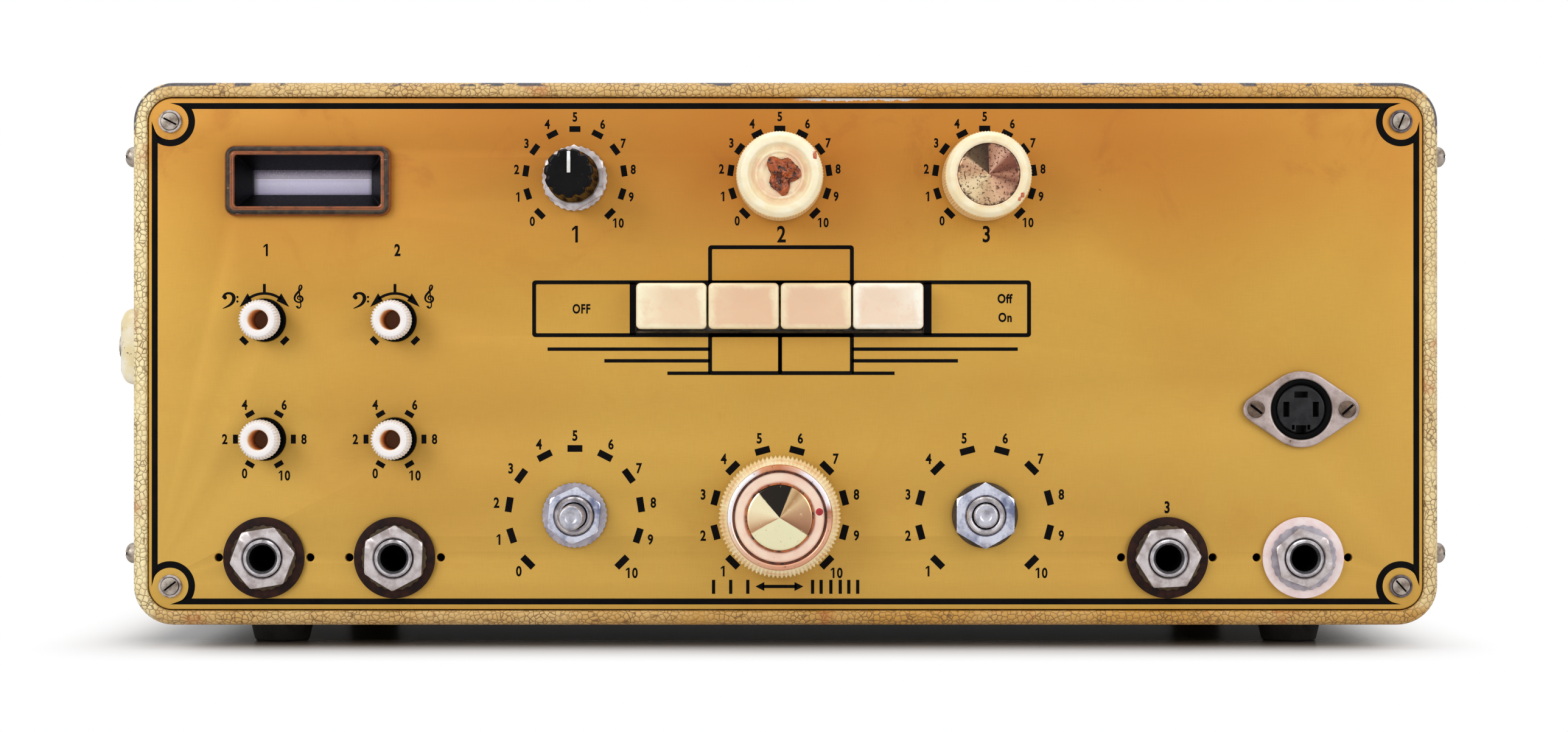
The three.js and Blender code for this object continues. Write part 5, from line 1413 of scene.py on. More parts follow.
def addSmallKnobs():
    finish = whiteKnobFinish()
    front, throat, radius = -smallKnob["proud"], smallKnob["throat"], smallKnob["radius"]
    floor, head, neck = front + smallKnob["hollowDeep"], front + smallKnob["head"], smallKnob["neck"]
    profile = [
        (0, floor), (throat, floor), (throat, front + 0.5), (throat + 0.35, front + 0.05),
        (radius - 0.9, front), (radius, front + 0.9), (radius, head - 0.1), (radius - 0.2, head),
        (throat + 0.6, head + 1.2), (throat + 0.6, floor + 0.5), (0, floor + 0.5),
    ]
    behind = [
        (0, floor + 0.6), (throat + 0.7, floor + 0.6), (throat + 0.7, head + 1.2), (neck, head - 0.1),
        (neck, smallKnob["behind"]), (2, smallKnob["behind"]), (2, 12), (0, 12),
    ]
    for node in knobPlaces:
        cap = turnedMesh(
            node, softened(profile, 0.45), smallKnob["ribs"] * 6, smallKnob["ribs"], smallKnob["ribDepth"],
            lambda own, depth: own > radius - 0.8 and front + 0.15 < depth < head,
        )
        mesh = joinedMesh(node, [cap, turnedMesh("neck", softened(behind, 0.2), 64)])
        addPiece(f"{node}_cap", mesh, [finish, blackAndShade], "knob_white", node, centreOn(node), [node], 50)
        # A black ring in the gap between the neck and the panel's hole: painted shade.
        well = turnedMesh("knob_shade_ring", ringProfile(neck + 0.12, panelCuts["smallKnob"], 0.25, 1.9), 64)
        addPiece(f"{node}_well", well, blackAndShade, "knob_black", at=centreOn(node))


addSmallKnobs()
print("small knobs made")


# Jack sockets
jack = {
    "fibreRadius": 9.95,
    "fibre": 0.9,
    "washerRadius": 8.05,
    "washer": 0.6,
    "nut": 1.6,
    "flats": {"input_1": 14, "input_2": 14, "input_3": 14, "output": 12.9},
    "turns": {"input_1": 9, "input_2": 28, "input_3": 3, "output": 40},
    "bushing": 4.6,
    "bore": 3.25,
    "gap": 0.3,
    "body": (18, 21, 26),
}
fibreBrown = plasticFinish(
    "washer_fibre", (50, 27, 21), (28, 17, 15), 0.45, 2.2, (92, 50, 30), 0.04, 0.04, 0.12,
)
washerWhite = plasticFinish(
    "washer_white", (240, 226, 224), (232, 208, 206), 0.35, 3.0, (206, 150, 122), 0.03, 0.02,
)
nickelWorn = metalFinish("nickel", (204, 197, 198), (162, 150, 148), 0.34, 0.7, (130, 84, 52), 0.06, size=1.6)
washerGrey = metalFinish(
    "washer_grey", (176, 170, 178), (140, 134, 144), 0.42, 0.7, (150, 110, 70), 0.03, size=1.8,
)
nickelBright = metalFinish(
    "nickel_bright", (206, 202, 206), (150, 146, 150), 0.24, 0.85, (120, 84, 60), 0.02, size=1.4,
)
socketBlack = plasticFinish("socket_black", (22, 21, 22), (34, 32, 32), 0.4, 4, gloss=0.3)


def nutMesh(name, flats, turn, front, back, hole):
    # A chamfered nut with its hole, from the front face to the back.
    corner = flats / math.sqrt(3)
    slope = 0.42
    rings = []
    start = flats / 2 + 0.3
    for limit in (start, start + 0.25, start + 0.5, corner):
        rings.append((front + (limit - start) * slope, nutLine(flats, turn, limit)))
    rings.append((back, nutLine(flats, turn, corner)))
    inner = circleLine(hole, 96)
    rings += [(back, inner), (front + 0.35, inner), (front, circleLine(hole + 0.3, 96))]
    return loftMesh(name, rings, loop=True)


def threadProfile(radius, deep, tip, first, pitch, turns):
    # The crests and roots of a thread, from its tip inwards.
    line = []
    for step in range(turns):
        crest = tip + first + step * pitch
        line += [(radius, crest), (radius - deep, crest + pitch / 2)]
    return line


def addJack(name):
    # From the panel outwards: fibre washer, lock washer, nut and bushing. The body is behind.
    centre = centreOn(f"jack_socket_{name}")
    bore, bushing = jack["bore"], jack["bushing"]
    hole, seat = bushing + 0.25, -jack["gap"]
    fibreFront = seat - jack["fibre"]
    washerFront = fibreFront - jack["washer"]
    nutFront = washerFront - jack["nut"]
    tip, back = nutFront - 0.4, boxOf(f"jack_socket_{name}")[1].y - panelFace
    under, lock = (washerWhite, washerGrey) if name == "output" else (fibreBrown, shadedZinc)
    flange = ringProfile(hole, jack["fibreRadius"], fibreFront, seat, 0.25)
    addTurned(f"jack_fibre_{name}", flange, under, "socket_black", count=72, at=centre)
    serrated = turnedMesh(
        "jack_washer", ringProfile(hole, jack["washerRadius"], washerFront, fibreFront), 144, 24, 0.3,
        lambda radius, depth: radius > jack["washerRadius"] - 0.3,
    )
    nut = nutMesh("jack_nut", jack["flats"][name], jack["turns"][name], nutFront, washerFront, hole)
    addPiece(
        f"jack_hexagon_{name}", joinedMesh("jack_hexagon", [serrated, nut]), [lock, nickelWorn], "nickel",
        at=centre, replaces=[f"jack_nut_{name}"], smooth=28,
    )
    profile = [
        (bore, back - 3), (bore, tip + 0.9), (bore + 0.55, tip), (bushing - 0.35, tip), (bushing, tip + 0.35),
        *threadProfile(bushing, 0.3, tip, 0.6, 0.6, 5), (bushing, 3.4), (bore + 0.8, 3.4),
        (bore + 0.8, back - 3), (bore, back - 3),
    ]
    # A black liner inside the bushing's bore: painted shade.
    reach, floor = bore - 0.12, back - 4
    tube = [
        (0, floor), (reach, floor), (reach, tip + 0.9), (bore + 0.03, tip + 0.9),
        (bore + 0.03, floor + 0.5), (0, floor + 0.5),
    ]
    sleeve = joinedMesh("jack_bushing", [turnedMesh("sleeve", profile, 72), turnedMesh("bore_shade_liner", tube, 48)])
    addPiece(f"jack_bushing_{name}", sleeve, [nickelBright, blackAndShade], "nickel", at=centre, smooth=40)
    wide, tall, deep = jack["body"]
    box = [
        (2.35, roundedLine(wide - 0.6, tall - 0.6, 1.0)), (2.7, roundedLine(wide, tall, 1.2)),
        (2.4 + deep, roundedLine(wide, tall, 1.2)),
    ]
    drill = circleLine(bore + 0.9, 36)
    body = cutMesh(loftMesh("jack_body", box), loftMesh("bore", [(0.2 + deep, drill), (1.6, drill)]))
    addPiece(
        f"jack_body_{name}", body, socketBlack, "socket_black", at=centre, replaces=[f"jack_socket_{name}"],
    )


for name in jackNames:
    addJack(name)
print("jacks made")


# Pots: bushings, washers, nuts and cans
pot = {
    "gap": 0.3,
    "bore": 3.35,
    "washer": 8.05,
    "thick": 0.95,
    "nut": 2.5,
    "bushing": 4.65,
    "tip": 0.6,
    "canFront": 5.3,
    "canDepth": 15,
}
chromeWorn = metalFinish(
    "chrome_worn", (214, 216, 230), (112, 118, 148), 0.16, 0.95, (70, 66, 74), 0.03, size=2.6,
)
canFinish = metalFinish("pot_can", (176, 172, 162), (140, 132, 118), 0.4, 0.8, (120, 96, 66), 0.02, size=4)


def potMeshes(flats, turn, serrations):
    bore, bushing = pot["bore"], pot["bushing"]
    front = -pot["gap"] - pot["thick"]
    washer = turnedMesh(
        "pot_washer", ringProfile(bushing, pot["washer"], front, -pot["gap"]), 216, serrations, 0.25,
        lambda radius, depth: radius > pot["washer"] - 0.3,
    )
    nut = nutMesh("pot_nut", flats, turn, front - pot["nut"], front, bushing + 0.15)
    top = front - pot["nut"] - pot["tip"]
    profile = [
        (bore, 6.0), (bore, top + 0.2), (3.6, top), (bushing - 0.4, top), (bushing, top + 0.4),
        *threadProfile(bushing, 0.25, top, 0.55, 0.5, 6), (bushing, 6.0), (bore, 6.0),
    ]
    return washer, nut, turnedMesh("pot_bushing", profile, 64)


def canMeshes(radius, front, back):
    # A pot's can and its three solder lugs.
    bore = pot["bore"]
    profile = [
        (bore, front), (radius - 1.2, front), (radius, front + 0.6), (radius, back - 1), (radius - 1, back),
        (0, back), (0, back - 0.8), (bore, back - 0.8), (bore, front),
    ]
    meshes = [turnedMesh("can", softened(profile, 0.4), 64)]
    middle = (front + back) / 2
    for x in (-5, 0, 5):
        low, high = (x - 1.1, middle - 0.4, -radius - 5.5), (x + 1.1, middle + 0.4, -radius + 1)
        meshes.append(blockMesh("lug", low, high, 0.2))
    return meshes


def addPot(name, centre, flats, turn, serrations, canRadius, nutFinish, washerFinish, extra=(), replaces=()):
    washer, nut, bushing = potMeshes(flats, turn, serrations)
    addPiece(f"{name}_washer", washer, washerFinish, "nickel", at=centre)
    addPiece(f"{name}_nut", nut, nutFinish, "nickel", at=centre, smooth=28)
    addPiece(f"{name}_bushing", bushing, nickelBright, "nickel", at=centre, smooth=40)
    can = canMeshes(canRadius, pot["canFront"], pot["canFront"] + pot["canDepth"])
    mesh = sameFinish(f"{name}_can", [*can, *extra])
    addPiece(f"{name}_can", mesh, canFinish, "plated_zinc", at=centre, replaces=replaces)


addPot("reverb", centreOn("reverb_pot"), 12.4, 24.7, 36, 14, chromeWorn, washerGrey, replaces=["reverb_pot"])
addPot("tone", centreOn("tone_pot"), 14.1, 30, 0, 14, chromeWorn, shadedZinc, replaces=["tone_pot"])
for number in (1, 2, 3):
    strap = []
    if number == 2:
        low, high = boxOf("head_pots")
        half = (high.x - low.x) / 2 - 0.4
        strap = [blockMesh("strap", (-half, 2.4, -8), (half, 3.8, 8), 0.4)]
    addPot(
        f"head_{number}", centreOn(f"head_knob_{number}"), 14.1, 30, 30, 12, nickelWorn, nickelWorn,
        strap, ["head_pots"] if number == 2 else [],
    )
print("pots made")


# Bare spindles
spindleFinish = metalFinish(
    "spindle_steel", (196, 196, 206), (146, 146, 158), 0.28, 0.8, (120, 90, 70), 0.02, size=1.5,
)
spindleRadius = 3.0
spindleTip = [(0, 0.25), (1.1, 0.2), (1.5, 0), (2.6, 0), (3.0, 0.45), (3.0, 1.6), (2.8, 1.9), (3.0, 2.2)]
for node in ("reverb_spindle", "tone_spindle"):
    low, high = boxOf(node)
    back = high.y - panelFace
    profile = [*fromBase(spindleTip, low.y - panelFace), (spindleRadius, back), (0, back)]
    where = {"body": node, "at": centreOn(node), "replaces": [node]}
    addTurned(f"{node}_rod", profile, spindleFinish, "spindle_steel", 0.15, **where)


# Echo head knobs
knobBack = -(2 * pot["gap"] + pot["thick"] + pot["nut"] + pot["tip"])  # Just clear of the pot's bushing.
# Each row of the crown and skirt is a depth, how far the outline is drawn in, and how deep the flutes are.
flutedKnob = {
    "radius": 5.95,
    "flute": 0.6,
    "flutes": 11,
    "proud": 21,
    "crown": [
        (0.35, 3.4, 0.1), (0.12, 2.4, 0.4), (0.0, 1.2, 0.8),
        (0.1, 0.6, 1.0), (0.4, 0.18, 1.0), (0.9, 0.0, 1.0),
    ],
    "skirt": [(-9.5, 0.0, 1.0), (-8.7, -0.35, 0.35), (-8.4, -0.4, 0.1)],
    "pointer": ((-0.42, -0.03, 0.1), (0.42, 0.45, 5.2), 0.12),
    "stripe": ((-0.42, 0.35, 4.9), (0.42, 3.2, 5.24), 0.1),
}
dishedKnob = {
    "radius": 10.6,
    "rim": 9.75,
    "dish": 7.55,
    "proud": 15,
    "ribs": 90,
    "ribDepth": 0.3,
    "lift": 0.6,
}
redMarks = {
    2: [((7.9, 0.02, 3.6), (8.9, 0.5, 5.0), 0.2), ((8.3, 0.06, 4.6), (8.8, 0.6, 5.6), 0.15)],
    3: [((7.6, -0.02, -5.6), (8.5, 0.5, -4.4), 0.2), ((7.0, 0, -6.4), (7.7, 0.5, -5.5), 0.2)],
}
blackGloss = plasticFinish("knob_black", (8, 8, 10), (13, 12, 14), 0.16, 4, bump=0.01, gloss=0.1)
pointerWhite = plasticFinish("pointer_white", (240, 240, 240), (220, 218, 214), 0.4, 2)
brassWorn = metalFinish(
    "brass_worn", (206, 160, 110), (140, 92, 56), 0.25, 0.85, (74, 44, 26), 0.05, size=1.6,
)


def flutedLine(shrink, deep):
    line = []
    count = flutedKnob["flutes"] * 16
    for step in range(count):
        angle = 2 * math.pi * step / count
        hollow = max(0.0, math.cos(angle * flutedKnob["flutes"])) ** 1.5
        radius = flutedKnob["radius"] - shrink - flutedKnob["flute"] * hollow * deep
        line.append((radius * math.sin(angle), radius * math.cos(angle)))
    return line


def addFlutedKnob():
    node = "head_knob_1"
    centre = centreOn(node)
    front = -flutedKnob["proud"]
    rows = [(front + depth, shrink, deep) for depth, shrink, deep in flutedKnob["crown"]]
    rows += [*flutedKnob["skirt"], (knobBack + 0.2, -0.4, 0.0), (knobBack, -0.1, 0.0)]
    body = loftMesh("fluted_knob", [(depth, flutedLine(shrink, deep)) for depth, shrink, deep in rows])
    addPiece("fluted_knob", body, blackGloss, "knob_black", node, centre, [node], 40)
    marks = [blockMesh("mark", *flutedKnob[key]) for key in ("pointer", "stripe")]
    pointer = moved(sameFinish("fluted_pointer", marks), y=front)
    addPiece("fluted_pointer", pointer, pointerWhite, "knob_white", node, centre)
    shaft = [(0, knobBack - 0.5), (spindleRadius, knobBack - 0.5), (spindleRadius, 14), (0, 14)]
    addTurned("fluted_shaft", shaft, spindleFinish, "spindle_steel", count=40, body=node, at=centre)


def creamFinish(name, base, other, blush, blushReach, side=0.0):
    # Cream plastic with yellowed skin, pale worn places and a reddish blush around a radius.
    inside = {"Subsurface_Weight": 0.1, "Subsurface_Radius": scatterReach}
    finish, shader, place = newFinish(name, Roughness=0.3, **inside)
    depth, reach = turnedPlace(place)
    cloud = noiseOn(place, 5, 5, 0.6, 0.4)
    colour = mixOn(stepOn(cloud, 0.35, 0.65), base, other)
    colour = mixOn(stepOn(depth, -0.0146, -0.0125, 0.0, side), colour, (244, 206, 144))
    inner, outer = blushReach
    near = stepOn(reach, inner * mm, (inner + 0.7) * mm)
    far = stepOn(reach, (outer - 0.7) * mm, outer * mm, 1.0, 0.0)
    ring = near * far * stepOn(noiseOn(place, 2.5, 5, 0.6), 0.35, 0.62)
    colour = mixOn(ring, colour, blush)
    specks = stepOn(noiseOn(place, 0.9, 5, 0.6), 0.72, 0.76, 0.0, 0.7)
    colour = mixOn(specks, colour, (186, 110, 70))
    plug(shader, Base_Color=colour)
    bumpOn(shader, noiseOn(place, 0.6, 5, 0.6), 0.015, 0.5)
    return finish


def spunFinish(name, stops, tarnish, patchy, pitted, rim):
    # Spun sheet with painted reflections: its brightness runs round the middle in soft wedges. It has pits
    # and tarnish as well.
    finish, shader, place = newFinish(name, Metallic=0.7)
    turned = stretched(place, turn=(90, 0, 0))
    wedge = flowIn("TexGradient", {"Vector": turned}, gradient_type="RADIAL", output="Fac")
    wedge = wedge + noiseOn(place, 3, 4, 0.6) * 0.015
    colour = rampOn(wedge, stops)
    rings = turnedPlace(place)[1]
    grooves = mathOn("SINE", rings * (2 * math.pi / (0.22 * mm)))
    patches = stepOn(noiseOn(place, 2.4, 7, 0.7, 0.3), patchy, patchy + 0.1, 0.0, 0.75)
    colour = mixOn(patches, colour, tarnish)
    pits = stepOn(noiseOn(place, 0.6, 5, 0.6), pitted, pitted + 0.03, 0.0, 0.85)
    grime = stepOn(noiseOn(place, 1.2, 5, 0.7), 0.42, 0.55)
    pits = mathOn("MAXIMUM", pits, stepOn(rings, (rim - 0.9) * mm, rim * mm) * grime)
    colour = mixOn(pits, colour, (58, 34, 22))
    plug(shader, Base_Color=colour, Roughness=stepOn(patches, 0.0, 0.8, 0.22, 0.5))
    bumpOn(shader, grooves, 0.008, 0.25)
    return finish


def dishedBody(node, name, finish, floor, centreDepth):
    # floor and centreDepth are the depths of the dish and of its middle behind the knob's front.
    front = -dishedKnob["proud"]
    radius, rim, dish, lift = (dishedKnob[key] for key in ("radius", "rim", "dish", "lift"))
    face = [
        (0, centreDepth), (3.6, centreDepth), (4.3, floor - 0.15), (5.1, floor), (5.4, floor - 0.45),
        (5.9, floor - 0.45), (6.2, floor), (dish - 0.4, floor), (dish, 0.25), (dish + 0.35, 0),
        (rim - 0.5, 0.05), (radius - 0.15, 1.5), (radius, 2.2),
    ]
    profile = fromBase(face, front) + [
        (radius, -2.2), (radius - 0.1, -lift), (9.0, -lift), (9.0, knobBack), (spindleRadius, knobBack),
        (spindleRadius, 14), (0, 14),
    ]
    mesh = turnedMesh(
        name, softened(profile, 0.4), dishedKnob["ribs"] * 4, dishedKnob["ribs"], dishedKnob["ribDepth"],
        lambda own, depth: own > radius - 0.35 and front + 1.6 < depth < -1.5,
    )
    addPiece(name, mesh, finish, "knob_cream", node, centreOn(node), [node], 45)


def addRedMark(number):
    # What is left of a red mark on a knob's rim.
    node = f"head_knob_{number}"
    mesh = sameFinish("red_mark", [blockMesh("mark", *block) for block in redMarks[number]])
    moved(mesh, y=-dishedKnob["proud"])
    addPiece(f"red_mark_{number}", mesh, redMark, "knob_cream", node, centreOn(node))


creamTwo = creamFinish("knob_cream_bare", (250, 241, 212), (244, 229, 188), (238, 202, 166), (3.4, 7.3), 0.6)
# Knob 3's reddish ring, against its cap's edge, is painted shade.
creamThree = creamFinish(
    "knob_cream_capped", (248, 237, 204), (240, 222, 178), (230, 176, 134), (7.4, 8.3), 0.6,
)
grooveBrown = metalFinish("groove_brown", (112, 58, 34), (66, 30, 18), 0.45, 0.3, (34, 16, 10), 0.2, size=1.2)
rustFinish = metalFinish("rusty_ring", (186, 104, 52), (112, 48, 22), 0.7, 0.15, (48, 20, 12), 0.2, size=1.5)
amberFinish = metalFinish("burnt_amber", (176, 82, 26), (100, 40, 12), 0.3, 0.05, (30, 12, 6), 0.2, size=1.4)
redMark = plasticFinish("red_mark", (176, 74, 44), (206, 120, 80), 0.5, 0.8)


def colletMesh(front):
    # The rusty lump in the middle of the knob that has lost its cap, with the slot in its end.
    lump = bmesh.new()
    bmesh.ops.create_icosphere(lump, subdivisions=5, radius=1)
    for vertex in lump.verts:
        place = vertex.co.copy()
        angle = math.atan2(place.z, place.x)
        reach = 3.1 + 0.55 * math.sin(3 * angle + 0.6) + 0.4 * math.sin(5 * angle + 2.0)
        grain = noise.fractal(place * 2.6, 0.8, 2.2, 5)
        rough = noise.fractal(place * 7.0 + Vector((3, 1, 4)), 0.7, 2.2, 4)
        deep = place.y * (1.25 + 0.35 * grain + 0.25 * rough)
        vertex.co = Vector((place.x * reach * 1.18 + 0.5, deep, place.z * reach * 1.42))
        vertex.co += place * (0.22 * grain + 0.16 * rough)
    mesh = bpy.data.meshes.new("collet")
    bmesh.ops.scale(lump, vec=(mm, mm, mm), verts=lump.verts)
    lump.to_mesh(mesh)
    lump.free()
    moved(mesh, 0.2, front + 1.55, 0.1)
    return cutMesh(mesh, blockMesh("hole", (-0.75, front - 1, -0.9), (0.55, front + 1.6, 0.45), 0))


def addBareKnob():
    node = "head_knob_2"
    dishedBody(node, "dished_knob_2", creamTwo, 1.5, 1.7)
    collet = colletMesh(-dishedKnob["proud"])
    addPiece("rusty_collet", collet, amberFinish, "nickel", node, centreOn(node), smooth=60)
    addRedMark(2)


# Painted reflections: the brightness round the caps and the ring, as shares of a turn.
capReflections = [
    (0.0, (206, 168, 128)), (0.063, (196, 150, 116)), (0.105, (214, 176, 140)), (0.124, (98, 78, 56)),
    (0.202, (78, 60, 44)), (0.25, (56, 40, 34)), (0.262, (160, 112, 86)), (0.355, (214, 166, 140)),
    (0.396, (138, 84, 64)), (0.466, (106, 60, 46)), (0.507, (176, 122, 96)), (0.549, (124, 78, 60)),
    (0.62, (206, 156, 126)), (0.7, (226, 184, 146)), (0.785, (204, 166, 126)), (0.855, (232, 206, 160)),
    (0.938, (236, 212, 170)), (1.0, (206, 168, 128)),
]


def addCappedKnob():
    node = "head_knob_3"
    dishedBody(node, "dished_knob_3", creamThree, 0.9, 0.9)
    front = -dishedKnob["proud"]
    where = {"body": node, "at": centreOn(node)}
    finish = spunFinish("cap_tarnish_and_reflections", capReflections, (108, 62, 44), 0.55, 0.57, 7.4)
    cap = fromBase([(0, -0.35), (0.5, -0.33), (7.0, 0.25), (7.55, 0.45), (7.55, 1.0), (0, 1.0)], front)
    addTurned("spun_cap_3", cap, finish, "nickel", 0.25, 96, 4, **where)
    ring = ringProfile(7.45, 7.78, front + 0.3, front + 1.0, 0.1)
    addTurned("spun_cap_ring_3", ring, grooveBrown, "nickel", count=96, **where)
    addRedMark(3)


addFlutedKnob()
addBareKnob()
addCappedKnob()
print("head knobs made")


# Duration knob
gear = {"pitch": 6, "teeth": 12, "root": 4.8, "tip": 6.7, "pressure": 20, "play": 0.25}
# Its rings' profiles are radius and depth behind the knob's front.
duration = {
    "radius": 14.8,
    "ribs": 87,
    "ribDepth": 0.65,
    "proud": 13,
    "dotReach": 9.65,
    "dotTurn": 81.7,
    "ring": [(11.4, 1.6), (11.4, 0.4), (11.65, 0.1), (12.55, 0.3), (12.85, 1.3), (12.6, 1.9), (11.4, 1.6)],
    "gap": [(10.7, 2.0), (10.7, 1.15), (11.6, 1.15), (11.6, 2.0), (10.7, 2.0)],
    "face": [(0, 4), (0, 1.0), (8.2, 1.0), (8.6, 0.75), (10.45, 0.8), (10.85, 1.1), (10.85, 4), (0, 4)],
    "cap": [(0, -0.4), (0.6, -0.36), (7.5, 0.2), (8.0, 0.45), (8.0, 1.3), (0, 1.3)],
    "cap_ring": [(7.95, 1.2), (7.95, 0.3), (8.3, 0.3), (8.35, 1.2), (7.95, 1.2)],
    "dot": [(0, 0.62), (0.8, 0.66), (0.92, 0.8), (0.92, 1.3), (0, 1.3)],
    # Painted reflections round the ring and the cap, as shares of a turn.
    "ringReflections": [
        (0.0, (240, 236, 238)), (0.165, (243, 240, 244)), (0.2, (214, 152, 114)), (0.2575, (198, 126, 86)),
        (0.315, (224, 178, 156)), (0.345, (241, 234, 242)), (0.46, (240, 232, 238)), (0.485, (170, 108, 80)),
        (0.53, (224, 172, 144)), (0.76, (222, 162, 130)), (0.88, (230, 188, 160)), (0.965, (236, 208, 188)),
        (1.0, (240, 236, 238)),
    ],
    "capReflections": [
        (0.0, (232, 208, 168)), (0.063, (242, 230, 190)), (0.142, (238, 226, 186)), (0.148, (34, 27, 20)),
        (0.315, (28, 22, 16)), (0.321, (214, 182, 136)), (0.36, (172, 130, 86)), (0.4, (216, 184, 140)),
        (0.45, (194, 154, 116)), (0.535, (174, 128, 96)), (0.593, (146, 102, 72)), (0.599, (240, 236, 194)),
        (0.925, (240, 234, 192)), (0.931, (184, 134, 94)), (0.985, (226, 198, 156)), (1.0, (232, 208, 168)),
    ],
}


def involute(radius):
    angle = math.acos(min(1, gear["pitch"] * math.cos(math.radians(gear["pressure"])) / radius))
    return math.tan(angle) - angle


def gearLine():
    # Outline of the pinion, one flank of each tooth after the other.
    pitch, count = gear["pitch"], gear["teeth"]
    radii = [gear["root"], pitch * math.cos(math.radians(gear["pressure"])), pitch, gear["tip"]]
    flanks = [(radius, -1) for radius in radii] + [(radius, 1) for radius in reversed(radii)]
    line = []
    for tooth in range(count):
        for radius, side in flanks:
            half = math.pi / (2 * count) - gear["play"] / pitch + involute(pitch) - involute(radius)
            angle = 2 * math.pi * tooth / count + side * half
            line.append((radius * math.sin(angle), radius * math.cos(angle)))
    return line


def addDurationKnob():
    node = "duration_knob"
    where = {"body": node, "at": centreOn(node)}
    front, radius = -duration["proud"], duration["radius"]
    lip = fromBase([(12.7, 1.6), (12.75, 1.1), (radius - 0.9, 1.9), (radius, 3.0)], front)
    inside = fromBase([(spindleRadius, 4), (12.7, 4), (12.7, 1.6)], front)
    behind = [(radius, -2.0), (radius - 0.3, -0.6), (11, -0.6), (11, -5.0), (spindleRadius, -5.0)]
    profile = lip + behind + inside
    ribs = duration["ribs"]
    skirt = turnedMesh(
        "duration_skirt", softened(profile, 0.35), ribs * 5, ribs, duration["ribDepth"],
        lambda own, depth: own > 13.2 and depth > front + 1.2,
    )
    cream = creamFinish("duration_cream", (246, 230, 188), (240, 214, 162), (226, 170, 120), (13.2, 14.2))
    addPiece("duration_skirt", skirt, cream, "knob_cream", replaces=[node], smooth=50, **where)
    roseGold = spunFinish("rose_gold", duration["ringReflections"], (156, 92, 58), 0.6, 0.64, 13.6)
    pink = creamFinish("duration_face", (246, 222, 200), (240, 206, 184), (226, 150, 120), (8.0, 9.0))
    brass = spunFinish("cap_brass", duration["capReflections"], (232, 200, 156), 0.62, 0.68, 8.6)
    for key, finish, slot, *shape in (
        ("ring", roseGold, "nickel", 0.18, 128),
        ("gap", grooveBrown, "plated_zinc", 0, 96),
        ("face", pink, "knob_cream", 0.2, 96),
        ("cap", brass, "nickel", 0.25, 96, 4),
        ("cap_ring", rustFinish, "nickel", 0.1, 96),
    ):
        addTurned(f"duration_{key}", fromBase(duration[key], front), finish, slot, *shape, **where)
    turn, reach = math.radians(duration["dotTurn"]), duration["dotReach"]
    dot = turnedMesh("duration_dot", softened(fromBase(duration["dot"], front), 0.1), 32)
    moved(dot, reach * math.sin(turn), 0, reach * math.cos(turn))
    red = plasticFinish("dot_red", (190, 34, 44), (150, 24, 34), 0.35, 1.0)
    addPiece("duration_dot", dot, red, "knob_cream", **where)
    back, gearFront = boxOf(node)[1].y - panelFace, boxOf("head_carriage")[0].y - panelFace
    rod = [(0, -6), (spindleRadius, -6), (spindleRadius, back - 0.3), (2.7, back), (0, back)]
    pinion = loftMesh("duration_pinion", [(gearFront - 0.1, gearLine()), (gearFront + 3.9, gearLine())])
    shaft = joinedMesh("duration_shaft", [turnedMesh("rod", rod, 48), pinion])
    addPiece("duration_shaft", shaft, [spindleFinish, brassWorn], "spindle_steel", smooth=30, **where)


addDurationKnob()
print("duration knob made")


# Round multi-pin socket
brownScrew = metalFinish("screw_brown", (112, 94, 80), (70, 54, 44), 0.45, 0.6, (66, 40, 26), 0.14, size=1.0)
din = {"flange": 9.35, "ear": 3.1, "reach": 11.15, "thick": 1.2}
dinLines = {
    "shell": [(7.45, -1.2), (8.3, -0.4), (8.3, 12), (7.45, 12), (7.45, -1.2)],
    "ring": [
        (6.1, 1.2), (6.1, -0.8), (6.5, -1.25), (7.2, -1.25),
        (7.42, -0.9), (7.42, 4.0), (6.1, 4.0), (6.1, 1.2),
    ],
    "insert": [(0, -0.8), (5.6, -0.8), (5.95, -0.5), (5.95, 9), (7.05, 9), (7.05, 12), (0, 12)],
    # Each slot in the insert is its middle, width and height.
    "slots": [
        (-3.6, 0, 1.5, 3.7), (3.6, 0, 1.5, 3.7), (0, 3.6, 3.3, 1.5), (0, -5.2, 2.6, 2.6),
        (-1.9, -4.4, 0.7, 1.2), (1.9, -4.4, 0.7, 1.2),
    ],
}


def earLine(steps=16):
    # A round flange with an ear at each side.
    flange, ear, reach = din["flange"], din["ear"], din["reach"]
    tangent = math.degrees(math.acos((flange - ear) / reach))
    line = arcLine(ear, -tangent, tangent, steps, reach)
    line += arcLine(flange, tangent, 180 - tangent, steps)
    line += arcLine(ear, 180 - tangent, 180 + tangent, steps, -reach)
    return line + arcLine(flange, 180 + tangent, 360 - tangent, steps)


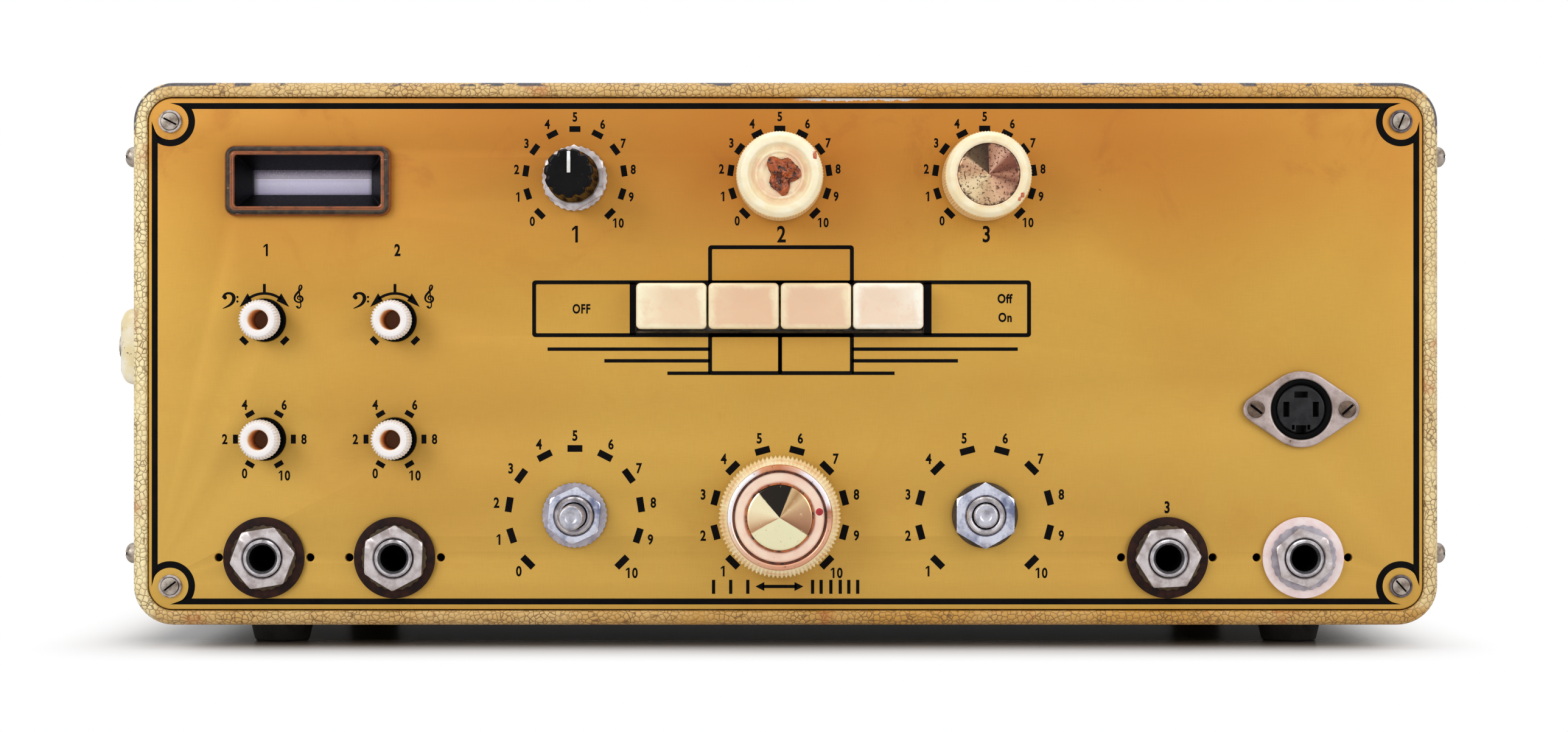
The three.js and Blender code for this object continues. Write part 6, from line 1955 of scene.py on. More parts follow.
def addDinSocket():
    back = -pot["gap"]
    ears = [circleLine(1.35, 24, side * din["reach"]) for side in (-1, 1)]
    holes = [circleLine(7.5, 64), *ears]
    flange = plateMesh("socket_flange", earLine(), holes, back - din["thick"], back, 0.42, 4)
    worn = metalFinish(
        "flange_nickel", (186, 170, 166), (146, 128, 122), 0.42, 0.55, (92, 60, 40), 0.08, size=2.4,
    )
    addPiece("socket_flange", flange, worn, "nickel", at=dinCentre, replaces=["din_flange"], smooth=50)
    addTurned("socket_shell", dinLines["shell"], canFinish, "nickel", 0.1, 72, at=dinCentre)
    addTurned("socket_ring", dinLines["ring"], blackAndShade, "socket_black", 0.2, 72, at=dinCentre)
    core = turnedMesh("socket_insert", softened(dinLines["insert"], 0.15), 72)
    slots = [
        blockMesh("slot", (x - width / 2, -2, z - height / 2), (x + width / 2, 6, z + height / 2), 0)
        for x, z, width, height in dinLines["slots"]
    ]
    black = plasticFinish("insert_black", (24, 24, 26), (40, 40, 42), 0.3, 2.5, (90, 90, 94), 0.04, 0.03, 0.2)
    insert = cutMesh(core, *slots)
    addPiece("socket_insert", insert, black, "socket_black", at=dinCentre, replaces=["din_insert"])
    for number, (side, turn) in enumerate(((-1, 38), (1, -42))):
        screw = slottedMesh("socket_screw", 2.1, 0.7, 0.6, 0.6, 0.35)
        moved(screw, side * din["reach"], -1.49, 0, turn)
        addPiece(f"socket_screw_{number + 1}", screw, [brownScrew, blackAndShade], "nickel", at=dinCentre)


addDinSocket()
print("socket made")


# Finishes of the hidden works and the handle
deckSteel = metalFinish(
    "deck_steel", (158, 157, 152), (140, 138, 132), 0.4, 0.8, (112, 84, 58), 0.0, (0.03, 1, 1), 9,
)
wheelSteel = metalFinish(
    "wheel_steel", (188, 186, 182), (150, 148, 144), 0.26, 0.95, grain=(1, 1, 0.1), size=2.5,
)
motorGreen = plasticFinish("motor_enamel", (74, 82, 74), (56, 62, 58), 0.45, 5, (110, 96, 70), 0.04, 0.05)
coreSteel = metalFinish(
    "core_steel", (92, 88, 84), (60, 56, 54), 0.5, 0.7, (104, 70, 44), 0.14, (1, 6, 1), 1.8,
)
coilPaper = plasticFinish("coil_paper", (190, 150, 86), (164, 122, 62), 0.6, 6, (112, 78, 42), 0.08, 0.06)
valveBase = plasticFinish("valve_socket", (86, 58, 36), (62, 42, 28), 0.5, 3, (120, 100, 76), 0.05, 0.04)
plateGrey = metalFinish("valve_plate", (76, 76, 78), (52, 52, 54), 0.6, 0.6, grain=(1, 1, 4), size=1.0)
getterSilver = metalFinish("valve_getter", (196, 196, 200), (90, 90, 96), 0.12, 1.0, size=3.0)
valveGlass = glassFinish("valve_glass", (240, 245, 245), 0.03)
tapeFinish = plasticFinish("tape_oxide", (70, 44, 32), (54, 34, 26), 0.24, 12, (96, 66, 48), 0.03, 0.008)
spliceFinish = plasticFinish(
    "tape_splice", (214, 210, 200), (196, 190, 178), 0.35, 4, (150, 140, 124), 0.04, 0.01,
)
rollerRubber = plasticFinish("roller_rubber", (38, 36, 35), (54, 50, 47), 0.62, 3, (96, 84, 70), 0.03, 0.05)
inletBrown = plasticFinish("inlet_brown", (52, 28, 20), (36, 20, 15), 0.28, 5, (92, 70, 54), 0.03, 0.02)
threadFinish = plasticFinish(
    "strap_thread", (176, 150, 110), (150, 124, 86), 0.7, 1, (110, 86, 58), 0.06, 0.05,
)


# The handle: a chipped cap at each end, and one stitched strap in place of its two halves
handle = {
    "crown": [(0.4, 0), (0, 0.4), (0, 5.5), (0.7, 8.6), (3.2, 10)],
    "corner": 2.8,
    "wall": 1.2,
    "mouth": 16,
    "screwRadius": 3,
    "stitchPitch": 3.1,
    "stitchLength": 2.1,
    "stitchInset": 1.9,
    "bend": 14,
}


def capFinish():
    finish, shader, place = newFinish("handle_cream", Roughness=0.3)
    colour = speckled(place, (242, 236, 216), (232, 216, 168), 6)
    worn = stepOn(noiseOn(place, 3.2, 6, 0.65), 0.6, 0.68, 0.0, 0.8)
    colour = mixOn(worn, colour, (206, 150, 86))
    spots = stepOn(noiseOn(place, 1.3, 5, 0.62), 0.66, 0.685)
    colour = mixOn(spots, colour, (62, 42, 28))
    plug(shader, Base_Color=colour)
    bumpOn(shader, 1.0 - spots, 0.12, 0.6)
    return finish


def addHandleCap(node, mouthSide, finish):
    # Drawn looking along +Y with its back at depth 0, then turned to look out of the left side.
    low, high = boxOf(node)
    length, width = high.y - low.y, high.z - low.z
    proud = high.x - low.x
    sections = []
    for inset, depth in softened(handle["crown"], 1.4, 6):
        radius = max(0.6, handle["corner"] - inset * 0.5)
        sections.append((depth, roundedLine(length - 2 * inset, width - 2 * inset, radius, 7)))
    body = loftMesh(node, sections)
    inner, outer = mouthSide * (length / 2 - handle["mouth"]), mouthSide * (length / 2 + 2)
    near, far = sorted((inner, outer))
    half = width / 2 - handle["wall"]
    void = blockMesh("void", (near, -1, -half), (far, proud - handle["wall"], half), 0)
    body = moved(cutMesh(body, void), turn=90, axis="Z")
    spot = Vector((high.x, (low.y + high.y) / 2, (low.z + high.z) / 2))
    name = node.replace("handle_cap", "grip_cap")
    addPiece(name, body, finish, "knob_cream", at=spot, replaces=[node], smooth=38)
    screw = moved(slottedMesh("cap_screw", handle["screwRadius"], 0.5, 0.8, 0.5, 0.4), turn=35)
    screw = moved(screw, -proud + 0.1, -mouthSide * 6.5, 0, -90, "Z")
    addPiece(node.replace("handle_cap", "cap_screw"), screw, [screwSteel, blackAndShade], "nickel", at=spot)


def strapFinish():
    # Cream covered cloth: a fine pressed grain, grime in the creases.
    finish, shader, place = newFinish("strap_cover", Roughness=0.5)
    colour = speckled(place, (226, 208, 166), (206, 182, 134), 16)
    grime = stepOn(noiseOn(place, 7, 7, 0.7), 0.56, 0.72, 0.0, 0.6)
    colour = mixOn(grime, colour, (150, 118, 78))
    grain = flowIn("TexVoronoi", {"Vector": place, "Scale": 1 / (0.7 * mm)}, output="Distance")
    colour = mixOn(stepOn(grain, 0.5, 0.9, 0.0, 0.3), colour, (140, 110, 72))
    plug(shader, Base_Color=colour)
    bumpOn(shader, 1.0 - grain, 0.09, 0.7)
    return finish


def addStrap():
    low, rearLow = boxOf("handle_strap_front")[0], boxOf("handle_strap_rear")[0]
    high = boxOf("handle_strap_rear")[1]
    thick, width = high.x - low.x, high.z - low.z
    sections = []
    steps = 90
    for step in range(steps + 1):
        y = low.y + (high.y - low.y) * step / steps
        wrinkle = noise.noise(Vector((0.3, y * 0.16, 1.7)))
        shape = []
        for x, z in roundedLine(thick, width, 1.15, 7):
            crown = 0.0 if x > 0 else 0.3 * (1 - (2 * z / width) ** 2)
            fold = 0.16 * wrinkle * (1 + 0.5 * math.cos(z * 0.7))
            shape.append((x - crown + fold + 0.15, z * (1 - 0.012 * abs(wrinkle))))
        sections.append((y, shape))
    band = loftMesh("strap", sections)
    stitches = []
    count = int((high.y - low.y - 8) / handle["stitchPitch"])
    for side in (-1, 1):
        for number in range(count):
            y = low.y + 4 + (number + 0.5) * handle["stitchPitch"]
            z = side * (width / 2 - handle["stitchInset"])
            for face in (-thick / 2 - 0.02, thick / 2 + 0.12):
                reach = Vector((0.16, handle["stitchLength"] / 2, 0.22))
                spot = Vector((face, y, z))
                stitches.append(blockMesh("stitch", spot - reach, spot + reach, 0.12))
    whole = joinedMesh("strap", [band, *stitches])
    for face in whole.polygons:
        face.material_index = min(face.material_index, 1)
    spot = Vector(((low.x + high.x) / 2, 0, (low.z + high.z) / 2))
    nodes = ["handle_strap_front", "handle_strap_rear"]
    piece = addPiece("strap", whole, [strapFinish(), threadFinish], "strap_cream", None, spot, nodes, 40)
    fold = rearLow.y
    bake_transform(piece)


handleFinish = capFinish()
addHandleCap("handle_cap_front", 1, handleFinish)
addHandleCap("handle_cap_rear", -1, handleFinish)
addStrap()


# Domed screws that hold the panel's lugs, in the case's sides
sideScrews = {"radius": 2.5, "levels": (121.0, 23.4), "behind": 6, "proud": 2.8}
for sideName, sideX, turn in (("left", caseLow.x, -90), ("right", caseHigh.x, 90)):
    for levelName, level in zip(("upper", "lower"), sideScrews["levels"]):
        head = slottedMesh("side_screw", sideScrews["radius"], 1.0, 0.7, 0.6, sideScrews["proud"] - 1.0)
        moved(head, turn=turn, axis="Z")
        spot = Vector((sideX, caseLow.y + sideScrews["behind"], level))
        addPiece(f"side_screw_{sideName}_{levelName}", head, [screwSteel, blackAndShade], "nickel", at=spot)
print("handle and side screws made")


# Lid with its slots, locating skirt, lift tab and knuckles
vents = {"width": 3, "length": 30, "pitch": 9, "lid": 16, "rear": 14, "rearRise": 15}


def ventLines(count, middle, x=0.0):
    # A row of upright slots.
    places = [x + (number - (count - 1) / 2) * vents["pitch"] for number in range(count)]
    width, length = vents["width"], vents["length"]
    return [roundedLine(width, length, width / 2 - 0.01, 7, place, middle) for place in places]


lid = {
    "thick": 1.5,
    "corner": 4,
    "knuckleFoot": ((-3.7, -2.4), (-1.2, -0.9)),
    "skirtInset": 5,
    "skirtThick": 1.2,
    "skirtFront": 10,
    "skirtRear": 7,
    "ventMiddle": 39.8,
    "tabWidth": 40,
    "tabReach": 10,
    "tabRise": 1.2,
}


def addLid():
    low, high = boxOf("lid")
    bottom = hinge.z - case["knuckleRadius"]
    front, back = low.y + lid["tabReach"] / 2, hinge.y - case["knuckleRadius"] - 0.3
    centreX, width = (low.x + high.x) / 2, high.x - low.x
    outline = roundedLine(width, back - front, lid["corner"], 10, centreX, (front + back) / 2)
    slots = ventLines(vents["lid"], lid["ventMiddle"], centreX)
    plate = flatMesh("lid_plate", outline, slots, bottom + lid["thick"], lid["thick"], 0.45, 3)
    skirtWidth = width - 2 * lid["skirtInset"]
    skirtFront, skirtRear = low.y + lid["skirtFront"], hinge.y - lid["skirtRear"]
    skirtDepth, skirtY = skirtRear - skirtFront, (skirtFront + skirtRear) / 2
    rings = [
        roundedLine(skirtWidth - 2 * inset, skirtDepth - 2 * inset, 1.6, 6, centreX, skirtY)
        for inset in (0, lid["skirtThick"])
    ]
    skirt = flatMesh("lid_skirt", rings[0], [rings[1]], bottom + 0.4, bottom + 0.4 - low.z, 0.2)
    tabLow = (centreX - lid["tabWidth"] / 2, low.y, bottom + lid["tabRise"])
    tabHigh = (centreX + lid["tabWidth"] / 2, low.y + lid["tabReach"], bottom + lid["thick"] + lid["tabRise"])
    tab = blockMesh("lid_tab", tabLow, tabHigh, 0.6, 3)
    knuckles = []
    for place in (-case["knucklePlace"], case["knucklePlace"]):
        knuckle = knuckleMesh("lid_knuckle", *lid["knuckleFoot"])
        knuckles.append(moved(knuckle, centreX + place, hinge.y, hinge.z))
    mesh = sameFinish("lid_body", [plate, skirt, tab, *knuckles])
    addPiece("lid_body", mesh, lidFinish, "case_enamel", "lid", replaces=["lid"], smooth=30)
    pinLow, pinHigh = boxOf("lid_hinge_pin")
    half, radius = (pinHigh.x - pinLow.x) / 2, (pinHigh.z - pinLow.z) / 2
    profile = softened([(0, -half), (radius, -half), (radius, half), (0, half)], 0.5, 4)
    pin = moved(turnedMesh("hinge_rod", profile, 32), turn=90, axis="Z")
    addPiece("hinge_rod", pin, nickelWorn, "nickel", at=middleOf("lid_hinge_pin"), replaces=["lid_hinge_pin"])


addLid()
print("lid made")


# Rear panel, its screws, and the mains inlet
rear = {"corner": 8.2, "screwRadius": 3.2}
inlet = {"gap": 0.3, "flange": 3, "thick": 1.4, "wall": 2.5, "pinRadius": 2, "pinReach": 7.5, "pinFront": 2}


def addRear():
    low, high = boxOf("rear_panel")
    centre = Vector(((low.x + high.x) / 2, low.y, (low.z + high.z) / 2))
    inletLow, inletHigh = boxOf("mains_inlet")
    middle = (inletLow + inletHigh) / 2
    width = inletHigh.x - inletLow.x - 2 * inlet["flange"]
    height = inletHigh.z - inletLow.z - 2 * inlet["flange"]
    gap = 2 * inlet["gap"]
    opening = roundedLine(width + gap, height + gap, 0.5, 3, middle.x - centre.x, middle.z - centre.z)
    outline = roundedLine(high.x - low.x, high.z - low.z, rear["corner"], 14)
    holes = [opening, *ventLines(vents["rear"], vents["rearRise"])]
    sheet = plateMesh("rear_sheet", outline, holes, 0, high.y - low.y, 0.35, 3)
    addPiece("rear_sheet", sheet, lidFinish, "case_enamel", at=centre, replaces=["rear_panel"], smooth=40)
    for sideX in (-1, 1):
        for sideZ in (-1, 1):
            head = slottedMesh("rear_screw", rear["screwRadius"], 0.8, 0.8, 0.6, 0.5)
            moved(head, turn=24 + 50 * sideX + 31 * sideZ)
            moved(head, sideX * case["lugX"], high.y - low.y - 0.01, sideZ * case["lugZ"], 180, "Z")
            corner = f"{'right' if sideX > 0 else 'left'}_{'top' if sideZ > 0 else 'bottom'}"
            addPiece(f"rear_screw_{corner}", head, [screwSteel, blackAndShade], "nickel", at=centre)
    addInlet(Vector((middle.x, inletHigh.y, middle.z)), width, height, inletHigh.y - inletLow.y)


def addInlet(spot, width, height, depth):
    flange, wall, floor = inlet["flange"], inlet["wall"], inlet["wall"] - depth
    well = roundedLine(width - 2 * wall, height - 2 * wall, 1.5, 6)
    box = roundedLine(width, height, 1.2, 5)
    rim = roundedLine(width + 2 * flange, height + 2 * flange, 2.4, 8)
    body = [
        plateMesh("inlet_flange", rim, [well], -inlet["thick"], 0, 0.45, 3),
        plateMesh("inlet_box", box, [well], floor, -inlet["thick"], 0.15),
        plateMesh("inlet_floor", box, [], -depth, floor, 0.3),
    ]
    mesh = sameFinish("inlet_body", body)
    addPiece("inlet_body", mesh, inletBrown, "inlet_brown", at=spot, replaces=["mains_inlet"])
    root, tip, radius = floor - 0.5, -inlet["pinFront"], inlet["pinRadius"]
    pin = softened([(0, root), (radius, root), (radius, tip), (0, tip)], 1.2, 6)
    rivet = softened([(0, 0.55), (0.7, 0.45), (1.0, -0.1), (0, -0.1)], 0.2)
    for name, profile, count, reach, finish in (
        ("inlet_pins", pin, 36, inlet["pinReach"], nickelBright),
        ("inlet_rivets", rivet, 28, (width + flange) / 2, brassWorn),
    ):
        pair = [moved(turnedMesh(name, profile, count), side * reach) for side in (-1, 1)]
        addPiece(name, sameFinish(name, pair), finish, "nickel", at=spot)


addRear()
print("rear panel and inlet made")


# Tape deck: plate, guides, tape and heads
deck = {
    "thick": 2,
    "corner": 3,
    "postInset": 8,
    "guideX": 112,
    "guideFlange": 6,
    "guideStem": 4,
    "guideRoot": 3,
    "tapeLow": 99,
    "tapeWidth": 6.3,
    "tapeGap": 0.3,
    "tapeCorner": 1.7,
    "splice": (-46, -22),
    "headWidth": 13,
    "headNose": 1.6,
    "baseThick": 2,
    "capstan": 4,
}
deckLow, deckHigh = boxOf("deck_plate")
deckTop = deckLow.z + deck["thick"]
deckMiddle = (deckLow + deckHigh) / 2
tapeBoxLow, tapeBoxHigh = boxOf("tape_loop")


def topScrew(name, radius, x, y, z, turn=0):
    # A slotted screw that looks up.
    head = moved(slottedMesh(name, radius, 0.9, 0.8, 0.6, 0.4), turn=turn)
    return moved(head, x, y, z, -90, "X")


def addDeck():
    width, depth = deckHigh.x - deckLow.x, deckHigh.y - deckLow.y
    spindle = middleOf("flywheel")
    bearing = circleLine(deck["capstan"] + 0.5, 48, spindle.x, spindle.y)
    outline = roundedLine(width, depth, deck["corner"], 8, deckMiddle.x, deckMiddle.y)
    plate = flatMesh("deck_sheet", outline, [bearing], deckTop, deck["thick"], 0.3, 3)
    addPiece("deck_sheet", plate, deckSteel, "deck_steel", replaces=["deck_plate"])
    low, high = deck["tapeLow"], deck["tapeLow"] + deck["tapeWidth"]
    root, stem, flange, gap = deck["guideRoot"], deck["guideStem"], deck["guideFlange"], deck["tapeGap"]
    profile = [
        (0, deckTop), (stem + 1.5, deckTop), (stem + 1.5, deckTop + 1.2), (stem, deckTop + 1.6),
        (stem, low - 1.3), (flange, low - 1.3), (flange, low - gap), (root, low - gap), (root, high + gap),
        (flange, high + gap), (flange, high + 1.3), (1.6, high + 1.3), (1.2, high + 0.9), (0, high + 0.9),
    ]
    guides = [
        standingMesh("tape_guide", profile, 0.3, 48, deckMiddle.x + side * deck["guideX"], y)
        for side in (-1, 1) for y in (spindle.y, tapeBoxHigh.y - root - deck["tapeCorner"])
    ]
    addPiece("tape_guides", sameFinish("tape_guides", guides), nickelBright, "nickel")
    reachX, reachY = width / 2 - deck["postInset"], depth / 2 - deck["postInset"]
    for number, (sideX, sideY) in enumerate([(-1, -1), (-1, 1), (1, -1), (1, 1)], 1):
        x, y = deckMiddle.x + sideX * reachX, deckMiddle.y + sideY * reachY
        screw = topScrew("deck_screw", 3.4, x, y, deckTop, 35 * number)
        addPiece(f"deck_screw_{number}", screw, [screwSteel, blackAndShade], "nickel")


def addTape():
    # One loop round the guides, with a pale splice along its back.
    low, high = tapeBoxLow, tapeBoxHigh
    width, depth = high.x - low.x, high.y - low.y
    centre = (low + high) / 2

    def line(inset):
        corner = deck["guideRoot"] + deck["tapeCorner"] - inset
        return roundedLine(width - 2 * inset, depth - 2 * inset, corner, 16, centre.x, centre.y)

    loop = flatMesh("tape_band", line(0), [line(0.36)], high.z, high.z - low.z, 0.04, 1)
    addPiece("tape_band", loop, tapeFinish, "tape_brown", replaces=["tape_loop"], smooth=50)
    left, right = (centre.x + reach for reach in deck["splice"])
    ends = (left, high.y - 0.02, low.z + 0.1), (right, high.y + 0.08, high.z - 0.1)
    splice = blockMesh("tape_splice", *ends, 0.03)
    addPiece("tape_splice", splice, spliceFinish, "tape_brown")


def noseLine(width, depth, rise, x, y, steps=14):
    # A head from above: a straight back and a bowed front edge.
    line = [(x - width / 2, y - depth), (x + width / 2, y - depth)]
    for step in range(steps + 1):
        share = 1 - 2 * step / steps
        line.append((x + share * width / 2, y - rise * share * share))
    return line


headGrain = (1, 1, 0.15)
headFinishes = {
    "bright": metalFinish(
        "head_bright", (166, 160, 152), (132, 125, 116), 0.3, 0.9, (110, 84, 60), 0.04, headGrain, 2.0,
    ),
    "dark": metalFinish(
        "head_dark", (132, 124, 112), (98, 90, 80), 0.35, 0.85, (96, 66, 44), 0.08, headGrain, 2.0,
    ),
}


def addHead(node, body, shade):
    # A can with its window, gap and two tags. A fixed head has a base with two screws as well.
    low, high = boxOf(node)
    middle, width = (low.x + high.x) / 2, deck["headWidth"]
    fixed = high.x - low.x > width + 1
    baseTop = low.z + deck["baseThick"]
    canLow = baseTop if fixed else low.z
    outline = noseLine(width, high.y - low.y, deck["headNose"], middle, high.y)
    parts = [flatMesh("head_can", outline, [], high.z, high.z - canLow, 0.5, 3)]
    for half, proud, bottom, top, edge in ((2.4, 0.06, 10.6, 4.4, 0.2), (0.12, 0.1, 10.2, 4.8, 0.02)):
        front = (middle - half, high.y - 1, high.z - bottom)
        back = (middle + half, high.y + proud, high.z - top)
        parts.append(blockMesh("head_window", front, back, edge))
    finishes = [headFinishes[shade], brassWorn, blackAndShade]
    for side in (-1, 1):
        x = middle + side * 3
        ends = (x - 0.5, low.y - 2.2, canLow + 3), (x + 0.5, low.y + 0.6, canLow + 3.5)
        parts.append(blockMesh("head_tag", *ends, 0.1))
        finishes.append(nickelWorn)
    if fixed:
        depth = high.y - deck["headNose"] - 0.3 - low.y
        y = low.y + depth / 2
        base = roundedLine(high.x - low.x, depth, 1.4, 6, middle, y)
        parts.append(flatMesh("head_base", base, [], baseTop, deck["baseThick"], 0.3, 2))
        finishes.append(zincFinish)
        for side in (-1, 1):
            parts.append(topScrew("head_screw", 1.1, middle + side * 7.3, y, baseTop - 0.4, 40 * side))
            finishes.append(screwSteel)
    addPiece(f"{node}_can", joinedMesh(node, parts), finishes, "nickel", body, replaces=[node], smooth=35)


addDeck()
addTape()
for node, body, shade in (
    ("erase_head", "unit", "dark"),
    ("record_head", "unit", "dark"),
    ("playback_head_1", "unit", "bright"),
    ("playback_head_2", "unit", "bright"),
    ("playback_head_3", "head_carriage", "bright"),
):
    addHead(node, body, shade)
print("deck, tape and heads made")


# Drive: flywheel with its capstan, motor, pinch arm and roller
drive = {
    "wheelThick": 8,
    "wheelDrop": 6,
    "markReach": 17.5,
    "dish": 3,
    "rim": 5,
    "shaft": 3,
    "motorShoulder": 3,
    "stackLow": 15,
    "stackPitch": 2.0,
    "stackCount": 15,
    "armThick": 3,
    "armReach": 25,
    "pin": 2,
    "pivotTop": 98,
}


def roundPlaces(axis, reach, count, first=0):
    # Places round an axis, seen from above.
    turns = [math.radians(first + 360 * step / count) for step in range(count)]
    return [(axis.x + reach * math.cos(turn), axis.y + reach * math.sin(turn)) for turn in turns]


def addFlywheel():
    low, high = boxOf("flywheel")
    axis, radius = (low + high) / 2, (high.x - low.x) / 2
    top = deckTop - deck["thick"] - drive["wheelDrop"]
    bottom, dished = top - drive["wheelThick"], top - drive["dish"]
    capstan, shaft = deck["capstan"], drive["shaft"]
    hub, rim = capstan + drive["rim"], radius - drive["rim"]
    wheel = [
        (shaft, bottom), (radius, bottom), (radius, bottom + 2.6), (radius - 0.7, bottom + 3.2),
        (radius - 0.7, top - 3.2), (radius, top - 2.6), (radius, top), (rim, top), (rim - 0.8, dished),
        (hub + 0.8, dished), (hub, top), (capstan, top), (shaft, bottom),
    ]
    disc = standingMesh("flywheel_disc", wheel, 0.35, 120, axis.x, axis.y)
    addPiece("flywheel_disc", disc, wheelSteel, "spindle_steel", "flywheel", replaces=["flywheel"])
    rod = [
        (0, low.z), (shaft - 0.3, low.z), (shaft, low.z + 0.4), (shaft, bottom), (capstan, bottom + 0.2),
        (capstan, high.z - 0.8), (capstan - 0.9, high.z), (0, high.z),
    ]
    capstanRod = standingMesh("capstan", rod, 0.3, 64, axis.x, axis.y)
    addPiece("capstan", capstanRod, nickelBright, "spindle_steel", "flywheel")
    mark = [(0, 0.1), (2.3, 0.1), (2.5, -0.1), (0, -0.1)]
    places = roundPlaces(axis, drive["markReach"], 6)
    marks = [standingMesh("wheel_mark", mark, 0.05, 28, x, y, dished) for x, y in places]
    addPiece("flywheel_marks", sameFinish("flywheel_marks", marks), blackAndShade, "spindle_steel", "flywheel")


def addMotor():
    low, high = boxOf("motor")
    axis, radius, height = (low + high) / 2, (high.x - low.x) / 2, high.z - low.z
    bore = drive["shaft"] + 0.3
    shape = [
        (bore, height), (7.5, height), (7.7, height - 1.0), (radius - 4, height - 1.2),
        (radius - 1.6, height - drive["motorShoulder"]), (radius - 1.2, height - 13), (radius, height - 13.6),
        (radius, 13.6), (radius - 1.2, 13), (radius - 1.2, 1.2), (radius - 2.4, 0), (0, 0),
        (0, height - 8.3), (bore, height - 8.3), (bore, height),
    ]
    can = standingMesh("motor_can", shape, 0.5, 96, axis.x, axis.y, low.z)
    addPiece("motor_can", can, motorGreen, "plated_zinc", replaces=["motor"])
    inner, outer = radius - 0.6, radius + 0.12
    sheet = [(inner, 0), (outer, 0.25), (outer, 1.25), (inner, 1.5), (inner, 0)]
    stackLow = low.z + drive["stackLow"]
    levels = [stackLow + number * drive["stackPitch"] for number in range(drive["stackCount"])]
    stack = [standingMesh("stack_ring", sheet, 0.15, 96, axis.x, axis.y, level) for level in levels]
    addPiece("motor_stack", sameFinish("motor_stack", stack), coreSteel, "plated_zinc")
    bolts = [
        topScrew("motor_screw", 2.0, x, y, high.z - 1.9, 30 * step)
        for step, (x, y) in enumerate(roundPlaces(axis, radius - 5.5, 4, 45))
    ]
    addPiece("motor_screws", sameFinish("motor_screws", bolts), screwSteel, "nickel")


def addPinch():
    low, high = boxOf("pinch_roller")
    axis, radius = (low + high) / 2, (high.x - low.x) / 2
    bottom, top, inner = low.z, high.z, drive["pin"] + 0.3
    tyre = [
        (5.2, bottom), (radius - 0.6, bottom), (radius, bottom + 0.6), (radius, top - 0.6),
        (radius - 0.6, top), (5.2, top), (5.2, bottom),
    ]
    core = [
        (inner, bottom + 0.5), (5.25, bottom + 0.5), (5.25, top - 0.5), (3.4, top - 0.4), (3.2, top),
        (inner, top), (inner, bottom + 0.5),
    ]
    roller = [
        standingMesh("tyre", tyre, 0.5, 96, axis.x, axis.y),
        standingMesh("core", core, 0.2, 64, axis.x, axis.y),
    ]
    addPiece(
        "roller_tyre", joinedMesh("pinch_roller", roller), [rollerRubber, brassWorn], "foot_rubber",
        "pinch_roller", replaces=["pinch_roller"],
    )
    low, high = boxOf("pinch_arm")
    half, thick = (high.y - low.y) / 2, drive["armThick"]
    pivotX = axis.x + drive["armReach"]
    tip = drive["pivotTop"]
    post = [
        (0, deckTop), (2.5, deckTop), (2.5, tip - 1), (1.9, tip - 0.9), (1.9, tip - 0.7), (2.5, tip - 0.6),
        (2.3, tip - 0.1), (0, tip),
    ]
    pivot = standingMesh("pinch_pivot", post, 0.15, 40, pivotX, axis.y)
    addPiece("pinch_pivot", pivot, nickelBright, "nickel")
    outline = arcLine(half, -90, 90, 16, pivotX, axis.y) + arcLine(half * 0.92, 90, 270, 16, axis.x, axis.y)
    arm = flatMesh("arm_plate", outline, [circleLine(2.8, 32, pivotX, axis.y)], low.z + thick, thick, 0.4, 3)
    bottom, top, radius = low.z + 1, high.z, drive["pin"]
    rod = [
        (0, bottom), (radius, bottom), (radius, top - 1.1), (1.5, top - 1.0), (1.5, top - 0.7),
        (radius, top - 0.6), (1.7, top), (0, top),
    ]
    pin = standingMesh("arm_pin", rod, 0.15, 40, axis.x, axis.y)
    spot = Vector((axis.x, axis.y, low.z))
    tab = blockMesh("arm_tab", spot + Vector((9.2, 3.6, 2.8)), spot + Vector((15.2, 4.8, 9.5)), 0.5, 3)
    addPiece(
        "arm_plate", joinedMesh("pinch_arm", [arm, pin, tab]), [zincFinish, nickelBright, zincFinish],
        "plated_zinc", "pinch_arm", replaces=["pinch_arm"],
    )


addFlywheel()
addMotor()
addPinch()
print("drive made")


# Works: mains transformer and valves
works = {
    "coreDepth": 22,
    "boltX": 23.5,
    "boltZ": 19.5,
    "coilInset": 7,
    "lamination": 2.2,
    "valvePitch": 34,
    "valves": 3,
    "valveRadius": 10,
    "socketRadius": 9,
    "socketHeight": 6,
    "shelfHeight": 20,
    "shelfSheet": 1.5,
    "tip": 4,
    "anode": [
        (-8, (11, 6.4, 3.1)), (-7.6, (11.6, 7, 3.4)), (-25, (11.6, 7, 3.4)), (-25.4, (11, 6.4, 3.1)),
    ],
}


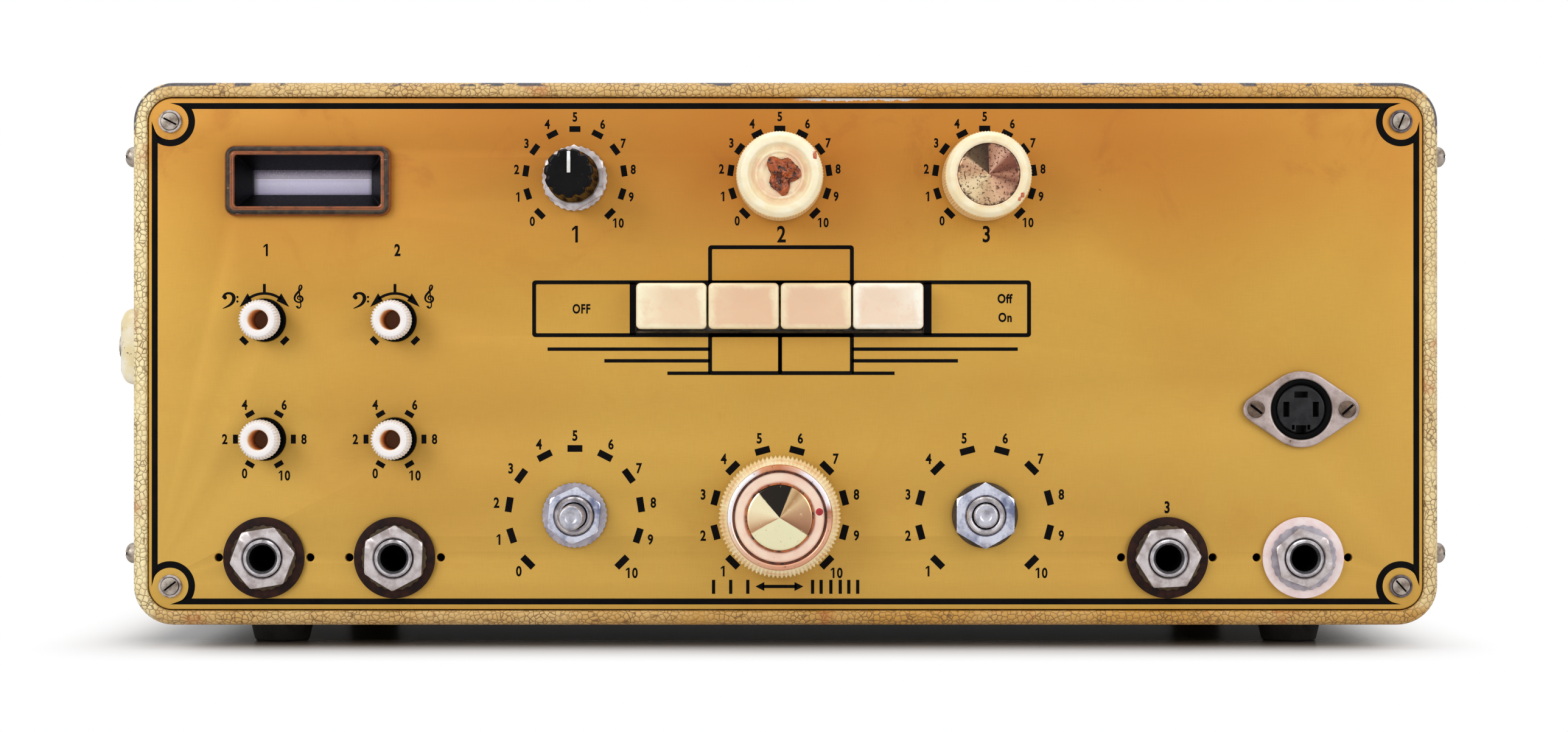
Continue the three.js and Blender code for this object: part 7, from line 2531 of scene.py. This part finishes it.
def addTransformer():
    low, high = boxOf("mains_transformer")
    middle = (low + high) / 2
    half, inset, pitch = works["coreDepth"] / 2, works["coilInset"], works["lamination"]
    outline = roundedLine(high.x - low.x, high.z - low.z, 0.8, 4, middle.x, middle.z)
    fronts = [middle.y - half + number * pitch for number in range(int(works["coreDepth"] / pitch))]
    sheets = [plateMesh("lamination", outline, [], front, front + pitch - 0.02, 0.28, 2) for front in fronts]
    core = sameFinish("transformer_core", sheets)
    addPiece("transformer_core", core, coreSteel, "plated_zinc", replaces=["mains_transformer"])
    wraps, fixings = [], []
    width, height = high.x - low.x - 2 * inset, high.z - low.z - 2 * inset
    for side in (-1, 1):
        near, far = sorted((middle.y + side * half * 0.98, middle.y + side * (high.y - low.y) / 2))
        coil = plateMesh("coil", roundedLine(width, height, 5, 10), [], near, far, 2.2, 5)
        wraps.append(moved(coil, middle.x, 0, middle.z))
        front, back = (near + 0.4, far + 0.14) if side > 0 else (near - 0.14, far - 0.4)
        for level in (-0.3, 0.3):
            band = roundedLine(width + 0.5, 2.4, 1.0, 4, middle.x, middle.z + level * height)
            wraps.append(plateMesh("coil_band", band, [], front, back, 0.3, 2))
    addPiece("transformer_coil", sameFinish("transformer_coil", wraps), coilPaper, "plated_zinc")
    for side in (-1, 1):
        for z in (-works["boltZ"], works["boltZ"]):
            bolt = nutMesh("core_bolt", 6.4, 12 * side + 9, -1.8, 0.1, 1.2)
            fixings.append(moved(bolt, middle.x + side * works["boltX"], middle.y - half, middle.z + z))
        for reach in (4, 10, 16):
            x = middle.x + side * reach
            ends = (x - 1, middle.y - 3, high.z - 0.2), (x + 1, middle.y - 2.4, high.z + 4)
            fixings.append(blockMesh("tag", *ends, 0.15))
    ends = (middle.x - 20, middle.y - 4, high.z), (middle.x + 20, middle.y + 4, high.z + 1.4)
    addPiece("transformer_fixings", sameFinish("transformer_fixings", fixings), nickelWorn, "nickel")
    addPiece("transformer_strip", blockMesh("tag_strip", *ends, 0.3), fibreBrown, "plated_zinc")


def addShelf(low, high, middle):
    depth, sheet, top = (high.y - low.y) / 2, works["shelfSheet"], works["shelfHeight"]
    half = works["valves"] * works["valvePitch"] / 2
    profile = [
        (-depth, 0), (-depth, top), (depth, top), (depth, 0), (depth - sheet, 0),
        (depth - sheet, top - sheet), (sheet - depth, top - sheet), (sheet - depth, 0),
    ]
    shelf = moved(loftMesh("valve_shelf", [(-half, profile), (half, profile)]), turn=-90, axis="Z")
    spot = (middle.x, middle.y, low.z)
    addPiece("valve_shelf", shelf, zincFinish, "plated_zinc", at=spot, replaces=["valve_row"], smooth=30)


def valveInside(radius, shoulder, top):
    # The meshes inside a valve's glass, each with its finish. shoulder is where its tip begins.
    anode = loftMesh("valve_anode", [(depth, roundedLine(*size, 8)) for depth, size in works["anode"]])
    parts = [(moved(anode, turn=-90, axis="X"), plateGrey)]
    for level in (6.5, 26.2):
        mica = [(0, level), (radius - 1.3, level), (radius - 1.3, level + 0.5), (0, level + 0.5)]
        parts.append((standingMesh("mica", mica, 0.1, 40), spliceFinish))
    for side in (-1, 1):
        rod = standingMesh("support", [(0, 0.2), (0.45, 0.2), (0.45, 30), (0, 30)], 0, 16, side * 6.6)
        parts.append((rod, nickelWorn))
    getter = [(2.2, 33), (3.2, 33), (3.2, 33.6), (2.2, 33.6), (2.2, 33)]
    parts.append((standingMesh("getter", getter, 0.15, 40), nickelWorn))
    half = (top + shoulder) / 2
    flash = [
        (0.3, top - 1.35), (radius - 3.4, half - 0.45), (radius - 1.15, shoulder - 1.4),
        (radius - 1.05, shoulder - 6), (radius - 1.2, shoulder - 6), (radius - 1.4, shoulder - 1.5),
        (radius - 3.6, half - 0.7), (0.3, top - 1.6), (0.3, top - 1.35),
    ]
    parts.append((standingMesh("flash", flash, 0, 48), getterSilver))
    return parts


def addValves():
    low, high = boxOf("valve_row")
    middle = (low + high) / 2
    addShelf(low, high, middle)
    shelfTop = low.z + works["shelfHeight"]
    wide, tall, radius, tip = (works[key] for key in ("socketRadius", "socketHeight", "valveRadius", "tip"))
    base = [(0, -0.6), (wide + 3, -0.6), (wide + 3, 0.8), (wide, 1.2), (wide, tall), (0, tall)]
    top = high.z - shelfTop - tall
    shoulder = top - tip
    bulb = [
        (radius - 0.8, 0.4), (radius, 1.2), (radius, shoulder), (radius - 1.6, top - tip * 0.45),
        (radius - 4.2, top - tip * 0.22), (1.8, top - 0.8), (0.9, top), (0, top), (0, top - 0.9),
        (radius - 3, top - tip * 0.5), (radius - 0.9, shoulder - 1), (radius - 0.9, 1.4), (radius - 0.8, 0.4),
    ]
    for number in range(1, works["valves"] + 1):
        x = middle.x + (number - (works["valves"] + 1) / 2) * works["valvePitch"]
        socket = standingMesh("valve_socket", base, 0.4, 56)
        addPiece(f"valve_socket_{number}", socket, valveBase, "inlet_brown", at=(x, middle.y, shelfTop))
        spot = (x, middle.y, shelfTop + tall)
        glass = standingMesh("valve_bulb", bulb, 0.8, 64, steps=4)
        addPiece(f"valve_bulb_{number}", glass, valveGlass, "eye_glass", at=spot)
        meshes, finishes = zip(*valveInside(radius, shoulder, top))
        inside = joinedMesh("valve_inside", meshes)
        addPiece(f"valve_inside_{number}", inside, list(finishes), "spindle_steel", at=spot)


addTransformer()
addValves()
print("works made")


# Solids that stay as they are: their finishes
def dressNode(node, finish):
    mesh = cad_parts[node].data
    mesh.materials.clear()
    mesh.materials.append(finish)


for node in ("chassis", "input_pots", "key_bank", "head_carriage"):
    dressNode(node, zincFinish)
print("carried-over solids dressed")
